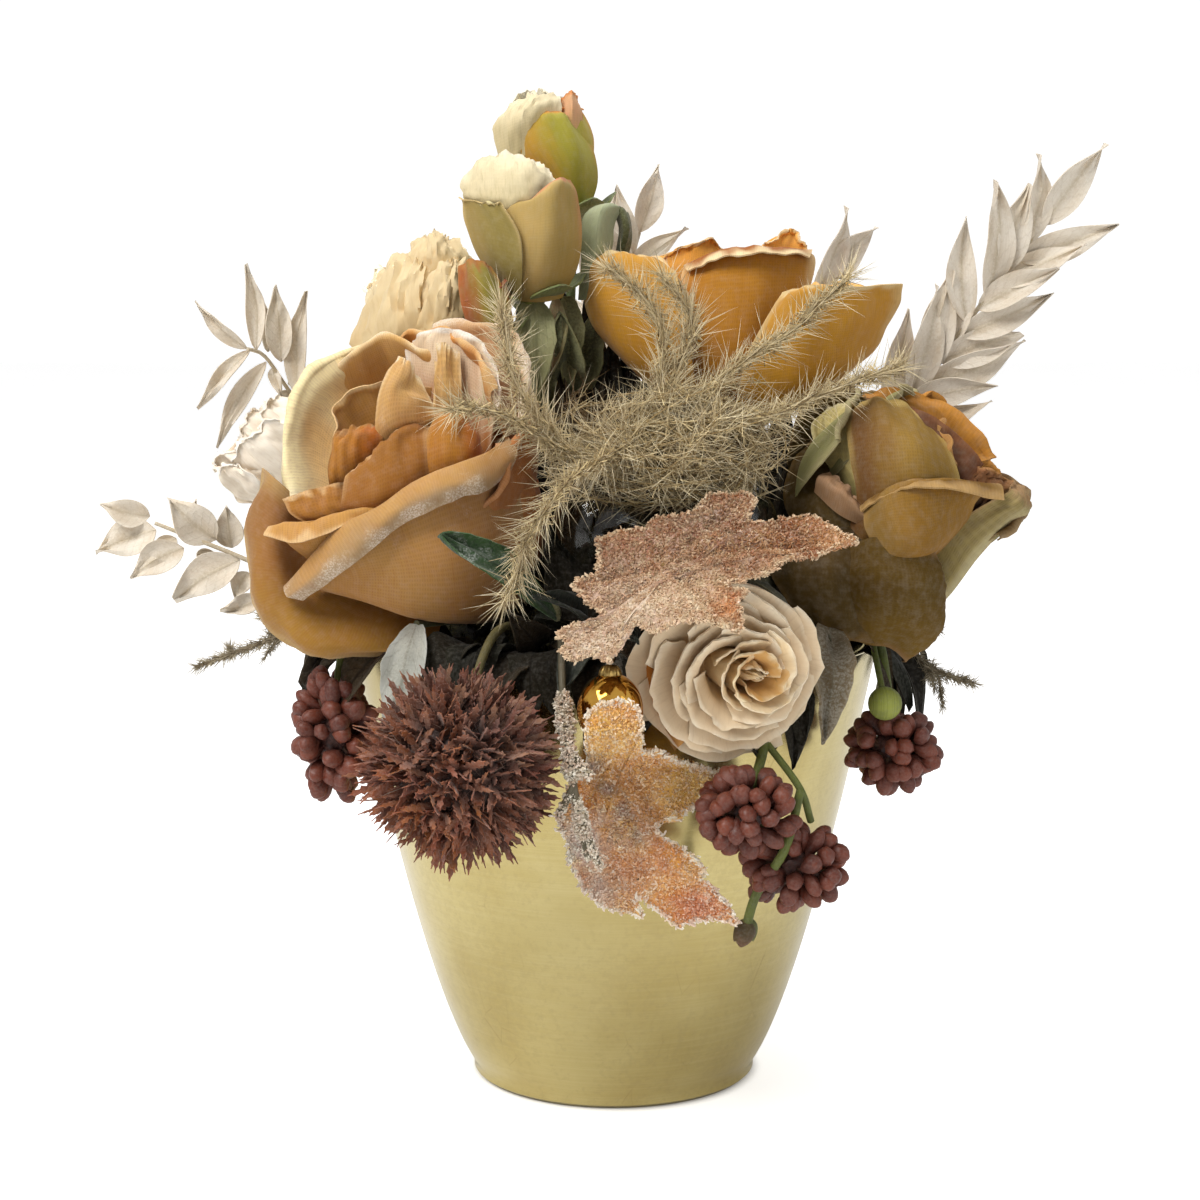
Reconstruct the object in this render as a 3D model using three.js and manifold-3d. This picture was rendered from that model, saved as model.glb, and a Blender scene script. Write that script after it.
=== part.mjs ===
// Floral table centrepiece: silk roses and buds, cream blooms, bleached ruscus, dried fern, allium,
// berries, frosted leaves and baubles, all standing in a foam block in a brushed metal pot.
// Millimetres, +Z up. The origin is the centre of the pot's base, and -Y is the front.

import * as THREE from 'three';
import { mergeVertices } from 'three/addons/utils/BufferGeometryUtils.js';
import Module from 'manifold-3d';

const wasm = await Module();
wasm.setup();

// ---------- Driving dimensions ----------

const POT = { height: 130, baseRadius: 37, rimRadius: 75.5, bulge: 0.65, wall: 1.8, floor: 2.4, sides: 28 };
const FOAM = { gap: 0.6, edgeHeight: 123, topHeight: 141, sides: 14 };
const STEM_DEPTH = 22; // how far each stem goes into the foam
const STEM_FOCUS = new THREE.Vector3(0, 0, -60); // every stem in the foam points at this spot
const HOLE_CLEARANCE = 0.45;
const HOLE_SIDES = 4;
const SEAT_GAP = 0.3; // between a bloom and the stem that carries it
const ROSE_STEM = 1.8;
const SPRAY_STEM = 1.2;
const WIRE = 0.8;
const PETAL_THICKNESS = 0.8;
const PETAL_ROOT = 1.2; // how far above its base a bloom's petals start
const LEAF_THICKNESS = 1.0;
const SEAM_TOLERANCE = 0.08; // facets this small are merged where pieces join

const UP = new THREE.Vector3(0, 0, 1);

// ---------- Finishes ----------

const finish = (color, roughness, metalness = 0) => ({ color, roughness, metalness });
const LOOKS = {
  brushedMetal: finish(0xd2c69a, 0.3, 1),
  foam: finish(0x4c5a34, 0.95),
  apricot: finish(0xd39a58, 0.8),
  gold: finish(0xc99240, 0.8),
  olive: finish(0x927237, 0.8),
  cream: finish(0xe6d6b8, 0.8),
  bud: finish(0xb3a254, 0.8),
  green: finish(0x5c6b3a, 0.75),
  darkGreen: finish(0x2f3f24, 0.6),
  bleached: finish(0xdcd0be, 0.75),
  straw: finish(0xc5b78c, 0.85),
  dryGrey: finish(0x9a9383, 0.85),
  allium: finish(0x6d4336, 0.85),
  frostedPeach: finish(0xe3b08e, 0.9),
  frostedOrange: finish(0xcf8a52, 0.9),
  mirrorGold: finish(0xd9a437, 0.08, 1),
  clearGlass: finish(0xc9cfc8, 0.05),
  wire: finish(0xb9bab4, 0.3, 1),
  berry: finish(0x6e3b33, 0.7),
  frostedWhite: finish(0xdfdcd6, 0.9),
  greyLeaf: finish(0xa4a698, 0.8),
};

// ---------- Small helpers ----------

const vec = (x, y, z) => new THREE.Vector3(x, y, z);
const radians = THREE.MathUtils.degToRad;
const mix = THREE.MathUtils.lerp;

/** A repeatable source of numbers from 0 to 1. */
function seeded(seed) {
  let state = seed;
  return () => {
    state = (state + 0x6d2b79f5) | 0;
    let t = Math.imul(state ^ (state >>> 15), 1 | state);
    t = (t + Math.imul(t ^ (t >>> 7), 61 | t)) ^ t;
    return ((t ^ (t >>> 14)) >>> 0) / 4294967296;
  };
}

/** Directions spread evenly over a sphere. */
function spreadDirections(count) {
  const goldenAngle = Math.PI * (3 - Math.sqrt(5));
  return Array.from({ length: count }, (_, i) => {
    const z = 1 - (2 * i + 1) / count;
    const flat = Math.sqrt(1 - z * z);
    return vec(flat * Math.cos(i * goldenAngle), flat * Math.sin(i * goldenAngle), z);
  });
}

/** A frame whose columns are across, normal and along, from a direction and a rough normal. */
function leafFrame(along, roughNormal) {
  const length = along.clone().normalize();
  const across = length.clone().cross(roughNormal).normalize();
  const normal = across.clone().cross(length).normalize();
  return { along: length, across, normal };
}

// ---------- Solids ----------

/** The solid inside a closed three.js geometry. */
function toSolid(geometry) {
  const bare = geometry.clone();
  bare.deleteAttribute('normal');
  bare.deleteAttribute('uv');
  const merged = mergeVertices(bare, 1e-4);
  const corners = merged.index.array;
  const kept = [];
  for (let i = 0; i < corners.length; i += 3) {
    const [a, b, c] = [corners[i], corners[i + 1], corners[i + 2]];
    if (a !== b && b !== c && c !== a) kept.push(a, b, c);
  }
  const vertProperties = new Float32Array(merged.attributes.position.array);
  return new wasm.Manifold(new wasm.Mesh({ numProp: 3, vertProperties, triVerts: new Uint32Array(kept) }));
}

/** The solid whose points and triangles are given. */
function solidFrom(points, triangles) {
  const geometry = new THREE.BufferGeometry().setFromPoints(points);
  geometry.setIndex(triangles.flat());
  const solid = toSolid(geometry);
  return solid.volume() < 0 ? toSolid(turnedOut(geometry, triangles)) : solid;
}

/** The same surface with its faces turned round. */
function turnedOut(geometry, triangles) {
  geometry.setIndex(triangles.flatMap(([a, b, c]) => [a, c, b]));
  return geometry;
}

/** All the pieces as one body, without scraps or sealed hollows. */
function fuse(pieces) {
  const bodies = wasm.Manifold.union(pieces).simplify(SEAM_TOLERANCE).decompose();
  return bodies.reduce((best, body) => (body.volume() > best.volume() ? body : best));
}

/** A closed sheet over point(u, v), with u from -1 to 1 across and v from 0 to 1 along. */
function sheet(point, across, along, thickness) {
  const step = 1e-3;
  const faces = [[], []];
  for (let j = 0; j <= along; j += 1) {
    for (let i = 0; i <= across; i += 1) {
      const u = -1 + (2 * i) / across;
      const v = j / along;
      const alongU = point(u + step, v).sub(point(u - step, v));
      const alongV = point(u, v + step).sub(point(u, v - step));
      const offset = alongU.cross(alongV).setLength(thickness / 2);
      faces[0].push(point(u, v).add(offset));
      faces[1].push(point(u, v).sub(offset));
    }
  }
  const at = (i, j) => j * (across + 1) + i;
  const below = faces[0].length;
  const triangles = [];
  for (let j = 0; j < along; j += 1) {
    for (let i = 0; i < across; i += 1) {
      const [a, b, c, d] = [at(i, j), at(i + 1, j), at(i + 1, j + 1), at(i, j + 1)];
      triangles.push([a, b, c], [a, c, d], [c + below, b + below, a + below], [d + below, c + below, a + below]);
    }
  }
  const rim = [];
  for (let i = 0; i < across; i += 1) rim.push(at(i, 0));
  for (let j = 0; j < along; j += 1) rim.push(at(across, j));
  for (let i = across; i > 0; i -= 1) rim.push(at(i, along));
  for (let j = along; j > 0; j -= 1) rim.push(at(0, j));
  rim.forEach((p, k) => {
    const q = rim[(k + 1) % rim.length];
    triangles.push([q, p, p + below], [q, p + below, q + below]);
  });
  return solidFrom([...faces[0], ...faces[1]], triangles);
}

/** A pointed blade, thickest along its rib, over point(u, v) as in sheet(). */
function blade(point, along, thickness) {
  const points = [point(0, 0), point(0, 1)];
  for (let j = 1; j < along; j += 1) {
    const v = j / along;
    const [left, rib, right] = [point(-1, v), point(0, v), point(1, v)];
    const chord = right.clone().sub(left);
    const run = point(0, v + 0.01).sub(point(0, v - 0.01));
    const offset = chord.cross(run).setLength(thickness / 2);
    points.push(left, rib.clone().add(offset), right, rib.clone().sub(offset));
  }
  const row = (j, k) => 2 + (j - 1) * 4 + (k % 4);
  const triangles = [];
  for (let k = 0; k < 4; k += 1) {
    triangles.push([0, row(1, k), row(1, k + 1)]);
    for (let j = 1; j < along - 1; j += 1) {
      triangles.push([row(j, k), row(j + 1, k), row(j, k + 1)]);
      triangles.push([row(j, k + 1), row(j + 1, k), row(j + 1, k + 1)]);
    }
    triangles.push([1, row(along - 1, k + 1), row(along - 1, k)]);
  }
  return solidFrom(points, triangles);
}

/** A round bar along a smooth curve through the points. */
function bar(points, radius, sides = 6, steps = 6) {
  const path = new THREE.CatmullRomCurve3(points, false, 'centripetal');
  const outline = new THREE.Shape();
  for (let i = 0; i < sides; i += 1) {
    const angle = (i / sides) * 2 * Math.PI;
    const draw = i === 0 ? 'moveTo' : 'lineTo';
    outline[draw](radius * Math.cos(angle), radius * Math.sin(angle));
  }
  outline.closePath();
  return toSolid(new THREE.ExtrudeGeometry(outline, { steps, bevelEnabled: false, extrudePath: path }));
}

/** A cone or cylinder between two points, with its first radius at the start. */
function spike(start, end, startRadius, endRadius, sides) {
  const run = end.clone().sub(start);
  const geometry = new THREE.CylinderGeometry(endRadius, startRadius, run.length(), sides, 1);
  geometry.rotateX(Math.PI / 2).translate(0, 0, run.length() / 2);
  geometry.applyQuaternion(new THREE.Quaternion().setFromUnitVectors(UP, run.normalize()));
  return toSolid(geometry.translate(start.x, start.y, start.z));
}

/** An egg-shaped ball. */
function ball(centre, radii, detail) {
  const geometry = new THREE.IcosahedronGeometry(1, detail).scale(...radii.toArray());
  return toSolid(geometry.translate(...centre.toArray()));
}

// ---------- Placing ----------

const centrepiece = new THREE.Group();
const placed = {}; // name -> solid in the object's own frame
const foamHoles = [];

function addMesh(name, solid, look, position, quaternion) {
  const { vertProperties, triVerts } = solid.getMesh();
  const geometry = new THREE.BufferGeometry();
  geometry.setAttribute('position', new THREE.BufferAttribute(vertProperties, 3));
  geometry.setIndex(new THREE.BufferAttribute(triVerts, 1));
  geometry.computeVertexNormals();
  const mesh = new THREE.Mesh(geometry, new THREE.MeshStandardMaterial(look));
  mesh.name = name;
  mesh.position.copy(position);
  if (quaternion) mesh.quaternion.copy(quaternion);
  centrepiece.add(mesh);
  mesh.updateMatrixWorld();
  placed[name] = solid.transform(mesh.matrixWorld.toArray());
}

/** Adds a solid that was modelled in the object's own frame, with its mesh placed at the anchor. */
function addAt(name, solid, look, anchor) {
  addMesh(name, solid.translate(anchor.clone().negate().toArray()), look, anchor);
}

/** Adds a bloom that was modelled with its base at the origin and its face up +Z. */
function addBloom(name, solid, look, { base, axis }) {
  addMesh(name, solid, look, base, new THREE.Quaternion().setFromUnitVectors(UP, axis.clone().normalize()));
}

/** The candidates that stay clear of the named solids that are already placed. */
function clearOf(candidates, names) {
  const others = wasm.Manifold.union(names.map((name) => placed[name]));
  return candidates.filter((piece) => piece.intersect(others).isEmpty());
}

// ---------- Pot and foam ----------

const potRadius = (z) => POT.baseRadius + (POT.rimRadius - POT.baseRadius) * (z / POT.height) ** POT.bulge;
const OUTER_HEIGHTS = [0, 0.015, 0.07, 0.2, 0.4, 0.65, 1].map((share) => share * POT.height);
const INNER_HEIGHTS = [POT.floor, 0.12 * POT.height, 0.45 * POT.height, POT.height];

/** The pot's inside radius, straight between the inner heights. */
function innerRadius(z) {
  const k = Math.max(1, INNER_HEIGHTS.findIndex((height) => height >= z));
  const [low, high] = [INNER_HEIGHTS[k - 1], INNER_HEIGHTS[k]];
  return mix(potRadius(low), potRadius(high), (z - low) / (high - low)) - POT.wall;
}

/** The height of the foam's domed top. */
function foamTop(x, y) {
  const edge = innerRadius(FOAM.edgeHeight) - FOAM.gap;
  return mix(FOAM.topHeight, FOAM.edgeHeight, (x * x + y * y) / edge ** 2);
}

function makePot() {
  const outside = OUTER_HEIGHTS.map((z) => new THREE.Vector2(potRadius(z), z));
  const inside = [...INNER_HEIGHTS].reverse().map((z) => new THREE.Vector2(innerRadius(z), z));
  const profile = [new THREE.Vector2(0, 0), ...outside, ...inside, new THREE.Vector2(0, POT.floor)];
  return toSolid(new THREE.LatheGeometry(profile, POT.sides).rotateX(Math.PI / 2));
}

function makeFoam() {
  const side = [POT.floor + SEAT_GAP, ...INNER_HEIGHTS.slice(1, -1), FOAM.edgeHeight]
    .map((z) => new THREE.Vector2(innerRadius(z) - FOAM.gap, z));
  const top = [40].map((r) => new THREE.Vector2(r, foamTop(r, 0)));
  const ends = [new THREE.Vector2(0, POT.floor + SEAT_GAP), new THREE.Vector2(0, FOAM.topHeight)];
  const profile = [ends[0], ...side, ...top, ends[1]];
  return toSolid(new THREE.LatheGeometry(profile, FOAM.sides).rotateX(Math.PI / 2));
}

/** A stem from its top, over its way points, into its own hole in the foam at x, y. */
function stemPoints(waypoints, x, y, radius) {
  const entry = vec(x, y, foamTop(x, y));
  const inward = STEM_FOCUS.clone().sub(entry).normalize();
  const end = entry.clone().addScaledVector(inward, STEM_DEPTH);
  const mouth = entry.clone().addScaledVector(inward, -5);
  const holeEnd = end.clone().addScaledVector(inward, SEAT_GAP);
  const holeTop = entry.clone().addScaledVector(inward, -12);
  const holeRadius = (radius + HOLE_CLEARANCE) / Math.cos(Math.PI / HOLE_SIDES);
  foamHoles.push(spike(holeTop, holeEnd, holeRadius, holeRadius, HOLE_SIDES));
  return [...waypoints, mouth, entry, end];
}

// ---------- Roses ----------

/**
 * One petal of a bloom whose base is at the origin and whose axis is +Z.
 * turn and spread are degrees; foot, belly and lip are radii; roll turns the lip out, and lap moves
 * one side of the petal outside its neighbour.
 */
function petalPoint({ turn, spread, foot, belly, lip, height, roll = 0, lap = 3, wave = 0, drop = 0.16 }) {
  return (u, v) => {
    const width = 0.42 + 0.58 * Math.sin(Math.min(v, 0.62) / 0.62 * Math.PI / 2) - 0.12 * Math.max(0, v - 0.7) / 0.3;
    const angle = radians(turn + spread * u * width);
    const s = 1 - v;
    const meridian = s * s * s * foot + 3 * s * s * v * belly + 3 * s * v * v * belly + v * v * v * lip;
    const curl = roll * Math.max(0, (v - 0.72) / 0.28) ** 2;
    const radius = meridian + curl + lap * u * Math.min(1, 2.5 * v) + wave * v * v * Math.sin(3 * u + turn);
    const rise = PETAL_ROOT + (height - PETAL_ROOT) * (v * (1.15 - 0.15 * v)) * (1 - drop * u * u * v);
    return vec(radius * Math.cos(angle), radius * Math.sin(angle), rise - 0.55 * curl);
  };
}

/** A bloom of petals that stand in a small cup-shaped heart. */
function bloom(petals, heart) {
  const cup = spike(vec(0, 0, 0), vec(0, 0, heart.z), heart.radius * 0.8, heart.radius * 1.15, 6);
  return fuse([cup, ...petals.map((petal) => (
    sheet(petalPoint(petal), petal.columns ?? 3, petal.rows ?? 3, PETAL_THICKNESS)))]);
}

/** Inner petals, each turned by the golden angle and a little wider than the last. */
function innerPetals({ count, turn = 0, spread, first, step, height, lap = 2.2 }) {
  return Array.from({ length: count }, (_, i) => ({
    turn: turn + i * 137.5,
    spread,
    foot: 2 + 0.3 * i,
    belly: first + step * i,
    lip: first + step * i - 1.5,
    height: height * (0.9 + 0.1 * (i % 2)),
    lap,
    columns: 2,
    rows: 2,
  }));
}

const ROSES = {
  rose_apricot: {
    base: vec(-42, -26, 152),
    axis: vec(-0.28, -0.6, 0.75),
    look: LOOKS.apricot,
    heart: { radius: 14, z: 16 },
    petals: [
      ...innerPetals({ count: 3, turn: 30, spread: 76, first: 7.5, step: 3.4, height: 56 }),
      { turn: -62, spread: 58, foot: 8, belly: 29, lip: 26, height: 55, roll: 6 },
      { turn: 58, spread: 52, foot: 8, belly: 27, lip: 26, height: 59, roll: 4 },
      { turn: 172, spread: 56, foot: 8, belly: 26, lip: 27, height: 57, roll: 5 },
      { turn: -118, spread: 56, foot: 9, belly: 38, lip: 38, height: 50, roll: 8 },
      { turn: -12, spread: 54, foot: 9, belly: 36, lip: 34, height: 50, roll: 6 },
      { turn: 118, spread: 56, foot: 9, belly: 33, lip: 35, height: 58, roll: 7 },
      { turn: -158, spread: 46, foot: 9.5, belly: 42, lip: 44, height: 44, roll: 6 },
    ],
    entry: [-30, -17],
  },
  rose_golden: {
    base: vec(33, 5, 184),
    axis: vec(0.04, 0.16, 1),
    look: LOOKS.gold,
    heart: { radius: 14, z: 15 },
    petals: [
      ...innerPetals({ count: 3, turn: 80, spread: 72, first: 7, step: 3.4, height: 44 }),
      { turn: -95, spread: 52, foot: 9, belly: 29, lip: 34, height: 55, roll: 6, wave: 1.5 },
      { turn: -25, spread: 48, foot: 9, belly: 31, lip: 41, height: 47, roll: 5, wave: 1.5 },
      { turn: 45, spread: 50, foot: 9, belly: 29, lip: 36, height: 52, roll: 5, wave: 1.2 },
      { turn: 115, spread: 50, foot: 9, belly: 29, lip: 36, height: 56, roll: 5, wave: 1.2 },
      { turn: -165, spread: 48, foot: 9, belly: 30, lip: 38, height: 50, roll: 5, wave: 1.5 },
    ],
    entry: [18, 6],
  },
  rose_olive: {
    base: vec(54, -28, 149),
    axis: vec(0.66, -0.3, 0.68),
    look: LOOKS.olive,
    heart: { radius: 13, z: 15 },
    petals: [
      ...innerPetals({ count: 2, turn: 10, spread: 76, first: 7, step: 3.4, height: 46 }),
      { turn: -70, spread: 60, foot: 8, belly: 22, lip: 22, height: 52, roll: 4, wave: 1.2 },
      { turn: 50, spread: 58, foot: 8, belly: 21, lip: 22, height: 52, roll: 4, wave: 1.2 },
      { turn: 170, spread: 58, foot: 8, belly: 22, lip: 22, height: 50, roll: 4, wave: 1.2 },
      { turn: -20, spread: 50, foot: 8, belly: 27, lip: 27, height: 54, roll: 9, wave: 1.5 },
      { turn: -128, spread: 56, foot: 9, belly: 29, lip: 33, height: 36, roll: 5 },
      { turn: -72, spread: 44, foot: 9.5, belly: 33, lip: 43, height: 28, roll: 3 },
    ],
    entry: [38, -15],
  },
  rose_cream_front: {
    base: vec(27, -78.5, 132),
    axis: vec(0.1, -0.98, -0.16),
    look: LOOKS.cream,
    heart: { radius: 9.5, z: 7.5 },
    petals: [
      ...innerPetals({ count: 3, turn: 20, spread: 66, first: 5, step: 2.8, height: 19, lap: 1.4 }),
      ...Array.from({ length: 4 }, (_, i) => (
        { turn: 90 * i + 15, spread: 56, foot: 5, belly: 17, lip: 17.5, height: 17.5, roll: 1.5, lap: 1.5, rows: 2 })),
      ...Array.from({ length: 5 }, (_, i) => (
        { turn: 72 * i + 50, spread: 44, foot: 5, belly: 20.5, lip: 21.5, height: 14.5, roll: 1.5, lap: 1.5, rows: 2 })),
    ],
    entry: [16, -48],
    over: [vec(26, -74, 135), vec(22, -62, 140)],
  },
  rose_cream_high: {
    base: vec(-47, 22, 202),
    axis: vec(-0.32, -0.1, 0.9),
    look: LOOKS.cream,
    heart: { radius: 9.5, z: 11 },
    petals: [
      ...innerPetals({ count: 2, turn: 40, spread: 70, first: 6, step: 3.4, height: 38, lap: 1.8 }),
      ...Array.from({ length: 5 }, (_, i) => (
        { turn: 72 * i - 100, spread: 46, foot: 5, belly: 18, lip: 16, height: 36, roll: 3, lap: 1.8, wave: 1.4 })),
    ],
    entry: [-30, 8],
  },
  rose_cream_low: {
    base: vec(-84, 12, 166),
    axis: vec(-0.75, -0.05, 0.6),
    look: LOOKS.cream,
    heart: { radius: 8, z: 9 },
    petals: [
      ...innerPetals({ count: 1, turn: 0, spread: 100, first: 7, step: 2.4, height: 28, lap: 1.8 }),
      ...Array.from({ length: 4 }, (_, i) => (
        { turn: 90 * i - 60, spread: 56, foot: 4, belly: 15, lip: 15, height: 28, roll: 2, lap: 1.8, wave: 1.4 })),
    ],
    entry: [-46, 3],
  },
};

function addRose(name, { base, axis, look, heart, petals, entry, over = [] }) {
  addBloom(name, bloom(petals, heart), look, { base, axis });
  const away = axis.clone().normalize().negate();
  const seat = base.clone().addScaledVector(away, SEAT_GAP);
  const cupEnd = seat.clone().addScaledVector(away, 6);
  const route = stemPoints([cupEnd.clone().addScaledVector(away, -2), cupEnd, ...over], ...entry, ROSE_STEM);
  const cup = spike(cupEnd, seat, ROSE_STEM, 5, 6);
  addAt(`${name}_stem`, fuse([cup, bar(route, ROSE_STEM, 5, 5)]), LOOKS.green, seat);
}

// ---------- Buds on one branching stem ----------

const BUDS = {
  bud_front: { base: vec(-24, -6, 223), axis: vec(-0.1, -0.12, 1), radius: 14.5, height: 40 },
  bud_back: { base: vec(-14, 30, 244), axis: vec(-0.22, 0, 1), radius: 12.5, height: 38 },
  bud_small: { base: vec(-32, -17, 213), axis: vec(-0.3, -0.3, 0.9), radius: 6, height: 19, petals: 3 },
};
const BUD_FORK = vec(-14, 8, 184);
const BUD_ENTRY = [-12, 8];

function budPetals({ radius, height, petals = 4 }) {
  const spread = 216 / petals;
  const outer = Array.from({ length: petals }, (_, i) => ({
    turn: i * 360 / petals - 60, spread, foot: 3, belly: radius, lip: radius * 0.86, height, roll: 1.5, lap: 1.5,
    columns: 2,
  }));
  const [belly, lip] = [radius * 0.6, radius * 0.4];
  const inner = { turn: 20, spread: 140, foot: 2, belly, lip, height, lap: 1.5, rows: 2 };
  return [inner, ...outer];
}

function addBuds() {
  const stems = [bar(stemPoints([BUD_FORK], ...BUD_ENTRY, ROSE_STEM), ROSE_STEM, 5, 4)];
  const budAxes = Object.entries(BUDS).map(([name, bud]) => {
    const axis = bud.axis.clone().normalize();
    const petals = budPetals(bud);
    const heart = { radius: bud.radius * 0.55, z: bud.radius * 0.8 };
    addBloom(name, bloom(petals, heart), LOOKS.bud, { base: bud.base, axis });
    return { bud, axis };
  });
  budAxes.forEach(({ bud, axis }, k) => {
    const seat = bud.base.clone().addScaledVector(axis, -SEAT_GAP);
    const cupEnd = seat.clone().addScaledVector(axis, -7);
    stems.push(spike(cupEnd, seat, 1.4, bud.radius * 0.4, 5));
    const low = BUD_FORK.clone().addScaledVector(UP, 3 * k - 4);
    stems.push(bar([seat.clone().addScaledVector(axis, -4), cupEnd, low], 1.4, 4, 3));
  });
  stems.push(...budLeaves());
  addAt('bud_spray_stem', fuse(stems), LOOKS.green, BUD_FORK);
}

/** Strap leaves that stand on the bud stem. */
function budLeaves() {
  const leaves = [
    { from: vec(-15.5, 3, 192), to: vec(-15, -14, 218), width: 6.5 },
    { from: vec(-14, 9, 196), to: vec(4, 2, 243), width: 6 },
    { from: vec(-14, 8, 190), to: vec(-4, 0, 220), width: 5.5 },
  ];
  return leaves.map(({ from, to, width }) => {
    const frame = leafFrame(to.clone().sub(from), vec(0.2, -1, 0.1));
    const length = to.distanceTo(from);
    return blade((u, v) => from.clone()
      .addScaledVector(frame.along, length * v)
      .addScaledVector(frame.across, width * u * Math.sin(Math.PI * (0.12 + 0.88 * v)))
      .addScaledVector(frame.normal, 3 * Math.sin(Math.PI * v) - 1.5 * Math.abs(u)), 4, LEAF_THICKNESS);
  });
}

// ---------- Ruscus ----------

/** A leafy spray: pairs of pointed leaves along a curved stem, and one at its tip. */
function leafySpray({ route, entry, leaves, length, width, facing, from = 0.12, spread = 55, seed }) {
  const random = seeded(seed);
  const curve = new THREE.CatmullRomCurve3(route, false, 'centripetal');
  const pieces = [bar(stemPoints([...route].reverse(), ...entry, SPRAY_STEM), SPRAY_STEM, 4, 8)];
  for (let i = 0; i < leaves; i += 1) {
    const t = i === leaves - 1 ? 1 : mix(from, 0.97, i / (leaves - 1));
    const start = curve.getPointAt(t);
    const run = curve.getTangentAt(t);
    const side = i === leaves - 1 ? 0 : (i % 2 ? 1 : -1) * radians(spread + 16 * (random() - 0.5));
    const normal = facing.clone().add(vec(random() - 0.5, 0.6 * (random() - 0.5), 0.6 * (random() - 0.5))).normalize();
    const along = run.clone().applyAxisAngle(normal, side);
    const frame = leafFrame(along, normal);
    const size = length * (0.8 + 0.35 * random());
    const half = width / 2 * (0.85 + 0.3 * random());
    const bend = size * 0.12 * (random() - 0.3);
    start.addScaledVector(frame.along, -SPRAY_STEM * 0.5);
    pieces.push(blade((u, v) => start.clone()
      .addScaledVector(frame.along, size * v)
      .addScaledVector(frame.across, half * u * Math.sin(Math.PI * v ** 0.8) ** 0.8)
      .addScaledVector(frame.normal, bend * Math.sin(Math.PI * v) + 1.2 * Math.abs(u)), 3, LEAF_THICKNESS));
  }
  return fuse(pieces);
}

const RUSCUS = {
  ruscus_right: {
    route: [vec(62, 8, 168), vec(84, 4, 194), vec(104, 0, 222), vec(119, -2, 242)],
    entry: [50, 4], leaves: 12, length: 31, width: 11.5, facing: vec(0, -1, 0.15), from: 0.3, spread: 36, seed: 11,
  },
  ruscus_left_high: {
    route: [vec(-61, 37, 168), vec(-77, 37, 188), vec(-90, 29, 202), vec(-99, 23, 211)],
    entry: [-47, 27], leaves: 8, length: 25, width: 7.5, facing: vec(0, -1, 0.1), from: 0.35, spread: 48, seed: 23,
  },
  ruscus_left_low: {
    route: [vec(-70, -12, 143), vec(-92, -13, 144), vec(-110, -13, 151), vec(-124, -12, 158)],
    entry: [-56, -10], leaves: 9, length: 26, width: 13, facing: vec(0, -1, 0.2), from: 0.3, spread: 50, seed: 37,
  },
  ruscus_back_left: {
    route: [vec(-4, 52, 180), vec(0, 64, 212), vec(8, 68, 240)],
    entry: [-2, 38], leaves: 6, length: 26, width: 12, facing: vec(0, -1, 0.1), from: 0.3, spread: 42, seed: 41,
  },
  ruscus_back_right: {
    route: [vec(32, 58, 176), vec(48, 64, 206), vec(66, 64, 226)],
    entry: [22, 40], leaves: 6, length: 26, width: 12, facing: vec(0, -1, 0.1), from: 0.3, spread: 42, seed: 53,
  },
};

// ---------- Needle-leaved strands ----------

/** Needles round a strand, leaning to its tip. */
function needles({ route, count, length, seed, from = 0.08 }) {
  const random = seeded(seed);
  const curve = new THREE.CatmullRomCurve3(route, false, 'centripetal');
  return Array.from({ length: count }, (_, i) => {
    const t = mix(from, 0.985, (i + 0.5) / count);
    const root = curve.getPointAt(t);
    const run = curve.getTangentAt(t);
    const side = run.clone().cross(Math.abs(run.z) < 0.9 ? UP : vec(1, 0, 0)).normalize();
    side.applyAxisAngle(run, 2.4 * i + random());
    const lean = side.multiplyScalar(0.85).addScaledVector(run, 0.75).normalize();
    const tip = root.clone().addScaledVector(lean, length * (0.8 + 0.4 * random()));
    return spike(root, tip, 0.6, 0, 3);
  });
}

const FERN_HEART = vec(9, -58, 188);
const FERN_TANGLE = vec(15, 7, 10);
const FERN_STRANDS = [
  [vec(-7, -65, 182), vec(-19, -71, 194), vec(-26, -70, 207), vec(-29, -64, 223)],
  [vec(-9, -66, 183), vec(-25, -76, 193), vec(-41, -84, 197)],
  [vec(12, -54, 200), vec(11, -50, 217), vec(-2, -48, 232)],
  [vec(16, -53, 204), vec(20, -49, 218), vec(13, -46, 230)],
  [vec(21, -54, 198), vec(39, -50, 210), vec(62, -42, 229)],
  [vec(24, -58, 189), vec(48, -57, 193), vec(62, -54, 199), vec(76, -50, 205)],
  [vec(-2, -68, 184), vec(-15, -80, 175), vec(-22, -88, 164), vec(-27, -92, 150)],
];
const FERN_ENTRY = [6, -27];
const FERN_NEEDLES = 8;

function addFern(obstacles) {
  const stalk = bar(stemPoints([FERN_HEART, vec(13, -43, 168)], ...FERN_ENTRY, WIRE), WIRE, 5, 6);
  const strands = FERN_STRANDS.map((route) => [FERN_HEART, ...route]);
  const slim = strands.map((route) => bar(route, 1.2, 4, 5));
  const green = strands.flatMap((route, i) => needles({ route, count: FERN_NEEDLES, length: 10, seed: 70 + i }));
  const heart = ball(FERN_HEART, FERN_TANGLE, 1);
  addAt('fern_spray', fuse([stalk, heart, ...slim, ...clearOf(green, obstacles)]), LOOKS.straw, FERN_HEART);
}

const DRY_STRANDS = {
  dry_strand_left: {
    route: [vec(-80, -26, 135), vec(-98, -25, 128), vec(-116, -22, 121)], entry: [-60, -22], seed: 91,
  },
  dry_strand_right: {
    route: [vec(76, -17, 134), vec(87, -20, 121), vec(100, -20, 116)], entry: [61, -10], seed: 95,
  },
};

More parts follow.
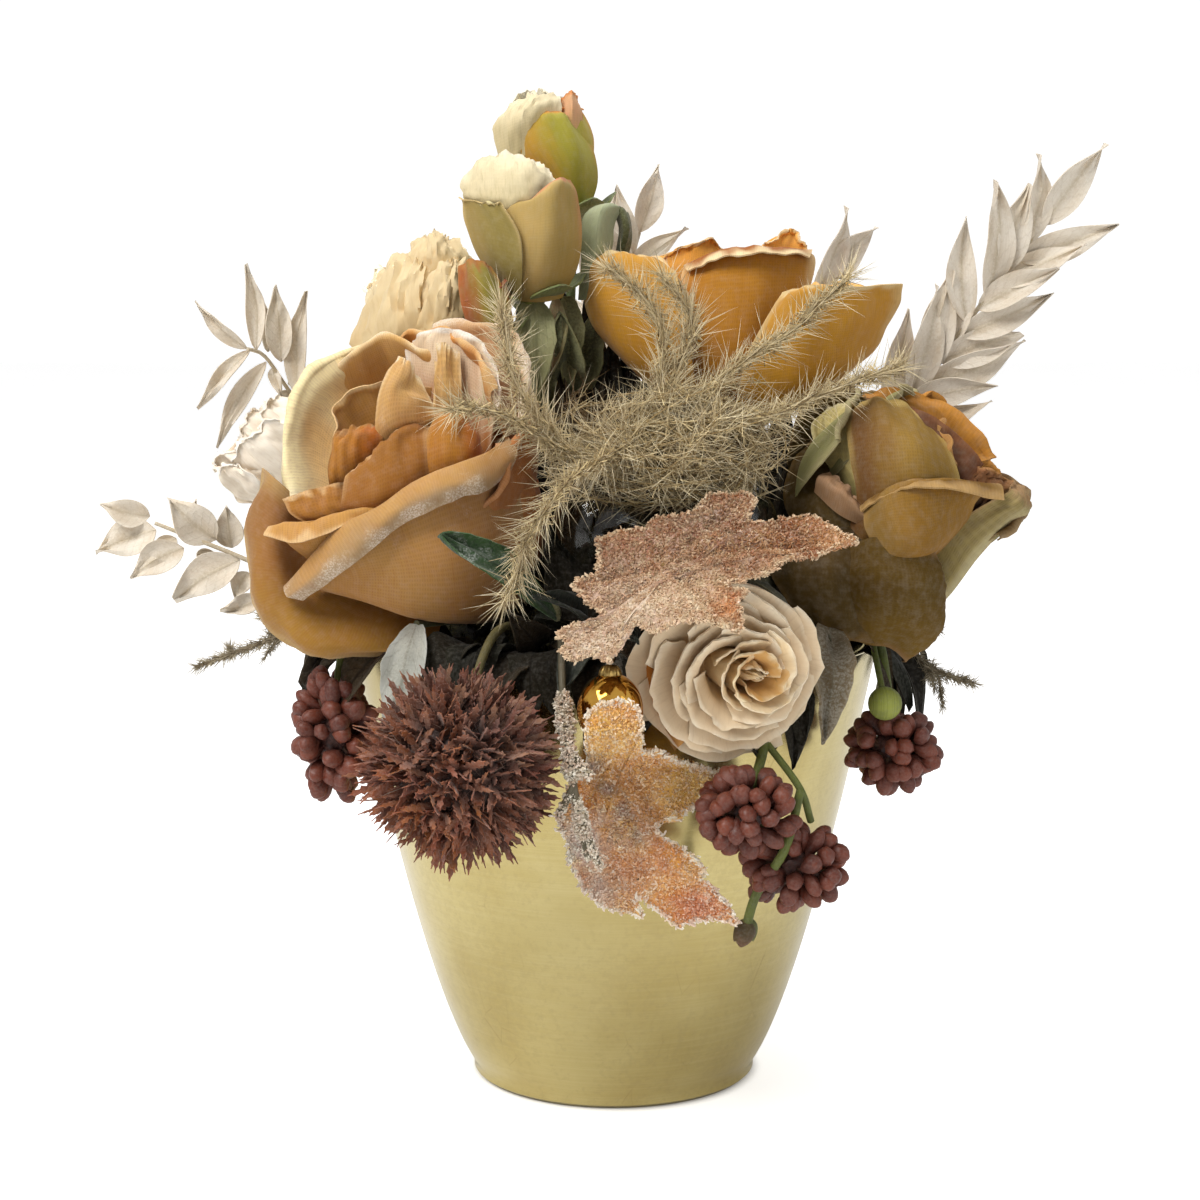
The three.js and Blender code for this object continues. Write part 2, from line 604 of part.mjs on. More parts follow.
function addDryStrands(obstacles) {
  Object.entries(DRY_STRANDS).forEach(([name, { route, entry, seed }]) => {
    const over = [...route].reverse();
    const strand = bar(stemPoints(over, ...entry, WIRE * 1.3), WIRE * 1.3, 4, 7);
    const hairs = clearOf(needles({ route, count: 8, length: 9, seed, from: 0.25 }), obstacles);
    addAt(name, fuse([strand, ...hairs]), LOOKS.dryGrey, route[0]);
  });
}

// ---------- Allium ----------

const ALLIUM = { centre: vec(-39.5, -95.5, 108.5), core: 17.5, reach: 28, spikes: 50, entry: [-25, -48] };

function addAllium() {
  const random = seeded(7);
  const core = ball(vec(0, 0, 0), vec(ALLIUM.core, ALLIUM.core, ALLIUM.core), 1);
  const florets = spreadDirections(ALLIUM.spikes).map((direction) => {
    const tilt = vec(random() - 0.5, random() - 0.5, random() - 0.5).multiplyScalar(0.5);
    const out = direction.clone().add(tilt).normalize();
    const reach = ALLIUM.reach * (0.86 + 0.14 * random());
    return spike(direction.clone().multiplyScalar(ALLIUM.core * 0.9), out.multiplyScalar(reach), 2.6, 0, 3);
  });
  addMesh('allium_head', fuse([core, ...florets]), LOOKS.allium, ALLIUM.centre);
  const back = vec(5, 16, 23).normalize();
  const seat = ALLIUM.centre.clone().addScaledVector(back, ALLIUM.core * 0.9);
  const top = ALLIUM.centre.clone().addScaledVector(back, ALLIUM.reach);
  const route = stemPoints([seat, top, vec(-31, -70, 138)], ...ALLIUM.entry, SPRAY_STEM);
  const stem = bar(route, SPRAY_STEM, 5, 7).subtract(placed.allium_head);
  addAt('allium_stem', fuse([stem]), LOOKS.green, top);
}

// ---------- Maple leaves ----------

/** Corners on one side of a lobe: degrees from its tip, and share of the lobe's length. */
const LOBE_SIDE = [[0, 1], [5, 0.8], [9, 0.82], [13, 0.64]];

/** The corners of a lobed outline, from the lobes' degrees and lengths, and the depth of its notches. */
function lobedOutline(lobes, notch) {
  return lobes.flatMap(([angle, reach], i) => {
    const [nextAngle, nextReach] = lobes[(i + 1) % lobes.length];
    const gap = (nextAngle - angle + 360) % 360;
    const near = LOBE_SIDE.map(([turn, share]) => [angle + turn * Math.min(1, gap / 40), reach * share]);
    const far = LOBE_SIDE.slice(1).reverse()
      .map(([turn, share]) => [angle + gap - turn * Math.min(1, gap / 40), nextReach * share]);
    return [...near, [angle + gap / 2, notch * Math.min(reach, nextReach)], ...far];
  });
}

/** A lobed leaf with its stalk end at the origin; bend() lifts it out of its plane. */
function mapleLeaf({ lobes, notch, bend, ring = 0.5 }) {
  const outline = lobedOutline(lobes, notch);
  const place = (share, [angle, reach]) => {
    const [x, y] = [reach * share * Math.cos(radians(angle)), reach * share * Math.sin(radians(angle))];
    return vec(x, y, bend(x, y));
  };
  const count = outline.length;
  const points = [vec(0, 0, bend(0, 0)), ...[ring, 1].flatMap((share) => outline.map((p) => place(share, p)))];
  const half = vec(0, 0, LEAF_THICKNESS / 2);
  const below = points.length;
  const all = [...points.map((p) => p.clone().add(half)), ...points.map((p) => p.clone().sub(half))];
  const triangles = [];
  for (let k = 0; k < count; k += 1) {
    const next = (k + 1) % count;
    const [a, b, c, d] = [1 + k, 1 + next, 1 + count + k, 1 + count + next];
    const top = [[0, a, b], [a, c, d], [a, d, b]];
    triangles.push(...top, ...top.map(([p, q, r]) => [r + below, q + below, p + below]));
    triangles.push([d, c, c + below], [d, c + below, d + below]);
  }
  return solidFrom(all, triangles);
}

function addMaple(name, { look, joint, along, normal, lobes, notch, bend, over, entry }) {
  const frame = leafFrame(along, normal);
  const matrix = new THREE.Matrix4().makeBasis(frame.along, frame.across.clone().negate(), frame.normal);
  const quaternion = new THREE.Quaternion().setFromRotationMatrix(matrix);
  const toWorld = new THREE.Matrix4().compose(joint, quaternion, vec(1, 1, 1));
  const stalkStart = vec(0, 0, bend(0, 0)).applyMatrix4(toWorld);
  const stalk = bar(stemPoints([stalkStart, ...over], ...entry, WIRE), WIRE, 4, 7);
  const leaf = fuse([mapleLeaf({ lobes, notch, bend }), stalk.transform(toWorld.clone().invert().toArray())]);
  addMesh(name, leaf, look, joint, quaternion);
}

const MAPLES = {
  maple_leaf_high: {
    look: LOOKS.frostedPeach,
    joint: vec(12, -88, 158.5),
    along: vec(1, -0.1, 0.06),
    normal: vec(-0.08, -0.58, 0.8),
    lobes: [[8, 47], [58, 43], [115, 30], [206, 31], [246, 30], [312, 26]],
    notch: 0.62,
    bend: (x, y) => -0.006 * y * y * (y < 0 ? 2 : 1) + 1.2 * Math.sin(x / 9),
    over: [vec(10, -72, 152)],
    entry: [8, -42],
  },
  maple_leaf_low: {
    look: LOOKS.frostedOrange,
    joint: vec(-1, -80.5, 109),
    along: vec(1, 0, 0),
    normal: vec(0, -1, 0.12),
    lobes: [[-10, 27], [100, 12], [190, 19], [240, 27], [280, 44], [307, 54]],
    notch: 0.8,
    bend: (x, y) => 1.2 * Math.sin(y / 6) - 0.002 * x * x,
    over: [vec(-1.5, -79, 124), vec(-1, -78, 133), vec(-1, -72, 137)],
    entry: [0, -57],
  },
};

// ---------- Baubles ----------

const GOLD_BAUBLE = { centre: vec(-2, -93.5, 120.5), radius: 7.4, stretch: 1.42, entry: [-9, -51] };
const CLEAR_BAUBLES = {
  clear_bauble_left: { centre: vec(-2.7, -47, 163), radius: 13.8, out: vec(0.1, 0.6, -0.8), entry: [-7, -35] },
  clear_bauble_right: { centre: vec(31, -48, 164), radius: 12, out: vec(-0.2, 0.7, -0.7), entry: [20, -30] },
};

function addGoldBauble() {
  const { centre, radius, stretch, entry } = GOLD_BAUBLE;
  addMesh('gold_bauble', ball(vec(0, 0, 0), vec(radius, radius, radius * stretch), 1), LOOKS.mirrorGold, centre);
  const top = centre.clone().add(vec(0, 0, radius * stretch + SEAT_GAP));
  const cap = spike(top, top.clone().add(vec(0, 0, 3)), 3, 2.4, 6);
  const route = stemPoints([top.clone().add(vec(0, 0, 1)), top.clone().add(vec(0, 3, 6)), vec(-5, -73, 142)], ...entry, WIRE);
  addAt('gold_bauble_wire', fuse([cap, bar(route, WIRE, 4, 8)]), LOOKS.wire, top);
}

const BALL_ARC = 4; // steps of a blown ball's outline

/** A thin blown ball with an open neck, its neck along +Z. */
function blownBall(radius) {
  const wall = 1;
  const neck = 2.6;
  const arc = (r, reach) => Array.from({ length: BALL_ARC + 1 }, (_, i) => {
    const start = -Math.PI / 2;
    const end = Math.acos(reach / r);
    const angle = mix(start, end, i / BALL_ARC);
    return new THREE.Vector2(r * Math.cos(angle) * (i === 0 ? 0 : 1), r * Math.sin(angle));
  });
  const lip = Math.sqrt(radius ** 2 - neck ** 2) + 2;
  const outside = [...arc(radius, neck), new THREE.Vector2(neck, lip)];
  const inside = [...arc(radius - wall, neck - wall), new THREE.Vector2(neck - wall, lip)].reverse();
  return { shell: toSolid(new THREE.LatheGeometry([...outside, ...inside], 10).rotateX(Math.PI / 2)), lip };
}

function addClearBaubles() {
  Object.entries(CLEAR_BAUBLES).forEach(([name, { centre, radius, out, entry }]) => {
    const axis = out.clone().normalize();
    const { shell, lip } = blownBall(radius);
    addBloom(name, shell, LOOKS.clearGlass, { base: centre, axis });
    const neck = centre.clone().addScaledVector(axis, lip + SEAT_GAP);
    const capEnd = neck.clone().addScaledVector(axis, 2.5);
    const route = stemPoints([neck.clone().addScaledVector(axis, 1), capEnd], ...entry, WIRE);
    addAt(`${name}_wire`, fuse([spike(neck, capEnd, 3.2, 2, 6), bar(route, WIRE, 4, 5)]), LOOKS.wire, neck);
  });
}

// ---------- Berries ----------

/** Berries crowded over a small egg-shaped core. */
function berryCluster({ radii, count, berry, seed }) {
  const random = seeded(seed);
  const core = ball(vec(0, 0, 0), radii.clone().multiplyScalar(0.78), 0);
  const berries = spreadDirections(count).map((direction) => {
    const seat = direction.clone().multiply(radii).multiplyScalar(0.82 + 0.12 * random());
    const size = berry * (0.85 + 0.3 * random());
    return ball(seat, vec(size, size, size * 1.1), 0);
  });
  return fuse([core, ...berries]);
}

const SEDUM = {
  sedum_left: { centre: vec(-75, -45, 107), radii: vec(9, 7, 17.5), count: 10, berry: 5.6, seed: 3 },
  sedum_right: { centre: vec(74, -51, 104), radii: vec(11, 7, 10), count: 9, berry: 5.4, seed: 5 },
  sedum_low_a: { centre: vec(33, -90, 96), radii: vec(11, 7, 9), count: 9, berry: 5.4, seed: 8 },
  sedum_low_b: { centre: vec(46, -80, 79), radii: vec(12, 7, 9), count: 9, berry: 5.4, seed: 9 },
};
const SEDUM_STEMS = {
  sedum_left_stem: { head: 'sedum_left', route: [vec(-74, -42, 124), vec(-70, -39, 137)], entry: [-50, -31] },
  sedum_right_stem: { head: 'sedum_right', route: [vec(73, -48, 118), vec(68, -42, 137)], entry: [51, -30] },
  sedum_low_stem: {
    head: 'sedum_low_a', route: [vec(38, -80, 112), vec(38, -73, 134)], entry: [33, -44],
  },
};
const LOW_BRANCH = [vec(38, -80, 112), vec(47, -84, 100), vec(50, -80, 91)];
const HANGING_TWIG = [vec(47, -84, 100), vec(43, -88, 86), vec(36, -82, 72), vec(33.5, -79, 62)];
const GREEN_BERRY = { centre: vec(71, -58, 117.5), radius: 4.6 };

function addSedum() {
  Object.entries(SEDUM).forEach(([name, head]) => addMesh(name, berryCluster(head), LOOKS.berry, head.centre));
  Object.entries(SEDUM_STEMS).forEach(([name, { head, route, entry }]) => {
    const low = placed[head];
    const start = SEDUM[head].centre.clone().lerp(route[0], 0.55);
    const pieces = [bar(stemPoints([start, ...route], ...entry, SPRAY_STEM), SPRAY_STEM, 4, 8)];
    if (name === 'sedum_low_stem') {
      pieces.push(bar(LOW_BRANCH, 1, 4, 3), bar(HANGING_TWIG, 0.9, 4, 4));
      pieces.push(ball(HANGING_TWIG[3], vec(2.2, 2.2, 3.6), 0));
    }
    if (name === 'sedum_right_stem') {
      pieces.push(ball(GREEN_BERRY.centre, vec(1, 1, 1).multiplyScalar(GREEN_BERRY.radius), 0));
      pieces.push(spike(GREEN_BERRY.centre, route[1], 0.9, 0.9, 4));
    }
    const whole = wasm.Manifold.union(pieces).subtract(wasm.Manifold.union([low, placed.sedum_low_b]));
    addAt(name, fuse([whole]), LOOKS.green, route[0]);
  });
}

// ---------- Twig and single leaves ----------

const TWIG_ROUTE = [vec(-7, -98, 86), vec(-10.5, -98, 104), vec(-13, -93, 122), vec(-14, -77, 139)];
const TWIG_SIDES = [
  [vec(-8.5, -98, 95), vec(-4, -100, 84)],
  [vec(-10.5, -98, 104), vec(-14.5, -101, 97)],
  [vec(-12, -96, 113), vec(-6.5, -99, 107)],
];

function addTwig() {
  const main = bar(stemPoints(TWIG_ROUTE, -14, -61, WIRE), WIRE, 4, 9);
  const sides = TWIG_SIDES.flatMap(([root, end]) => [spike(root, end, 0.9, 0.6, 4), ball(end, vec(1.7, 1.7, 2), 0)]);
  addAt('frosted_twig', fuse([main, ball(TWIG_ROUTE[0], vec(1.9, 1.8, 2.2), 0), ...sides]), LOOKS.frostedWhite, TWIG_ROUTE[2]);
}

/** Leaves that share one stalk; each has its tip and its width. */
const LOOSE_LEAVES = {
  green_leaf: {
    from: vec(-17, -76, 147), tips: [[vec(-44, -91, 166), 11]], normal: vec(0.3, -0.7, 0.6), arch: 3,
    look: LOOKS.darkGreen, over: [vec(-16, -64, 146)], entry: [-17, -38],
  },
  grey_leaf_left: {
    from: vec(-52, -60, 139), tips: [[vec(-57, -78, 108), 11]], normal: vec(-0.2, -0.9, 0.2), arch: 4,
    look: LOOKS.greyLeaf, over: [], entry: [-37, -39],
  },
  grey_leaf_right: {
    from: vec(56, -58, 140), tips: [[vec(53, -82, 112), 11]], normal: vec(0.2, -0.9, 0.2), arch: 4,
    look: LOOKS.greyLeaf, over: [], entry: [42, -36],
  },
  grey_leaves_back_left: {
    from: vec(-48, 48, 144), normal: vec(-0.4, 0.5, 0.8), arch: 5,
    tips: [[vec(-84, 48, 138), 19], [vec(-66, 74, 128), 19], [vec(-36, 80, 142), 17], [vec(-64, 50, 170), 16]],
    look: LOOKS.greyLeaf, over: [], entry: [-38, 40],
  },
  grey_leaves_back: {
    from: vec(-2, 66, 142), normal: vec(0, 0.6, 0.8), arch: 5,
    tips: [[vec(-26, 88, 126), 18], [vec(2, 96, 134), 19], [vec(28, 84, 124), 18]],
    look: LOOKS.greyLeaf, over: [], entry: [-2, 54],
  },
  grey_leaves_back_right: {
    from: vec(52, 44, 144), normal: vec(0.4, 0.5, 0.8), arch: 5,
    tips: [[vec(84, 36, 146), 18], [vec(76, 64, 130), 19], [vec(46, 82, 140), 18], [vec(66, 50, 170), 16]],
    look: LOOKS.greyLeaf, over: [], entry: [42, 38],
  },
};

function addLooseLeaves(name, { from, tips, normal, arch, look, over, entry }) {
  const leaves = tips.map(([tip, width]) => {
    const frame = leafFrame(tip.clone().sub(from), normal);
    const length = from.distanceTo(tip);
    const start = from.clone().addScaledVector(frame.along, -1);
    return blade((u, v) => start.clone()
      .addScaledVector(frame.along, length * v)
      .addScaledVector(frame.across, width / 2 * u * Math.sin(Math.PI * v ** 0.85) ** 0.7)
      .addScaledVector(frame.normal, arch * Math.sin(Math.PI * v) + 1.2 * Math.abs(u)), 5, LEAF_THICKNESS);
  });
  const stalk = bar(stemPoints([from, ...over], ...entry, WIRE), WIRE, 4, 5);
  addAt(name, fuse([...leaves, ball(from, vec(1.6, 1.6, 1.6), 0), stalk]), look, from);
}

// ---------- Assembly ----------

Object.entries(ROSES).forEach(([name, rose]) => addRose(name, rose));
addBuds();
Object.entries(RUSCUS).forEach(([name, spray]) => addAt(name, leafySpray(spray), LOOKS.bleached, spray.route[0]));
addAllium();
Object.entries(MAPLES).forEach(([name, leaf]) => addMaple(name, leaf));
addGoldBauble();
addClearBaubles();
addSedum();
addTwig();
Object.entries(LOOSE_LEAVES).forEach(([name, leaf]) => addLooseLeaves(name, leaf));
addAt('pot', makePot(), LOOKS.brushedMetal, vec(0, 0, 0));
const standing = Object.keys(placed);
addFern(standing);
addDryStrands(standing);
addAt('floral_foam', makeFoam().subtract(wasm.Manifold.union(foamHoles)), LOOKS.foam, vec(0, 0, 0));

export default centrepiece;
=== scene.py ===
"""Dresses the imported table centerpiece: silk roses, dried sprays and frosted leaves in a gold pot.

Lengths are millimetres while a piece is shaped and metres in its mesh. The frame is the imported
model's: z up, the front of the arrangement towards -y, the middle of the pot's base at the origin.
"""

import logging
import math
from collections.abc import Callable, Sequence
from dataclasses import dataclass, field
from enum import Enum

import bpy
import numpy as np
from mathutils import Matrix


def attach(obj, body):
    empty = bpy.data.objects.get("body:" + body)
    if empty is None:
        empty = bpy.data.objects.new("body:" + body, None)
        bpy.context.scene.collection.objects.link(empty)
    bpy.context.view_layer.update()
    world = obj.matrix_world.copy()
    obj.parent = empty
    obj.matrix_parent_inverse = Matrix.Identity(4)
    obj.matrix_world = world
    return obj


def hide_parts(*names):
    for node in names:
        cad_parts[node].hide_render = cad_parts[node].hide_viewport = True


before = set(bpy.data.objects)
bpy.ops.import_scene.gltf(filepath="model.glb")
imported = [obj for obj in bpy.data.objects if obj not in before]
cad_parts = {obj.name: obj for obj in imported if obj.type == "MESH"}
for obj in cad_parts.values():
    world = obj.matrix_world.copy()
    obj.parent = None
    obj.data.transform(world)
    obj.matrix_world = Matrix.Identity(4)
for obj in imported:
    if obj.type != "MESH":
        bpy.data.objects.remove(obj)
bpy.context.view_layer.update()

Array = np.ndarray
Piece = bpy.types.Object
Material = bpy.types.Material
Socket = bpy.types.NodeSocket
Faces = list[np.ndarray]
Entry = tuple[float, float]
Spot = tuple[float, float, float]

LOG = logging.getLogger("centerpiece")
MM = 0.001
UP = np.array([0.0, 0.0, 1.0])
EYE = np.array([-4.0, -720.0, 241.0])
PITCH = math.radians(8.25)
PICTURE = 1200
FOCAL = 2556.5
GOLDEN_ANGLE = math.pi * (3 - math.sqrt(5))
PETAL_ANGLE = 137.5
CURVE_STEPS = 24
ROUTE_STEPS = 200
SEPALS = 5

POT_HEIGHT = 130.0
POT_BASE_RADIUS = 37.0
POT_RIM_RADIUS = 75.5
POT_BULGE = 0.65
POT_WALL = 1.8
POT_FLOOR = 2.4
FOAM_GAP = 0.6
FOAM_EDGE_HEIGHT = 123.0
FOAM_TOP_HEIGHT = 141.0
STEM_FOCUS = np.array([0.0, 0.0, -60.0])
STEM_DEPTH = 22.0
ROSE_STEM = 1.8
PETAL_ROOT = 1.2


# ---------- Numbers ----------


def vec(x: float, y: float, z: float) -> Array:
    """A point or direction."""
    return np.array([x, y, z], float)


def unit(v: Array) -> Array:
    """The same directions, one long."""
    return v / np.maximum(np.linalg.norm(v, axis=-1, keepdims=True), 1e-9)


def mix(a: Array | float, b: Array | float, t: Array | float) -> Array | float:
    """The value a share t of the way from a to b."""
    return a + (b - a) * t


def ease(low: float, high: float, x: Array | float) -> Array:
    """Rises smoothly from 0 at low to 1 at high."""
    t = np.clip((np.asarray(x, float) - low) / (high - low), 0, 1)
    return t * t * (3 - 2 * t)


def colour(code: str) -> Array:
    """The linear colour of a display colour such as D9A866."""
    shown = np.array([int(code[i:i + 2], 16) / 255 for i in (0, 2, 4)])
    return np.where(shown <= 0.04045, shown / 12.92, ((shown + 0.055) / 1.055) ** 2.4)


def rgba(code: str) -> tuple[float, float, float, float]:
    """A display colour as a shader socket takes it."""
    r, g, b = colour(code)
    return (float(r), float(g), float(b), 1.0)


def ripple(points: Array, size: float, seed: int) -> Array:
    """Smooth noise of about -1 to 1.

    Args:
        points: where it is read, one row each.
        size: the distance from crest to crest.
        seed: which pattern.

    Returns:
        One value for each point.
    """
    random = np.random.default_rng(seed)
    total = np.zeros(len(points))
    for _ in range(7):
        direction = unit(random.normal(size=points.shape[1]))
        pitch = 2 * math.pi / size * random.uniform(0.6, 1.5)
        total += np.sin(points @ direction * pitch + random.uniform(0, 2 * math.pi))
    return total / 3


def seeded(seed: int) -> Callable[[], float]:
    """The source of numbers from 0 to 1 that also places the solids' leaves."""
    state = seed
    full = 0xFFFFFFFF

    def draw() -> float:
        nonlocal state
        state = (state + 0x6D2B79F5) & full
        t = ((state ^ (state >> 15)) * (1 | state)) & full
        t = ((t + (((t ^ (t >> 7)) * (61 | t)) & full)) & full) ^ t
        return (t ^ (t >> 14)) / 4294967296

    return draw


def spread_directions(count: int) -> Array:
    """Directions spread evenly over a ball."""
    i = np.arange(count)
    z = 1 - (2 * i + 1) / count
    flat = np.sqrt(1 - z * z)
    return np.stack([flat * np.cos(i * GOLDEN_ANGLE), flat * np.sin(i * GOLDEN_ANGLE), z], 1)


def turn_to(axis: Array) -> Array:
    """The rotation that takes +z to an axis by the shortest way."""
    a = unit(axis)
    if a[2] < -0.9999:
        return np.diag([1.0, -1.0, -1.0])
    w = np.array([[0, 0, a[0]], [0, 0, a[1]], [-a[0], -a[1], 0]])
    return np.eye(3) + w + w @ w / (1 + a[2])


def placer(turn: Array, base: Array) -> Callable[[Array], Array]:
    """What turns points about the origin and moves them to a base."""
    return lambda points: points @ turn.T + base


def turned_about(v: Array, axis: Array, angle: float) -> Array:
    """A direction turned about an axis by an angle in radians."""
    k = unit(axis)
    return v * math.cos(angle) + np.cross(k, v) * math.sin(angle) + k * (k @ v) * (1 - math.cos(angle))


def leaf_frame(along: Array, rough_normal: Array) -> tuple[Array, Array, Array]:
    """Unit directions along a leaf, across it and out of its face."""
    run = unit(along)
    across = unit(np.cross(run, rough_normal))
    return run, across, unit(np.cross(across, run))


def reach_along(path: Array) -> Array:
    """How far along a path each of its points is."""
    return np.concatenate([[0], np.cumsum(np.linalg.norm(np.diff(path, axis=0), axis=1))])


def smooth_curve(points: Sequence[Array | Spot], samples: int) -> Array:
    """Evenly spaced points on a smooth curve through the given ones."""
    p = np.array(points, float)
    if len(p) == 2:
        return mix(p[0], p[1], np.linspace(0, 1, samples)[:, None])
    ends = np.vstack([2 * p[0] - p[1], p, 2 * p[-1] - p[-2]])
    parts = []
    for a, b, c, d in zip(ends, ends[1:], ends[2:], ends[3:]):
        t1 = np.linalg.norm(b - a) ** 0.5
        t2 = t1 + np.linalg.norm(c - b) ** 0.5
        t3 = t2 + np.linalg.norm(d - c) ** 0.5
        t = np.linspace(t1, t2, CURVE_STEPS, endpoint=False)[:, None]
        ab, bc, cd = mix(a, b, t / t1), mix(b, c, (t - t1) / (t2 - t1)), mix(c, d, (t - t2) / (t3 - t2))
        parts.append(mix(mix(ab, bc, t / t2), mix(bc, cd, (t - t1) / (t3 - t1)), (t - t1) / (t2 - t1)))
    fine = np.vstack([*parts, p[-1:]])
    reach = reach_along(fine)
    wanted = np.linspace(0, reach[-1], samples)
    return np.stack([np.interp(wanted, reach, fine[:, k]) for k in range(3)], 1)


def curve_shares(count: int, at: Array) -> Array:
    """How much each point of a smooth curve counts at each share of its length, one row per share."""
    place = np.clip(at, 0, 1) * (count - 1)
    first = np.minimum(place.astype(int), count - 2)
    t = place - first
    basis = (2 * t ** 2 - t ** 3 - t, 3 * t ** 3 - 5 * t ** 2 + 2, 4 * t ** 2 - 3 * t ** 3 + t, t ** 3 - t ** 2)
    shares = np.zeros((len(at), count + 2))
    for k, part in enumerate(basis):
        shares[np.arange(len(at)), first + k] = part / 2
    shares[:, 1] += 2 * shares[:, 0]
    shares[:, 2] -= shares[:, 0]
    shares[:, -2] += 2 * shares[:, -1]
    shares[:, -3] -= shares[:, -1]
    return shares[:, 1:-1]


def in_picture(spots: Array) -> Array:
    """The places of spots given as a pixel across, a pixel down and a y in millimetres."""
    across, up = (spots[..., 0] - PICTURE / 2) / FOCAL, (PICTURE / 2 - spots[..., 1]) / FOCAL
    c, s = math.cos(PITCH), math.sin(PITCH)
    ray = np.stack([across, c + up * s, up * c - s], -1)
    return EYE + ray * ((spots[..., 2] - EYE[1]) / ray[..., 1])[..., None]


def path_frames(path: Array) -> tuple[Array, Array, Array]:
    """Unit directions along a path and two across it, which don't twist."""
    run = unit(np.gradient(path, axis=0))
    side = np.empty_like(path)
    start = UP if abs(run[0][2]) < 0.9 else vec(1, 0, 0)
    side[0] = unit(np.cross(run[0], start))
    for i in range(1, len(path)):
        side[i] = unit(side[i - 1] - run[i] * (side[i - 1] @ run[i]))
    return run, side, np.cross(run, side)


# ---------- Places in the pot ----------


def pot_radius(z: float) -> float:
    """The pot's outside radius at a height."""
    return POT_BASE_RADIUS + (POT_RIM_RADIUS - POT_BASE_RADIUS) * (z / POT_HEIGHT) ** POT_BULGE


def inner_radius(z: float) -> float:
    """The pot's inside radius at a height, straight between the solid's inner rings."""
    heights = [POT_FLOOR, 0.12 * POT_HEIGHT, 0.45 * POT_HEIGHT, POT_HEIGHT]
    return float(np.interp(z, heights, [pot_radius(h) for h in heights])) - POT_WALL


def ways_round(angle: float) -> tuple[Array, Array]:
    """The level directions outward and aside at an angle round the pot."""
    return vec(math.cos(angle), math.sin(angle), 0), vec(-math.sin(angle), math.cos(angle), 0)


def foam_top(x: float, y: float) -> float:
    """The height of the foam's domed top."""
    edge = inner_radius(FOAM_EDGE_HEIGHT) - FOAM_GAP
    return mix(FOAM_TOP_HEIGHT, FOAM_EDGE_HEIGHT, (x * x + y * y) / edge ** 2)


def stem_points(way: Sequence[Array | Spot], entry: Entry) -> list[Array | Spot]:
    """A stem from its top, over its way points, into its own hole in the foam."""
    hole = vec(*entry, foam_top(*entry))
    inward = unit(STEM_FOCUS - hole)
    return [*way, hole - 5 * inward, hole, hole + STEM_DEPTH * inward]


# ---------- Meshes ----------


@dataclass
class Patch:
    """Part of a piece: its points, its faces and what is painted on the points."""

    points: Array
    faces: Faces
    tint: Array
    thread: Array = field(default_factory=lambda: np.zeros((0, 2)))
    frost: Array = field(default_factory=lambda: np.zeros(0))
    back: Array = field(default_factory=lambda: np.zeros((0, 3)))

    def __post_init__(self) -> None:
        """Fills in what wasn't painted."""
        count = len(self.points)
        self.tint = np.broadcast_to(self.tint, (count, 3))
        self.back = self.tint if not len(self.back) else np.broadcast_to(self.back, (count, 3))
        self.thread = self.thread if len(self.thread) else np.zeros((count, 2))
        self.frost = self.frost if np.size(self.frost) else np.zeros(count)
        self.frost = np.broadcast_to(self.frost, (count,))


def joined(patches: Sequence[Patch]) -> Patch:
    """All the patches as one."""
    faces, start = [], 0
    for patch in patches:
        faces.extend(corners + start for corners in patch.faces)
        start += len(patch.points)
    columns = ([getattr(p, name) for p in patches] for name in ("points", "tint", "thread", "frost", "back"))
    points, tint, thread, frost, back = (np.concatenate(column) for column in columns)
    return Patch(points, faces, tint, thread, frost, back)


@dataclass(frozen=True)
class Blank:
    """A shape that was modelled once, to be stamped many times."""

    points: Array
    faces: Faces


def deselect() -> None:
    """Leaves nothing selected, so an operator acts on the new piece alone."""
    if bpy.context.object and bpy.context.object.mode != "OBJECT":
        bpy.ops.object.mode_set(mode="OBJECT")
    bpy.ops.object.select_all(action="DESELECT")


def take_blank(piece: Piece) -> Blank:
    """Reads a modelled shape as a blank, and removes its object."""
    points = np.array([v.co for v in piece.data.vertices], float)
    by_size: dict[int, list[list[int]]] = {}
    for face in piece.data.polygons:
        by_size.setdefault(len(face.vertices), []).append(list(face.vertices))
    bpy.data.objects.remove(piece)
    return Blank(points, [np.array(corners, int) for corners in by_size.values()])


def grid_blank(columns: int, rows: int) -> Blank:
    """A flat sheet, from -1 to 1 across and from 0 to 1 along."""
    deselect()
    bpy.ops.mesh.primitive_grid_add(x_subdivisions=columns, y_subdivisions=rows, size=2)
    blank = take_blank(bpy.context.object)
    blank.points[:, 1] = (blank.points[:, 1] + 1) / 2
    return blank


def crystal_blank() -> Blank:
    """A small pointed grain of sugar."""
    deselect()
    bpy.ops.mesh.primitive_uv_sphere_add(segments=3, ring_count=3, radius=1)
    return take_blank(bpy.context.object)


def needle_blank() -> Blank:
    """A thin hair from 0 to 1 along z, pointed at its tip."""
    deselect()
    bpy.ops.mesh.primitive_cone_add(vertices=3, radius1=1, radius2=0.72, depth=0.5, location=(0, 0, 0.25))
    bpy.ops.object.mode_set(mode="EDIT")
    bpy.ops.mesh.select_all(action="DESELECT")
    bpy.ops.object.mode_set(mode="OBJECT")
    hair = bpy.context.object
    for face in hair.data.polygons:
        face.select = face.normal.z > 0.9
    bpy.ops.object.mode_set(mode="EDIT")
    bpy.ops.mesh.extrude_region_move(TRANSFORM_OT_translate={"value": (0, 0, 0.5)})
    bpy.ops.mesh.merge(type="CENTER")
    bpy.ops.object.mode_set(mode="OBJECT")
    hair.data.transform(Matrix.Translation(-hair.location) @ hair.matrix_world)
    return take_blank(hair)


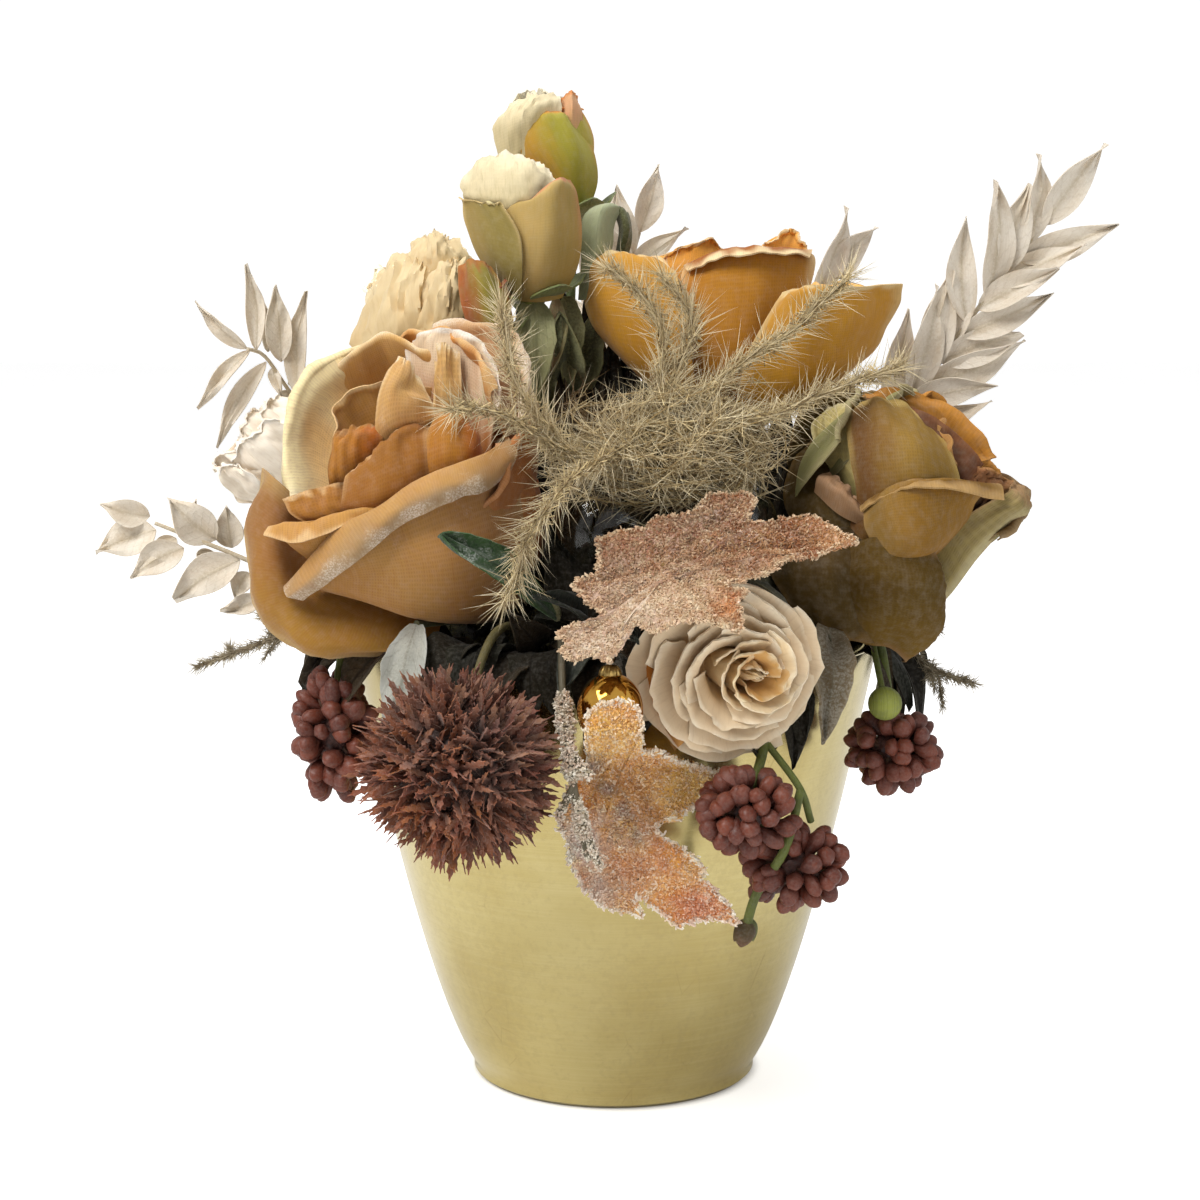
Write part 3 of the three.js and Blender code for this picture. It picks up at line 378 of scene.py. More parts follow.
def bead_blank(segments: int, rings: int, profile: Callable[[Array], Array]) -> Blank:
    """A ball along z from 0 to 1 whose radius at each height comes from a profile."""
    deselect()
    bpy.ops.mesh.primitive_uv_sphere_add(segments=segments, ring_count=rings, radius=1)
    blank = take_blank(bpy.context.object)
    height = (blank.points[:, 2] + 1) / 2
    flat = np.maximum(np.linalg.norm(blank.points[:, :2], axis=1), 1e-9)
    scale = np.where(flat > 1e-6, profile(height) / flat, 0)
    blank.points[:, :2] *= scale[:, None]
    blank.points[:, 2] = height
    return blank


def stamp(blank: Blank, places: Array, turns: Array, sizes: Array, tints: Array,
          tip_tints: Array | None = None) -> Patch:
    """Copies of a blank.

    Args:
        blank: the shape, its own z from 0 to 1 or round its origin.
        places: where each copy's origin goes.
        turns: a rotation for each copy.
        sizes: the size of each copy along its own x, y and z.
        tints: each copy's colour.
        tip_tints: each copy's colour at z = 1, where it differs.

    Returns:
        All the copies as one patch.
    """
    count, each = len(places), len(blank.points)
    local = blank.points[None] * sizes[:, None, :]
    points = np.einsum("nij,nkj->nki", turns, local) + places[:, None]
    faces = [(corners[None] + each * np.arange(count)[:, None, None]).reshape(-1, corners.shape[1])
             for corners in blank.faces]
    height = np.clip(blank.points[:, 2], 0, 1)[None, :, None]
    ends = tints if tip_tints is None else tip_tints
    tint = mix(tints[:, None], ends[:, None], height).reshape(-1, 3)
    thread = np.tile(np.stack([blank.points[:, 0], height[0, :, 0]], 1), (count, 1))
    return Patch(points.reshape(-1, 3), faces, tint, thread)


def slim(wide: Array | float, long: Array) -> Array:
    """The sizes of copies that are as deep as they are wide."""
    wide = np.broadcast_to(wide, long.shape)
    return np.stack([wide, wide, long], 1)


def turns_to(axes: Array, rolls: Array) -> Array:
    """A rotation for each axis that takes +z to it, after a roll about z."""
    z = unit(axes)
    helper = np.where(np.abs(z[:, 2:3]) < 0.9, UP, vec(1, 0, 0))
    x = unit(np.cross(helper, z))
    y = np.cross(z, x)
    c, s = np.cos(rolls)[:, None], np.sin(rolls)[:, None]
    return np.stack([c * x + s * y, c * y - s * x, z], 2)


def ring_quads(rings: int, sides: int, first: int = 0) -> Array:
    """Faces between rings of points that lie one after another from a first point."""
    i, k = np.meshgrid(np.arange(rings - 1), np.arange(sides), indexing="ij")
    a, b = first + i * sides + k, first + i * sides + (k + 1) % sides
    return np.stack([a, b, b + sides, a + sides], -1).reshape(-1, 4)


def tube(path: Array, radius: Array | float, tint: Array, sides: int = 8) -> Patch:
    """A round bar along a path, with closed ends."""
    _, side, lift = path_frames(path)
    count = len(path)
    radii = np.broadcast_to(radius, (count,))[:, None, None]
    angle = np.linspace(0, 2 * math.pi, sides, endpoint=False)
    ring = np.cos(angle)[None, :, None] * side[:, None] + np.sin(angle)[None, :, None] * lift[:, None]
    body = (path[:, None] + radii * ring).reshape(-1, 3)
    first, last = count * sides, count * sides + 1
    k = np.arange(sides)
    low = np.stack([np.full(sides, first), (k + 1) % sides, k], 1)
    top = (count - 1) * sides
    high = np.stack([np.full(sides, last), top + k, top + (k + 1) % sides], 1)
    points = np.vstack([body, path[:1], path[-1:]])
    reach = reach_along(path)
    thread = np.stack([np.tile(np.arange(sides) / sides, count), np.repeat(reach, sides)], 1)
    thread = np.vstack([thread, [[0, 0], [0, reach[-1]]]])
    tint = np.asarray(tint)
    if tint.ndim == 2:
        tint = np.vstack([np.repeat(tint, sides, 0), tint[:1], tint[-1:]])
    return Patch(points, [ring_quads(count, sides), low, high], tint, thread)


def make_piece(name: str, patch: Patch, material: Material, thickness: float = 0.0,
               smooth: float = 50.0) -> Piece:
    """Makes a piece's mesh in metres, with its paint, its wall and its smooth shading.

    Args:
        name: the piece's name.
        patch: its points, faces and paint.
        material: its finish.
        thickness: the wall that an open sheet gets on its inner side; 0 for a closed shape.
        smooth: faces that meet at less than this many degrees are shaded as one.

    Returns:
        The new object, at the origin.
    """
    mesh = bpy.data.meshes.new(name)
    loops = np.concatenate([corners.ravel() for corners in patch.faces])
    sizes = np.concatenate([np.full(len(corners), corners.shape[1]) for corners in patch.faces])
    count = len(patch.points)
    mesh.vertices.add(count)
    mesh.vertices.foreach_set("co", (patch.points * MM).ravel().astype(np.float32))
    mesh.loops.add(len(loops))
    mesh.loops.foreach_set("vertex_index", loops.astype(np.int32))
    mesh.polygons.add(len(sizes))
    mesh.polygons.foreach_set("loop_start", (np.cumsum(sizes) - sizes).astype(np.int32))
    mesh.update(calc_edges=True)
    mesh.uv_layers.new(name="thread").data.foreach_set("uv", patch.thread[loops].ravel().astype(np.float32))
    mesh.color_attributes.new(name="tint", type="FLOAT_COLOR", domain="POINT")
    mesh.attributes.new(name="frost", type="FLOAT", domain="POINT")
    paint(mesh, patch.tint, patch.frost)
    mesh.materials.append(material)
    piece = bpy.data.objects.new(name, mesh)
    bpy.context.scene.collection.objects.link(piece)
    deselect()
    piece.select_set(True)
    bpy.context.view_layer.objects.active = piece
    if thickness:
        wall = piece.modifiers.new("wall", "SOLIDIFY")
        wall.thickness = thickness * MM
        wall.offset = -1
        bpy.ops.object.modifier_apply(modifier=wall.name)
        paint(piece.data, np.vstack([patch.tint, patch.back]), np.tile(patch.frost, 2))
    bpy.ops.object.shade_smooth_by_angle(angle=math.radians(smooth))
    return piece


def paint(mesh: bpy.types.Mesh, tint: Array, frost: Array) -> None:
    """Writes the tint and the frost of each point."""
    whole = np.concatenate([tint, np.ones((len(tint), 1))], 1).astype(np.float32)
    mesh.color_attributes["tint"].data.foreach_set("color", whole.ravel())
    mesh.attributes["frost"].data.foreach_set("value", np.asarray(frost, np.float32))


def lathe(name: str, profile: Sequence[tuple[float, float]], sides: int,
          material: Material) -> Piece:
    """A turned body: a filled circle, extruded and scaled along a profile.

    Args:
        name: the piece's name.
        profile: radius and height of each ring, from the middle of one end to the middle of the other.
        sides: how many sides the circle has.
        material: its finish.

    Returns:
        The new closed body, upright at the origin.
    """
    deselect()
    radius, height = profile[0]
    bpy.ops.mesh.primitive_circle_add(vertices=sides, radius=radius * MM, fill_type="NGON",
                                      location=(0, 0, height * MM))
    piece = bpy.context.object
    bpy.ops.object.transform_apply(location=True, rotation=True, scale=True)
    bpy.ops.object.mode_set(mode="EDIT")
    bpy.ops.mesh.select_all(action="SELECT")
    for wide, high in profile[1:]:
        bpy.ops.mesh.extrude_region_move(TRANSFORM_OT_translate={"value": (0, 0, (high - height) * MM)})
        bpy.ops.transform.resize(value=(wide / radius, wide / radius, 1), center_override=(0, 0, high * MM))
        radius, height = wide, high
    bpy.ops.mesh.select_all(action="SELECT")
    bpy.ops.mesh.normals_make_consistent(inside=False)
    bpy.ops.object.mode_set(mode="OBJECT")
    piece.name = name
    piece.data.name = name
    piece.data.materials.append(material)
    bpy.ops.object.shade_smooth_by_angle(angle=math.radians(40))
    return piece


def set_down(piece: Piece, slot: str, *nodes: str) -> Piece:
    """Ties a piece to the object: it rides on the body and stands for its nodes."""
    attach(piece, "root")
    if nodes:
        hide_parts(*nodes)
    LOG.info("%s: %d faces", piece.name, len(piece.data.polygons))
    return piece


# ---------- Finishes ----------


class Nodes:
    """Adds shader nodes to one tree, and links them as they are added."""

    def __init__(self, tree: bpy.types.NodeTree) -> None:
        """Keeps the tree."""
        self.tree = tree

    def feed(self, socket: Socket, value: object) -> None:
        """Links an output to a socket, or sets the socket's own value."""
        if isinstance(value, Socket):
            self.tree.links.new(value, socket)
        else:
            socket.default_value = value

    def add(self, kind: str, inputs: dict | None = None, **settings: object) -> bpy.types.Node:
        """Adds a node with its settings and inputs."""
        node = self.tree.nodes.new(f"ShaderNode{kind}")
        for name, value in settings.items():
            setattr(node, name, value)
        for key, value in (inputs or {}).items():
            self.feed(node.inputs[key], value)
        return node

    def math(self, operation: str, a: object, b: object = 0.0) -> Socket:
        """The result of a Math node."""
        return self.add("Math", {0: a, 1: b, 2: 0.0}, operation=operation).outputs[0]

    def times(self, a: object, b: object) -> Socket:
        """Two values multiplied."""
        return self.math("MULTIPLY", a, b)

    def plus(self, a: object, b: object) -> Socket:
        """Two values added."""
        return self.math("ADD", a, b)

    def blend(self, share: object, a: object, b: object, mode: str = "MIX") -> Socket:
        """Two colours blended by a share."""
        node = self.add("Mix", {0: share, 6: a, 7: b}, data_type="RGBA", blend_type=mode)
        return node.outputs[2]

    def rise(self, value: object, low: float, high: float, start: object = 0.0,
             end: object = 1.0) -> Socket:
        """A value's smooth rise from start, at low, to end, at high."""
        node = self.add("MapRange", {0: value, 1: low, 2: high, 3: start, 4: end}, interpolation_type="SMOOTHSTEP")
        return node.outputs[0]

    def noise(self, place: object, scale: object, detail: float = 3.0,
              roughness: float = 0.5) -> Socket:
        """A noise from 0 to 1 at a place."""
        fields = {"Vector": place, "Scale": scale, "Detail": detail, "Roughness": roughness}
        return self.add("TexNoise", fields).outputs["Fac"]

    def stretch(self, place: object, scale: Spot) -> Socket:
        """A place, scaled along each axis."""
        return self.add("Mapping", {"Vector": place, "Scale": scale}).outputs[0]

    def object_place(self) -> Socket:
        """The Object coordinates."""
        return self.add("TexCoord").outputs["Object"]

    def thread(self) -> Socket:
        """The piece's own UV map."""
        return self.add("UVMap", uv_map="thread").outputs[0]

    def painted(self, name: str, output: str) -> Socket:
        """An attribute that was painted on the points."""
        return self.add("Attribute", attribute_name=name).outputs[output]

    def group(self, effect: "Effects", **inputs: object) -> Sequence[Socket]:
        """Places an effect, and gives its outputs."""
        node = self.tree.nodes.new("ShaderNodeGroup")
        node.node_tree = effect.value
        for name, value in inputs.items():
            self.feed(node.inputs[name], value)
        return node.outputs


class Effect:
    """A shader node group that several finishes share."""

    def __init__(self, name: str, second: str, **inputs: object) -> None:
        """Makes the group's sockets.

        Args:
            name: the group's name.
            second: what it puts out beside its colour.
            inputs: the usual value of each input beside its colour, a number or a colour.
        """
        self.value = bpy.data.node_groups.new(name, "ShaderNodeTree")
        for key, usual in {"Color": (0.5, 0.5, 0.5, 1), **inputs}.items():
            kind = "NodeSocketColor" if isinstance(usual, tuple) else "NodeSocketFloat"
            self.value.interface.new_socket(key, in_out="INPUT", socket_type=kind).default_value = usual
        for key, kind in (("Color", "NodeSocketColor"), (second, "NodeSocketFloat")):
            self.value.interface.new_socket(key, in_out="OUTPUT", socket_type=kind)
        self.nodes = Nodes(self.value)
        self.inputs = self.value.nodes.new("NodeGroupInput").outputs
        self.ends = self.value.nodes.new("NodeGroupOutput").inputs

    def give(self, **outputs: Socket) -> None:
        """Links what the group puts out."""
        for name, socket in outputs.items():
            self.nodes.feed(self.ends[name], socket)


def mottle_effect() -> Effect:
    """Uneven dye: a colour that drifts darker, lighter and warmer over the piece."""
    effect = Effect("mottle", "Mask", Dark=(0.3, 0.2, 0.1, 1), Scale=60.0, Strength=0.4)
    n, given = effect.nodes, effect.inputs
    place = n.object_place()
    wide = n.noise(place, given["Scale"], 4, 0.6)
    fine = n.noise(place, n.times(given["Scale"], 9.0), 3, 0.6)
    mask = n.rise(n.plus(n.times(wide, 0.72), n.times(fine, 0.28)), 0.35, 0.68)
    shaded = n.blend(n.times(mask, given["Strength"]), given["Color"], given["Dark"])
    lit = n.blend(n.times(n.rise(fine, 0.35, 0.8), 0.05), shaded, (1, 0.96, 0.86, 1))
    effect.give(Color=lit, Mask=mask)
    return effect


def weave_effect() -> Effect:
    """Woven threads that follow the cloth, and the lint on them."""
    effect = Effect("weave", "Height", Threads=1.6, Contrast=0.3)
    n, given = effect.nodes, effect.inputs
    cloth = n.add("SeparateXYZ", {0: n.thread()})
    pitch = n.times(given["Threads"], math.pi)
    warp = n.math("ABSOLUTE", n.math("SINE", n.times(cloth.outputs[0], pitch)))
    weft = n.math("ABSOLUTE", n.math("SINE", n.times(cloth.outputs[1], pitch)))
    slub = n.noise(n.stretch(n.thread(), (2.4, 0.5, 1)), 1.4, 3, 0.7)
    lint = n.noise(n.object_place(), 1900.0, 2, 0.7)
    height = n.plus(n.times(n.math("MAXIMUM", warp, weft), 0.5),
                    n.plus(n.times(slub, 0.3), n.times(lint, 0.5)))
    dark = n.blend(1.0, given["Color"], (0.62, 0.55, 0.5, 1), "MULTIPLY")
    closed = n.plus(n.math("MAXIMUM", warp, weft), n.times(slub, 0.2))
    gaps = n.times(n.rise(closed, 1.0, 0.72), given["Contrast"])
    effect.give(Color=n.blend(gaps, given["Color"], dark), Height=height)
    return effect


def frost_effect() -> Effect:
    """Patches of white glitter and loose specks, thickest where frost is painted."""
    effect = Effect("frost", "Mask", Frost=(0.85, 0.82, 0.8, 1), Patches=70.0)
    n, given = effect.nodes, effect.inputs
    place = n.object_place()
    grain = n.add("TexVoronoi", {"Vector": place, "Scale": 2100.0}).outputs["Distance"]
    patch = n.noise(place, given["Patches"], 4, 0.65)
    amount = n.painted("frost", "Fac")
    cover = n.times(n.rise(n.plus(patch, n.times(amount, 0.5)), 0.62, 0.84), amount)
    mask = n.times(cover, n.rise(grain, 0.75, 0.2, 0.15, 1.0))
    effect.give(Color=n.blend(mask, given["Color"], given["Frost"]), Mask=mask)
    return effect


def fibres_effect() -> Effect:
    """Fine streaks along a leaf, a petal or a stem."""
    effect = Effect("fibres", "Height", Streak=(0.3, 0.25, 0.2, 1), Across=14.0, Along=1.0, Strength=0.5)
    n, given = effect.nodes, effect.inputs
    sheet = n.add("SeparateXYZ", {0: n.thread()})
    place = n.add("CombineXYZ", {0: n.times(sheet.outputs[0], given["Across"]),
                                 1: n.times(sheet.outputs[1], given["Along"])}).outputs[0]
    streak = n.noise(place, 1.0, 4, 0.65)
    mask = n.times(n.rise(streak, 0.46, 0.72), given["Strength"])
    effect.give(Color=n.blend(mask, given["Color"], given["Streak"]), Height=streak)
    return effect


def veins_effect() -> Effect:
    """A leaf's midrib and side veins; the thread map holds -1 to 1 across and 0 to 1 along."""
    effect = Effect("veins", "Height", Vein=(0.3, 0.25, 0.2, 1), Pairs=9.0, Strength=0.5)
    n, given = effect.nodes, effect.inputs
    leaf = n.add("SeparateXYZ", {0: n.thread()})
    side = n.math("ABSOLUTE", leaf.outputs[0])
    slanted = n.math("SUBTRACT", leaf.outputs[1], n.times(side, 0.22))
    wobble = n.times(n.noise(n.thread(), 6.0, 2), 0.12)
    beat = n.math("FRACT", n.times(n.plus(slanted, wobble), given["Pairs"]))
    away = n.math("ABSOLUTE", n.math("SUBTRACT", beat, 0.5))
    rib = n.rise(side, 0.11, 0.02)
    mask = n.math("MAXIMUM", rib, n.times(n.rise(away, 0.11, 0.02), 0.6))
    effect.give(Color=n.blend(n.times(mask, given["Strength"]), given["Color"], given["Vein"]), Height=mask)
    return effect


def dust_effect() -> Effect:
    """Dust and small pale or dark specks."""
    effect = Effect("dust", "Mask", Dust=(0.6, 0.55, 0.5, 1), Scale=900.0, Cover=0.4)
    n, given = effect.nodes, effect.inputs
    place = n.object_place()
    specks = n.noise(place, given["Scale"], 4, 0.75)
    drift = n.noise(place, n.times(given["Scale"], 0.09), 3, 0.5)
    mask = n.times(n.rise(n.plus(specks, n.times(drift, 0.4)), 0.62, 0.86), given["Cover"])
    effect.give(Color=n.blend(mask, given["Color"], given["Dust"]), Mask=mask)
    return effect


class Effects(Enum):
    """The shared effects, each built once."""

    MOTTLE = mottle_effect().value
    WEAVE = weave_effect().value
    FROST = frost_effect().value
    FIBRES = fibres_effect().value
    VEINS = veins_effect().value
    DUST = dust_effect().value


class Finish(Nodes):
    """A material: one Principled shader with constants on its sockets and nodes for what varies."""

    def __init__(self, name: str, **constants: float) -> None:
        """Makes the shader.

        Args:
            name: the material's name.
            constants: socket values, with spaces written as underscores.
        """
        self.material = bpy.data.materials.new(name)
        self.material.use_nodes = True
        super().__init__(self.material.node_tree)
        self.shader = self.tree.nodes["Principled BSDF"]
        self.colour: Socket | None = None
        for key, value in constants.items():
            self.shader.inputs[key.replace("_", " ")].default_value = value

    def layer(self, effect: Effects, **inputs: float | str) -> Socket:
        """Lays an effect over the colours so far, at first the painted ones.

        Args:
            effect: which effect.
            inputs: its numbers and display colours.

        Returns:
            Its second output, a mask or a height.
        """
        given = {key: rgba(value) if isinstance(value, str) else value for key, value in inputs.items()}
        base = self.painted("tint", "Color") if self.colour is None else self.colour
        self.colour, second = self.group(effect, Color=base, **given)
        return second

    def dress(self, tint: object, roughness: object, height: object = None, depth: float = 0.1,
              strength: float = 0.5) -> Material:
        """Links colour, roughness and bump.

        Args:
            tint: the base colour.
            roughness: the roughness.
            height: the bump's height, if it has any.
            depth: how deep the bump is, in millimetres.
            strength: how much of it is used.

        Returns:
            The material.
        """
        self.feed(self.shader.inputs["Base Color"], tint)
        self.feed(self.shader.inputs["Roughness"], roughness)
        if height is not None:
            bump = self.add("Bump", {"Height": height, "Distance": depth * MM, "Strength": strength})
            self.feed(self.shader.inputs["Normal"], bump.outputs[0])
        return self.material


def silk(name: str, dye: str, threads: float, contrast: float, frost: str = "DCD3CE",
         sheen: float = 0.1) -> Material:
    """Woven silk, painted on its petals, with uneven dye, lint and glitter."""
    f = Finish(name, Sheen_Weight=sheen, Sheen_Roughness=0.45, Specular_IOR_Level=0.2)
    f.layer(Effects.MOTTLE, Dark=dye, Scale=55.0, Strength=0.3)
    f.layer(Effects.FIBRES, Streak=dye, Across=1.5, Along=0.16, Strength=0.2)
    woven = f.layer(Effects.WEAVE, Threads=threads, Contrast=contrast)
    glitter = f.layer(Effects.FROST, Frost=frost, Patches=120.0)
    return f.dress(f.colour, f.rise(woven, 0.3, 1.2, 0.68, 0.86), f.plus(woven, f.times(glitter, 1.6)), 0.12, 0.55)


def paper_silk(name: str, dye: str) -> Material:
    """Thin papery cloth with fine streaks, faint stains and small dark cracks."""
    f = Finish(name, Sheen_Weight=0.1, Sheen_Roughness=0.5, Specular_IOR_Level=0.2)
    f.layer(Effects.MOTTLE, Dark=dye, Scale=70.0, Strength=0.22)
    streaks = f.layer(Effects.FIBRES, Streak="B08C5C", Across=1.6, Along=0.2, Strength=0.16)
    cracks = f.add("TexVoronoi", {"Vector": f.object_place(), "Scale": 95.0}, feature="DISTANCE_TO_EDGE")
    near = f.rise(f.noise(f.object_place(), 60.0, 3), 0.62, 0.7)
    crack = f.times(f.rise(cracks.outputs["Distance"], 0.03, 0.006), near)
    shown = f.blend(f.times(crack, 0.4), f.colour, rgba("7A5228"))
    lint = f.noise(f.object_place(), 1500.0, 3, 0.7)
    height = f.math("SUBTRACT", f.plus(f.times(streaks, 0.4), f.times(lint, 0.35)), crack)
    return f.dress(shown, f.rise(lint, 0.3, 0.7, 0.6, 0.8), height, 0.1, 0.5)


def dried_leaf(name: str, vein: str, dust: str, pairs: float, strength: float,
               shine: float = 0.3) -> Material:
    """A dried leaf, painted, with veins, fibres and dust."""
    f = Finish(name, Sheen_Weight=shine / 2, Specular_IOR_Level=shine)
    f.layer(Effects.MOTTLE, Dark=vein, Scale=110.0, Strength=0.22)
    fibres = f.layer(Effects.FIBRES, Streak=vein, Across=11.0, Along=1.3, Strength=0.3)
    veins = f.layer(Effects.VEINS, Vein=vein, Pairs=pairs, Strength=strength)
    dusty = f.layer(Effects.DUST, Dust=dust, Scale=1300.0, Cover=0.35)
    frosted = f.layer(Effects.FROST, Frost="E4E6E2", Patches=260.0)
    height = f.plus(fibres, f.plus(veins, f.times(frosted, 3.0)))
    return f.dress(f.colour, f.rise(dusty, 0, 0.35, 0.55, 0.8), height, 0.14, 0.6)


def layered(name: str, layers: Sequence[tuple[Effects, dict[str, float | str]]], rough: tuple[float, ...],
            bump: tuple[float, float], **constants: float) -> Material:
    """A painted finish under a few effects, the last of which sets its roughness and its bump.

    Args:
        name: the material's name.
        layers: each effect with its inputs.
        rough: the last effect's low and high value, and the roughness at each.
        bump: the bump's depth and strength.
        constants: the shader's constants.

    Returns:
        The material.
    """
    f = Finish(name, **constants)
    last = [f.layer(effect, **inputs) for effect, inputs in layers][-1]
    return f.dress(f.colour, f.rise(last, *rough), last, *bump)


def hair(name: str, streak: str) -> Material:
    """Dry needles, painted from root to tip, with uneven bleaching."""
    layers = ((Effects.MOTTLE, {"Dark": streak, "Scale": 90.0, "Strength": 0.22}),
              (Effects.FIBRES, {"Streak": streak, "Across": 2.0, "Along": 3.0, "Strength": 0.15}))
    return layered(name, layers, (0.3, 0.7, 0.55, 0.75), (0.05, 0.4), Specular_IOR_Level=0.3, Sheen_Weight=0.1)


def sugared(name: str, deep: str) -> Material:
    """A leaf under its grains, with fine crumbs between them."""
    layers = ((Effects.MOTTLE, {"Dark": deep, "Scale": 130.0, "Strength": 0.55}),
              (Effects.DUST, {"Dust": "E8C9B4", "Scale": 1700.0, "Cover": 0.6}))
    return layered(name, layers, (0, 0.6, 0.75, 0.55), (0.3, 0.7), Specular_IOR_Level=0.35, Sheen_Weight=0.2)


def green_bark(name: str, dark: str) -> Material:
    """Wrapped or woody stems, painted, with long streaks."""
    layers = ((Effects.MOTTLE, {"Dark": dark, "Scale": 150.0, "Strength": 0.45}),
              (Effects.FIBRES, {"Streak": dark, "Across": 22.0, "Along": 0.5, "Strength": 0.45}))
    return layered(name, layers, (0.3, 0.7, 0.5, 0.75), (0.15, 0.5), Specular_IOR_Level=0.3)


def dull_wire(name: str) -> Material:
    """Dull metal wire and caps, spotted with tarnish."""
    layers = ((Effects.DUST, {"Dust": "4A4236", "Scale": 900.0, "Cover": 0.7}),)
    return layered(name, layers, (0, 0.7, 0.3, 0.6), (0.05, 0.4), Metallic=1.0)


def moss(name: str) -> Material:
    """Dark foam and moss."""
    layers = ((Effects.MOTTLE, {"Dark": "17140C", "Scale": 130.0, "Strength": 0.7}),
              (Effects.DUST, {"Dust": "6A6238", "Scale": 700.0, "Cover": 0.5}))
    return layered(name, layers, (0, 0.5, 0.8, 0.95), (0.6, 0.8), Specular_IOR_Level=0.2)


def crystals(name: str) -> Material:
    """Sugar-like grains, painted, slightly clear and glittering."""
    f = Finish(name, Specular_IOR_Level=0.5)
    f.layer(Effects.MOTTLE, Dark="B4622C", Scale=420.0, Strength=0.4)
    glint = f.noise(f.object_place(), 2600.0, 2)
    return f.dress(f.colour, f.rise(glint, 0.4, 0.62, 0.25, 0.7), glint, 0.06, 0.3)


def bracts(name: str) -> Material:
    """Dry allium bracts, painted, with ribs and pale dust."""
    f = Finish(name, Specular_IOR_Level=0.35, Sheen_Weight=0.15)
    f.layer(Effects.MOTTLE, Dark="2E1410", Scale=120.0, Strength=0.45)
    ribs = f.layer(Effects.FIBRES, Streak="8C6A5C", Across=9.0, Along=1.0, Strength=0.35)
    f.layer(Effects.DUST, Dust="B09488", Scale=1500.0, Cover=0.3)
    return f.dress(f.colour, f.rise(ribs, 0.3, 0.7, 0.5, 0.8), ribs, 0.1, 0.5)


def dusty_berry(name: str) -> Material:
    """Matt red-brown berries with paler dust on them."""
    f = Finish(name, Specular_IOR_Level=0.35, Coat_Roughness=0.45)
    f.layer(Effects.MOTTLE, Dark="3A1514", Scale=160.0, Strength=0.5)
    dusty = f.layer(Effects.DUST, Dust="8A5A4C", Scale=1100.0, Cover=0.35)
    return f.dress(f.colour, f.rise(dusty, 0, 0.45, 0.42, 0.62), f.noise(f.object_place(), 900.0, 4, 0.6), 0.08, 0.5)


def brushed_gold(name: str) -> Material:
    """Pale brushed gold metal: level brush marks, soft clouds, scratches and finger dust."""
    f = Finish(name, Specular_IOR_Level=0.5)
    place = f.object_place()
    marks = f.noise(f.stretch(place, (6.0, 6.0, 620.0)), 3.0, 5, 0.7)
    clouds = f.noise(place, 22.0, 4, 0.6)
    scored = f.add("TexVoronoi", {"Vector": f.stretch(place, (60.0, 60.0, 14.0)), "Scale": 3.0},
                   feature="DISTANCE_TO_EDGE").outputs["Distance"]
    rare = f.rise(f.noise(place, 48.0, 2), 0.56, 0.66)
    scratch = f.times(f.rise(scored, 0.012, 0.002), rare)
    gold = f.blend(f.rise(clouds, 0.35, 0.7), rgba("C6B780"), rgba("B8A66C"))
    f.colour = f.blend(f.times(f.rise(marks, 0.4, 0.7), 0.1), gold, rgba("F0E6C0"))
    dull = f.layer(Effects.DUST, Dust="B9A672", Scale=420.0, Cover=0.25)
    shown = f.blend(f.times(scratch, 0.5), f.colour, rgba("9C8550"))
    f.feed(f.shader.inputs["Metallic"], f.rise(dull, 0.0, 0.5, 1.0, 0.88))
    rough = f.plus(f.rise(clouds, 0.3, 0.75, 0.14, 0.24), f.times(marks, 0.05))
    return f.dress(shown, rough, f.math("SUBTRACT", f.times(marks, 0.3), scratch), 0.003, 0.22)


def mirror_gold(name: str) -> Material:
    """Gold mirror lacquer with faint smudges."""
    f = Finish(name, Metallic=1.0)
    smudge = f.noise(f.object_place(), 150.0, 4, 0.6)
    gold = f.blend(f.rise(smudge, 0.4, 0.7), rgba("D8A64C"), rgba("C08A34"))
    return f.dress(gold, f.rise(smudge, 0.45, 0.75, 0.04, 0.16), smudge, 0.05, 0.15)


def clear_glass(name: str) -> Material:
    """Thin clear glass with faint smears."""
    f = Finish(name, Metallic=0.0, Transmission_Weight=1.0, IOR=1.3)
    smear = f.noise(f.object_place(), 120.0, 4, 0.6)
    tinted = f.blend(f.rise(smear, 0.4, 0.7), (0.97, 0.985, 0.975, 1), (0.9, 0.94, 0.92, 1))
    return f.dress(tinted, f.rise(smear, 0.5, 0.8, 0.01, 0.08), smear, 0.04, 0.1)


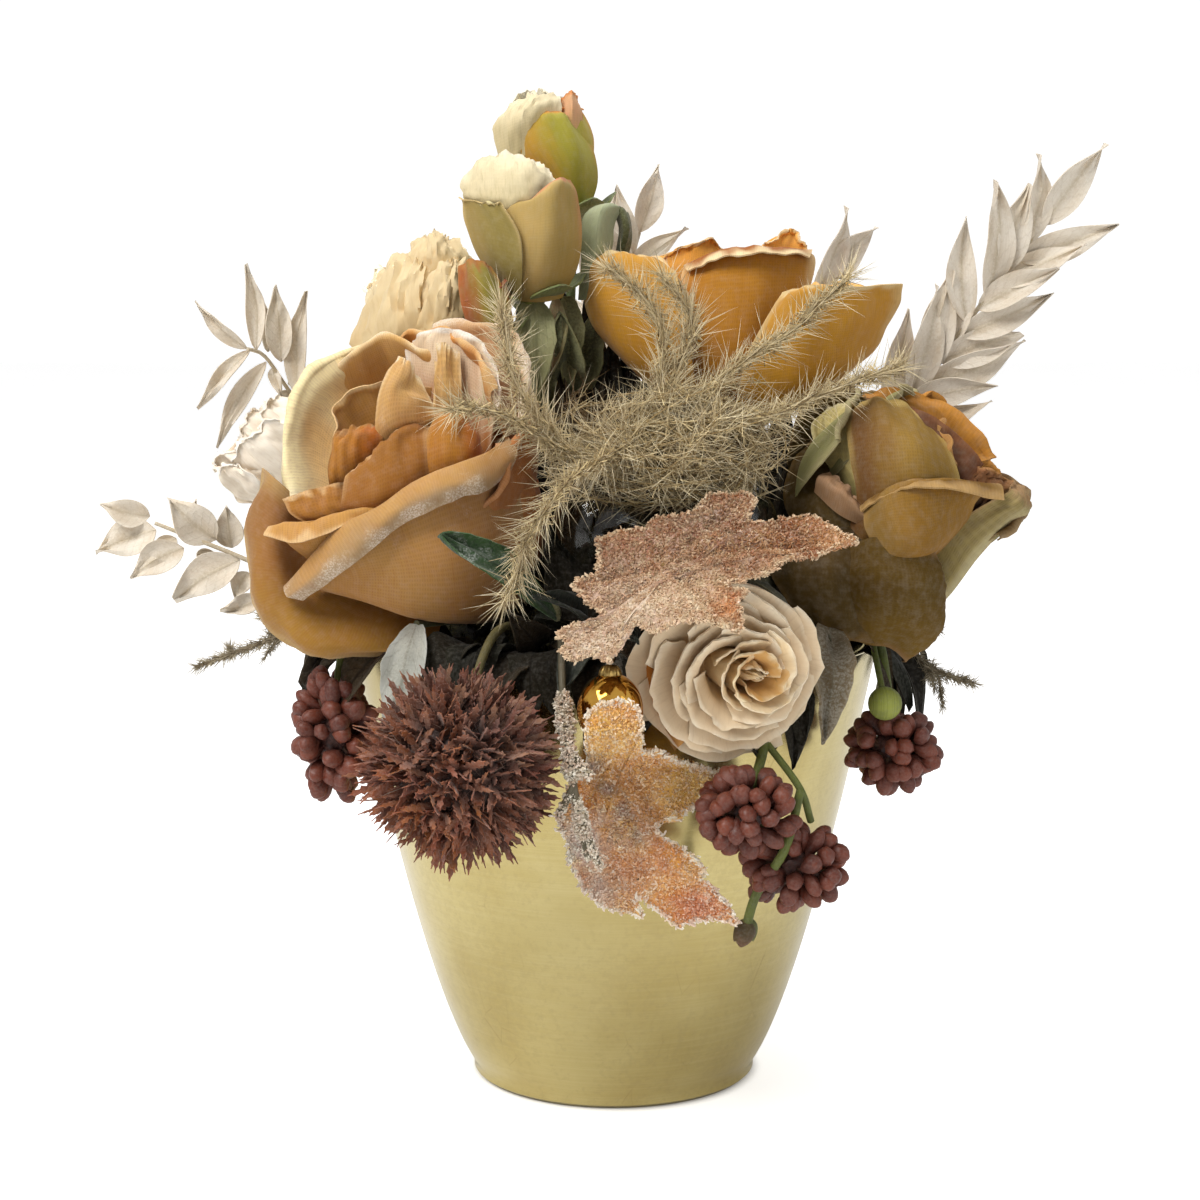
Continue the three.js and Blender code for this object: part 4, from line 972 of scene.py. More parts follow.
class Finishes:
    """Every finish of the arrangement, made once."""

    def __init__(self) -> None:
        """Makes them all."""
        self.gold = brushed_gold("brushed_gold")
        self.moss = moss("foam_and_moss")
        self.apricot = silk("apricot_silk", "9A5A24", 1.45, 0.3, "F2E6D6")
        self.golden = silk("golden_silk", "9C6420", 1.6, 0.24, "F0E4CC")
        self.olive = silk("olive_silk", "5A4018", 1.5, 0.3, "A88858", 0.0)
        self.bud = silk("bud_silk", "8A7A34", 2.2, 0.14, "EADFC8")
        self.cream = paper_silk("cream_paper_silk", "C39A62")
        self.stem = green_bark("green_stem", "1E2410")
        self.ruscus = dried_leaf("bleached_ruscus", "B9A98F", "F2ECE0", 7.0, 0.28)
        self.grey_leaf = dried_leaf("grey_felt_leaf", "6E6A58", "C9C8BC", 8.0, 0.4)
        self.dark_leaf = dried_leaf("dark_waxy_leaf", "0A120A", "2A3228", 10.0, 0.5)
        self.bud_leaf = dried_leaf("bud_leaves", "4E5228", "A8AC80", 9.0, 0.25)
        # Near black: painted shade in the hollows that the fill leaves cover.
        self.shade_fill_leaf = dried_leaf("painted_shade_fill_leaf", "0A0704", "1E1810", 9.0, 0.5, 0.08)
        self.straw = hair("straw_needles", "8A6E44")
        self.dry = hair("dry_needles", "4A4234")
        self.allium = bracts("allium_bracts")
        self.peach_leaf = sugared("peach_leaf", "A8552A")
        self.orange_leaf = sugared("orange_leaf", "A84A20")
        self.crystals = crystals("sugar_grains")
        self.mirror = mirror_gold("mirror_gold")
        self.glass = clear_glass("clear_glass")
        self.wire = dull_wire("dull_wire")
        self.berry = dusty_berry("dusty_berries")


# ---------- Silk blooms ----------


@dataclass(frozen=True)
class PetalDye:
    """A petal's colours, as display colours."""

    outside: str
    inside: str
    root: str
    edge: str
    side_tone_and_shade: str = ""
    shaded_side: float = 1.0
    rim: float = 0.12
    frost: float = 0.0

    def paint(self, u: Array, v: Array, seed: int) -> tuple[Array, Array, Array]:
        """The colours of the petal's outside and inside, and its frost."""
        drift = 0.09 * ripple(np.stack([u * 2, v * 2], 1), 0.8, seed + 9)
        lip = ease(1 - self.rim - 0.06, 1 - self.rim * 0.3, v + drift * 0.6)
        sides = 0.7 * ease(0.84, 1.0, np.abs(u)) * ease(0.25, 0.6, v)
        edge = np.maximum(lip, sides)[:, None]
        # Towards the root the colours turn darker: partly the dye's own, partly painted shade deep in the bloom.
        rooted = ease(0.0, 0.62, v + drift)[:, None]
        outside = mix(mix(colour(self.root), colour(self.outside), 0.6), colour(self.outside), rooted)
        inside = mix(colour(self.root), colour(self.inside), rooted ** 1.3)
        # Towards one side the colour turns to a second one: partly the dye's own tone, partly painted light and shade
        # across the petal.
        if self.side_tone_and_shade:
            side = ease(-0.2, 0.9, u * self.shaded_side + drift)[:, None] * 0.85
            outside = mix(outside, colour(self.side_tone_and_shade), side)
        rim = colour(self.edge)
        frost = self.frost * np.maximum(0.3, np.maximum(lip, sides))
        return mix(outside, rim, edge), mix(inside, rim, edge), frost


@dataclass(frozen=True)
class Petal:
    """One petal of a bloom whose base is at the origin and whose axis is +z, as the solid's."""

    turn: float
    spread: float
    foot: float
    belly: float
    lip: float
    height: float
    dye: PetalDye
    roll: float = 0.0
    lap: float = 3.0
    wave: float = 0.0
    drop: float = 0.16
    ruffle: float = 0.9
    crumple: float = 0.0
    point: float = 0.0
    flat: float = 0.0
    tilt: float = 0.0
    shift: Entry = (0.0, 0.0)
    curl_angle: float = 200.0

    def meridian(self, w: Array) -> tuple[Array, Array]:
        """The petal's radius and rise along its middle line, without its lip."""
        s = 1 - w
        radius = s ** 3 * self.foot + 3 * s * w * self.belly + w ** 3 * self.lip
        return radius, PETAL_ROOT + (self.height - PETAL_ROOT) * w * (1.15 - 0.15 * w)

    def surface(self, u: Array, v: Array, seed: int) -> Array:
        """Points of the petal, with its lip rolled over.

        Args:
            u: from -1 to 1 across.
            v: from 0 to 1 along.
            seed: which ruffles it has.

        Returns:
            The points, one row each.
        """
        start = 1 - min(0.26, 0.05 + 0.035 * self.roll) if self.roll else 1.0
        end = 0.95 if self.roll else 1.0
        w = np.minimum(v / start, 1.0) * end
        past = np.clip((v - start) / (1 - start + 1e-9), 0, 1)
        width = 0.42 + 0.58 * np.sin(np.minimum(w, 0.62) / 0.62 * math.pi / 2) - 0.12 * np.maximum(0, w - 0.7) / 0.3
        off = np.radians(self.spread * u * width)
        angle = off + math.radians(self.turn)
        radius, rise = self.meridian(w)
        near, low = self.meridian(w - 0.02)
        lean = np.arctan2(radius - near, rise - low)
        ends = np.stack([u * 1.7, v * 0.6], 1)
        bow = self.roll / 2 * (0.8 + 0.2 * np.cos(u * math.pi / 2)) * (1 + 0.22 * ripple(ends, 1.3, seed))
        arc = past * math.radians(self.curl_angle)
        out = bow * (np.sin(arc) * np.sin(lean) + (1 - np.cos(arc)) * np.cos(lean))
        up = bow * (np.sin(arc) * np.cos(lean) - (1 - np.cos(arc)) * np.sin(lean))
        straight = 1 / np.cos(np.clip(self.flat * off, -1.2, 1.2)) - 1
        radius = radius * (1 + straight * ease(0, 0.8, w)) + out + self.lap * u * np.minimum(1, 1.6 * w)
        radius += self.wave * w * w * np.sin(3 * u + self.turn) + 0.3 * self.roll * ease(0.72, 1, np.abs(u)) * w
        tip = self.point * (1 - np.abs(u)) ** 2 * w ** 3 + self.tilt * u * w
        rise = (rise - PETAL_ROOT) * (1 - self.drop * u * u * w + tip)
        soft = ripple(np.stack([u * 2.2, v * 2.0], 1), 1.5, seed + 1)
        brisk = ripple(np.stack([u * 4.5, v * 3.0], 1), 1.2, seed + 2)
        radius += self.ruffle * ease(0.1, 0.9, v) * (0.8 * soft + 0.35 * brisk * ease(0.5, 1, v))
        rise = rise + PETAL_ROOT + up + 0.7 * self.ruffle * ease(0.6, 1, w) * ripple(ends, 0.9, seed + 3)
        if self.crumple:
            fold = np.stack([u * 6.5, v * 5.0], 1)
            radius += self.crumple * ease(0.1, 0.5, v) * ripple(fold, 1.4, seed + 4)
            angle = angle + 0.05 * self.crumple * ripple(fold, 1.7, seed + 5) * ease(0.1, 0.5, v)
            rise += 0.8 * self.crumple * ease(0.3, 0.8, v) * ripple(fold, 1.2, seed + 6)
        radius = np.maximum(radius, 0.4)
        x, y = radius * np.cos(angle) + self.shift[0] * w, radius * np.sin(angle) + self.shift[1] * w
        return np.stack([x, y, rise], 1)

    def patch(self, blank: Blank, seed: int, place: Callable[[Array], Array]) -> Patch:
        """The petal as an open sheet, in its place."""
        u, along = blank.points[:, 0], blank.points[:, 1]
        v = along ** 0.85 if self.roll else along
        outside, inside, frost = self.dye.paint(u, v, seed)
        reach = math.radians(self.spread) * self.belly
        thread = np.stack([u * reach, v * self.height], 1)
        points = place(self.surface(u, v, seed))
        return Patch(points, blank.faces, outside, thread, frost, inside)


@dataclass(frozen=True)
class LaidPetal:
    """A laid petal: spots seen in the picture, in rows from its root to its lip, from left to right."""

    net: tuple[tuple[Spot, ...], ...]
    dye: PetalDye
    inner: bool = False
    ruffle: float = 0.5
    crumple: float = 0.0

    def sheet(self, u: Array, v: Array) -> Array:
        """Points of the smooth sheet through the spots."""
        net = in_picture(np.array(self.net, float))
        down, across = curve_shares(net.shape[0], v), curve_shares(net.shape[1], (u + 1) / 2)
        return np.einsum("nr,nc,rcd->nd", down, across, net)

    def patch(self, blank: Blank, seed: int, _place: Callable[[Array], Array] | None = None) -> Patch:
        """The petal as an open sheet, already in its place, with the side that the picture shows to the viewer."""
        u, v = blank.points[:, 0], blank.points[:, 1]
        side = -1 if self.inner else 1
        across = side * (self.sheet(side * u + 0.02, v) - self.sheet(side * u - 0.02, v))
        normal = unit(np.cross(across, self.sheet(side * u, v + 0.02) - self.sheet(side * u, v - 0.02)))
        points = self.sheet(side * u, v)
        reach = np.linalg.norm(across, axis=1).mean() * 50
        soft = ripple(np.stack([u * 2.2, v * 2.4], 1), 1.4, seed)
        brisk = ripple(np.stack([u * 5.0, v * 4.0], 1), 1.3, seed + 1)
        push = self.ruffle * ease(0.1, 0.8, v) * (0.7 * soft + 0.4 * brisk * ease(0.4, 1, v))
        fold = np.stack([u * 7.0, v * 5.0], 1)
        push += self.crumple * (ripple(fold, 1.4, seed + 4) + 0.5 * ripple(fold * 2, 1.2, seed + 5))
        outside, inside, frost = self.dye.paint(u, v, seed)
        thread = np.stack([u * reach / 2, v * reach], 1)
        return Patch(points + normal * push[:, None], blank.faces, outside, thread, frost, inside)


def inner_petals(count: int, turn: float, spread: float, first: float, step: float, height: float,
                 dye: PetalDye, lap: float = 2.2, narrowing: float = 0.0, **more: float) -> list[Petal]:
    """The furled petals round a bloom's middle, each outside the last."""
    return [
        Petal(turn + PETAL_ANGLE * i, spread - narrowing * i, 2 + 0.3 * i, first + step * i, first + step * i - 1.5,
              height * (0.93 + 0.07 * math.sin(2.4 * i)), dye, lap=lap, **{"ruffle": 0.6, **more})
        for i in range(count)
    ]


@dataclass(frozen=True)
class Rose:
    """A silk rose: its place, its petals, and the stem and calyx that carry it."""

    name: str
    slot: str
    base: Spot
    axis: Spot
    petals: tuple[Petal | LaidPetal, ...]
    entry: Entry
    over: tuple[Spot, ...] = ()
    thickness: float = 0.45
    cup: float = 8.0
    grain: tuple[int, int] = (22, 26)

    def build(self, material: Material, stem: Material) -> None:
        """Makes the petals as one piece and the stem with its calyx as another."""
        blank = grid_blank(*self.grain)
        turn, base = turn_to(np.array(self.axis)), np.array(self.base)
        seed = sum(map(ord, self.name))
        patches = [p.patch(blank, seed + 17 * i, placer(turn, base)) for i, p in enumerate(self.petals)]
        bloom = make_piece(f"{self.name}_petals", joined(patches), material, self.thickness, 60)
        set_down(bloom, self.slot, self.name)
        self.build_stem(stem, turn, base)

    def build_stem(self, material: Material, turn: Array, base: Array) -> None:
        """Makes the stem, the cup under the petals and five sepals."""
        away = -unit(np.array(self.axis))
        seat = base + 0.3 * away
        cup_end = seat + 6 * away
        route = smooth_curve(stem_points([cup_end, *self.over], self.entry), 26)
        green, pale = colour("4C5A2C"), colour("7C8148")
        stalk = tube(route, ROSE_STEM * 0.85, green, 10)
        share = np.linspace(0, 1, 7)
        bulge = mix(ROSE_STEM, self.cup * 0.62, np.sin(share * math.pi / 2) ** 1.5)
        cup = tube(mix(cup_end, seat + 1.5 * unit(np.array(self.axis)), share[:, None]), bulge, pale, 14)
        blank = grid_blank(6, 10)
        u, v = blank.points[:, 0], blank.points[:, 1]
        sepals = []
        for i in range(SEPALS):
            angle = np.radians(360 / SEPALS * i + 20) + u * 0.42 * np.sin(math.pi * (0.18 + 0.82 * v)) ** 0.8
            radius = self.cup * (0.5 + 0.75 * v) + 0.5 + 0.4 * np.abs(u)
            rise = -1.5 + self.cup * 1.3 * v * (1 - 0.35 * v)
            local = np.stack([radius * np.cos(angle), radius * np.sin(angle), rise], 1)
            thread = np.stack([u, v], 1)
            sepals.append(Patch(local @ turn.T + base, blank.faces, mix(pale, green, v[:, None]), thread))
        leaves = make_piece(f"{self.name}_sepals", joined(sepals), material, 0.35)
        set_down(leaves, "green_stem")
        set_down(make_piece(f"{self.name}_stalk", joined([stalk, cup]), material), "green_stem", f"{self.name}_stem")


APRICOT_RIGHT = PetalDye("C0905C", "D4AA7C", "8A4414", "E4CBA6", "B07C58", 1.0, 0.1, 0.8)
# Its near-white inside is partly painted light, lighter than the dye, for a hollow that faces away from the lamps.
APRICOT_KHAKI = PetalDye("D7BC74", "FFF0BC", "FCD48D", "FFF2CC", rim=0.06, frost=0.5)
APRICOT_FOLD = PetalDye("D2A868", "D8A862", "98501A", "F0D6A4", rim=0.05, frost=0.55)
APRICOT_INNER = PetalDye("E0A84E", "D78F40", "84400E", "DDB67C", rim=0.07, frost=0.3)
APRICOT_BAND = PetalDye("BB8E51", "BE9255", "945E28", "A58B69", "9C7046", 1.0, 0.2, 0.5)
APRICOT_PEACH = PetalDye("B88A48", "CC9A54", "A06C2C", "E6C48E", rim=0.05, frost=0.15)
APRICOT_WOVEN = PetalDye("9D692C", "AB7531", "7B4311", "D6AF79", rim=0.05, frost=0.3)
APRICOT_SHADED = PetalDye("B1782C", "B8742C", "6E3308", "B08852", "A95510", 1.0, 0.06, 0.2)
APRICOT_GLITTER = PetalDye("C0A277", "E6CEAD", "B06D32", "F8F4E9", "CDA880", -1.0, 0.1, 1.0)
APRICOT_SALMON = PetalDye("A66C3C", "B0703C", "7A3E1C", "C08858", "965C34", 1.0, 0.05, 0.15)
# Its dark inside and root are partly painted shade under the great front petal.
APRICOT_OPEN = PetalDye("A87D35", "7F5324", "431E07", "BC9D66", "96693F", 1.0, 0.06, 0.15)
APRICOT_PETALS = (
    *inner_petals(8, 250, 120, 2.2, 1.6, 49, APRICOT_INNER, 1.5, 6.0, shift=(2, 6), ruffle=0.9),
    Petal(95, 50, 6, 25, 22, 60, APRICOT_FOLD, roll=1.0, ruffle=1.8, shift=(0, 6)),
    Petal(50, 50, 7, 29, 27, 59, APRICOT_INNER, roll=1.0, ruffle=1.8, shift=(0, 4)),
    Petal(32, 50, 9, 34, 36, 55, APRICOT_RIGHT, roll=2.4, lap=5, ruffle=1.8),
    Petal(78, 52, 9.5, 40, 41, 46, APRICOT_KHAKI, roll=2.0, ruffle=1.8),
    LaidPetal((  # the broad petal at the upper left
        ((400, 540, -38), (405, 530, -36), (415, 520, -34), (430, 515, -32), (445, 510, -30)),
        ((330, 505, -46), (325, 450, -40), (345, 410, -34), (390, 395, -28), (440, 400, -26)),
        ((302, 502, -52), (296, 440, -46), (318, 385, -40), (370, 362, -32), (430, 368, -27)),
        ((290, 500, -53), (284, 440, -48), (308, 376, -41), (364, 348, -33), (425, 352, -28)),
        ((288, 496, -49), (282, 436, -44), (305, 378, -37), (362, 351, -29), (425, 356, -25)),
    ), APRICOT_KHAKI, True, 1.2),
    LaidPetal((  # the glittering petal at the upper right
        ((430, 480, -44), (450, 475, -44), (475, 470, -46), (490, 468, -50)),
        ((412, 385, -40), (440, 395, -42), (475, 400, -46), (494, 425, -52)),
        ((406, 352, -38), (436, 347, -41), (476, 355, -45), (499, 402, -52)),
        ((412, 340, -37), (440, 328, -40), (480, 340, -45), (504, 390, -52)),
    ), APRICOT_GLITTER, True, 1.1),
    LaidPetal((  # its fold, that stands up inside it
        ((428, 470, -46), (440, 470, -48), (458, 468, -48)),
        ((433, 400, -44), (442, 398, -50), (462, 395, -48)),
        ((436, 348, -41), (443, 342, -47), (458, 352, -45)),
    ), APRICOT_FOLD, False, 0.8),
    LaidPetal((  # the petal round the heart
        ((400, 500, -44), (405, 495, -44), (415, 490, -42), (430, 480, -40)),
        ((345, 455, -54), (350, 420, -50), (385, 405, -46), (430, 410, -42)),
        ((334, 436, -57), (338, 400, -53), (378, 382, -49), (432, 388, -44)),
    ), APRICOT_PEACH, True, 0.7),
    LaidPetal((
        ((350, 520, -54), (370, 510, -54), (392, 500, -53)),
        ((330, 487, -60), (352, 470, -61), (384, 455, -59)),
        ((329, 455, -61), (350, 440, -62), (382, 432, -60)),
        ((337, 432, -58), (355, 426, -59), (378, 424, -57)),
    ), APRICOT_SHADED, False, 1.1),
    LaidPetal((  # the upright, furled petal
        ((400, 470, -52), (412, 470, -52), (425, 465, -50), (440, 455, -48)),
        ((377, 442, -59), (392, 427, -63), (415, 420, -62), (438, 425, -58)),
        ((377, 402, -61), (392, 394, -65), (415, 399, -63), (436, 410, -58)),
        ((389, 370, -59), (396, 376, -63), (410, 390, -61), (432, 404, -57)),
        ((398, 356, -56), (406, 358, -57), (414, 366, -56), (422, 380, -55)),
    ), APRICOT_FOLD, False, 0.8),
    LaidPetal((  # the right side of the heart
        ((430, 510, -56), (450, 500, -56), (475, 490, -54), (490, 480, -50)),
        ((424, 478, -64), (447, 470, -67), (470, 466, -65), (487, 464, -58)),
        ((427, 435, -63), (446, 428, -66), (466, 432, -64), (482, 446, -57)),
        ((434, 415, -59), (447, 408, -61), (463, 412, -60), (475, 425, -56)),
    ), APRICOT_SHADED, False, 0.7),
    LaidPetal((  # the woven petal in the middle
        ((345, 535, -60), (380, 530, -62), (410, 520, -62), (432, 505, -60)),
        ((340, 508, -66), (368, 500, -69), (400, 492, -69), (430, 480, -65)),
        ((346, 478, -66), (372, 459, -68), (397, 440, -67), (428, 436, -63)),
        ((350, 473, -63), (374, 451, -64), (399, 429, -63), (430, 426, -59)),
    ), APRICOT_WOVEN, False, 0.9),
    LaidPetal((
        ((360, 530, -60), (370, 525, -60), (380, 515, -60)),
        ((300, 520, -62), (325, 515, -64), (350, 508, -64)),
        ((283, 499, -61), (312, 489, -62), (344, 482, -62)),
    ), APRICOT_WOVEN, True, 0.6),
    Petal(-14, 44, 9, 32, 30, 44, APRICOT_SALMON, roll=1.6, ruffle=1.2),
    LaidPetal((  # the right flank
        ((480, 590, -34), (490, 590, -32), (505, 585, -28), (515, 575, -24)),
        ((500, 562, -50), (520, 572, -48), (540, 560, -42), (546, 540, -34)),
        ((500, 500, -58), (520, 505, -57), (540, 510, -50), (546, 515, -40)),
        ((495, 455, -58), (513, 462, -57), (529, 475, -52), (538, 490, -44)),
        ((497, 441, -55), (514, 449, -54), (530, 465, -49), (538, 484, -41)),
    ), APRICOT_SALMON, False, 0.8),
    LaidPetal((  # the open petal beneath
        ((420, 560, -36), (420, 565, -37), (425, 570, -38), (430, 575, -38), (440, 580, -37), (455, 585, -35)),
        ((318, 520, -48), (312, 555, -50), (318, 585, -51), (340, 602, -52), (380, 615, -52), (440, 628, -46)),
        ((290, 492, -53), (276, 545, -58), (284, 594, -59), (315, 628, -60), (365, 642, -58), (440, 642, -49)),
        ((270, 474, -52), (255, 535, -57), (262, 600, -58), (300, 643, -59), (355, 654, -57), (445, 648, -47)),
        ((262, 468, -45), (246, 530, -48), (253, 603, -50), (294, 651, -51), (352, 658, -49), (448, 652, -40)),
    ), APRICOT_OPEN, True, 1.0),
    LaidPetal((  # the furled petal between it and the front one
        ((330, 575, -56), (350, 560, -60), (375, 545, -62), (400, 530, -62)),
        ((290, 546, -60), (318, 552, -64), (352, 540, -66), (390, 520, -66)),
        ((270, 527, -60), (302, 522, -66), (345, 514, -68), (388, 505, -67)),
        ((264, 536, -62), (300, 543, -69), (345, 526, -70), (388, 513, -68)),
    ), APRICOT_PEACH, False, 0.7),
    LaidPetal((  # the great petal in front, with its folded lip
        ((440, 575, -34), (450, 580, -36), (458, 584, -36), (468, 586, -35), (477, 582, -32), (485, 578, -30)),
        ((322, 588, -52), (370, 604, -57), (415, 619, -59), (462, 624, -57), (496, 620, -51), (524, 602, -43)),
        ((306, 584, -58), (360, 572, -66), (410, 568, -69.5), (455, 562, -70), (494, 550, -65), (526, 535, -54)),
        ((292, 586, -59), (340, 540, -67), (390, 510, -70), (440, 481, -70.5), (480, 468, -68), (512, 452, -61)),
        ((284, 588, -61), (334, 534, -69), (386, 503, -73), (438, 472, -73.5), (480, 461, -70), (507, 437, -62)),
        ((287, 598, -63), (344, 552, -72), (394, 512, -76), (442, 488, -76.5), (484, 477, -72), (517, 452, -64)),
        ((303, 600, -61.5), (352, 564, -71), (398, 528, -74), (444, 503, -75), (482, 490, -71), (508, 474, -64)),
    ), APRICOT_BAND, False, 0.7),
)

GOLD_OUTER = PetalDye("CA932E", "D29E42", "A0641A", "E8CE96", rim=0.04)
GOLD_BACK = PetalDye("EFAA49", "FABD5D", "B46319", "EED0A0", rim=0.05)
GOLD_SHADED = PetalDye("BB8129", "99550C", "7A4408", "F0D8A8", rim=0.07)
GOLD_PETALS = (
    *inner_petals(9, 200, 125, 2.4, 1.9, 38, GOLD_BACK, 1.6, 7.0, ruffle=1.0),
    Petal(-60, 58, 8, 22, 22, 38, GOLD_BACK, roll=1.0, ruffle=1.6),
    Petal(65, 58, 8, 25, 27, 50, GOLD_BACK, roll=1.0, ruffle=1.9),
    Petal(185, 58, 8, 25, 28, 50, GOLD_BACK, roll=1.0, ruffle=1.8),
    Petal(40, 54, 9, 31, 38, 48, GOLD_BACK, roll=2.0, wave=1.2, ruffle=1.8),
    Petal(115, 52, 9, 31, 37, 50, GOLD_BACK, roll=2.0, wave=1.2, ruffle=1.8),
    Petal(160, 48, 9, 31, 36, 47, GOLD_OUTER, roll=2.0, wave=1.2, ruffle=1.6),
    LaidPetal((  # the high petal in the middle
        ((700, 425, -6), (722, 428, -9), (742, 427, -9), (758, 420, -5)),
        ((684, 365, -15), (712, 372, -19), (750, 370, -18), (792, 352, -9)),
        ((681, 310, -12), (714, 310, -17), (760, 306, -16), (808, 296, -5)),
        ((681, 277, -8), (718, 264, -12), (762, 260, -12), (814, 266, -1)),
        ((684, 267, -6), (720, 252, -10), (763, 247, -10), (812, 253, 1)),
        ((688, 272, -11), (722, 259, -16), (763, 254, -16), (808, 259, -4)),
    ), GOLD_SHADED, False, 0.7),
    LaidPetal((
        ((752, 275, 46), (785, 275, 48), (814, 275, 46)),
        ((762, 245, 47), (788, 240, 49), (808, 250, 47)),
        ((768, 243, 46), (790, 228, 48), (805, 243, 46)),
    ), GOLD_BACK, True, 0.8),
    LaidPetal((
        ((650, 330, 6), (680, 325, 6), (710, 325, 6), (735, 330, 8)),
        ((640, 280, 10), (675, 275, 8), (705, 275, 8), (730, 282, 10)),
        ((648, 262, 12), (678, 256, 10), (706, 246, 10), (722, 256, 12)),
        ((652, 258, 12), (680, 250, 9), (710, 238, 9), (722, 250, 12)),
    ), GOLD_BACK, False, 0.9),
    LaidPetal((  # the left flank
        ((690, 420, 0), (700, 425, -4), (712, 428, -7), (722, 428, -8)),
        ((612, 350, -4), (632, 368, -14), (662, 378, -20), (695, 380, -22)),
        ((587, 312, -4), (610, 312, -16), (645, 314, -22), (690, 325, -24)),
        ((582, 275, 0), (602, 264, -12), (640, 264, -18), (678, 280, -20)),
        ((590, 257, 4), (608, 250, -6), (640, 253, -12), (672, 268, -14)),
    ), GOLD_OUTER, False, 0.8),
    LaidPetal((  # the right flank, with its square corner
        ((705, 425, -4), (722, 428, -6), (740, 427, -4), (755, 420, 4)),
        ((735, 405, -19), (785, 402, -24), (830, 388, -18), (862, 362, 0)),
        ((745, 360, -24), (796, 345, -30), (845, 338, -22), (888, 325, -1)),
        ((765, 318, -24), (804, 300, -30), (850, 299, -22), (900, 303, -3)),
        ((782, 292, -23), (810, 285, -28), (852, 287, -21), (903, 284, -4)),
    ), GOLD_OUTER, False, 0.8),
)

OLIVE_LIP = PetalDye("A87C40", "BE7C38", "5C3A16", "C9975C", rim=0.05)
OLIVE_DARK = PetalDye("7C6A38", "7C6430", "5C4A24", "A08058", "8A7240", 1.0, 0.04)
OLIVE_PALE = PetalDye("867A46", "654722", "58471E", "9D845E", rim=0.05)
OLIVE_GREEN = PetalDye("9C9A66", "8A7C4A", "6C6A38", "B0A67C", rim=0.05)
OLIVE_SATIN = PetalDye("957432", "805E2A", "6F4E1C", "CEB068", "6A4426", -1.0, 0.035)
OLIVE_CUP = PetalDye("976E28", "7A5722", "76501A", "BF9960", "8E703A", -1.0, 0.1)
OLIVE_SHADOW = PetalDye("4A3810", "4A3810", "34260A", "6A5024", rim=0.04)
# Its dark brown is partly painted shade on the drooping petal low in front.
OLIVE_BROWN = PetalDye("56400A", "56400A", "3C2804", "94704C", "725616", 1.0, 0.045)
OLIVE_STRIP = PetalDye("C8B878", "8C7C44", "B09C5C", "DCD0A0", rim=0.05)
OLIVE_FRILL = PetalDye("855627", "A46D25", "6A3E16", "C68837", rim=0.2)
OLIVE_CURL = PetalDye("968553", "795135", "7B6D3B", "AC8A62", "B8AC80", 1.0, 0.2)
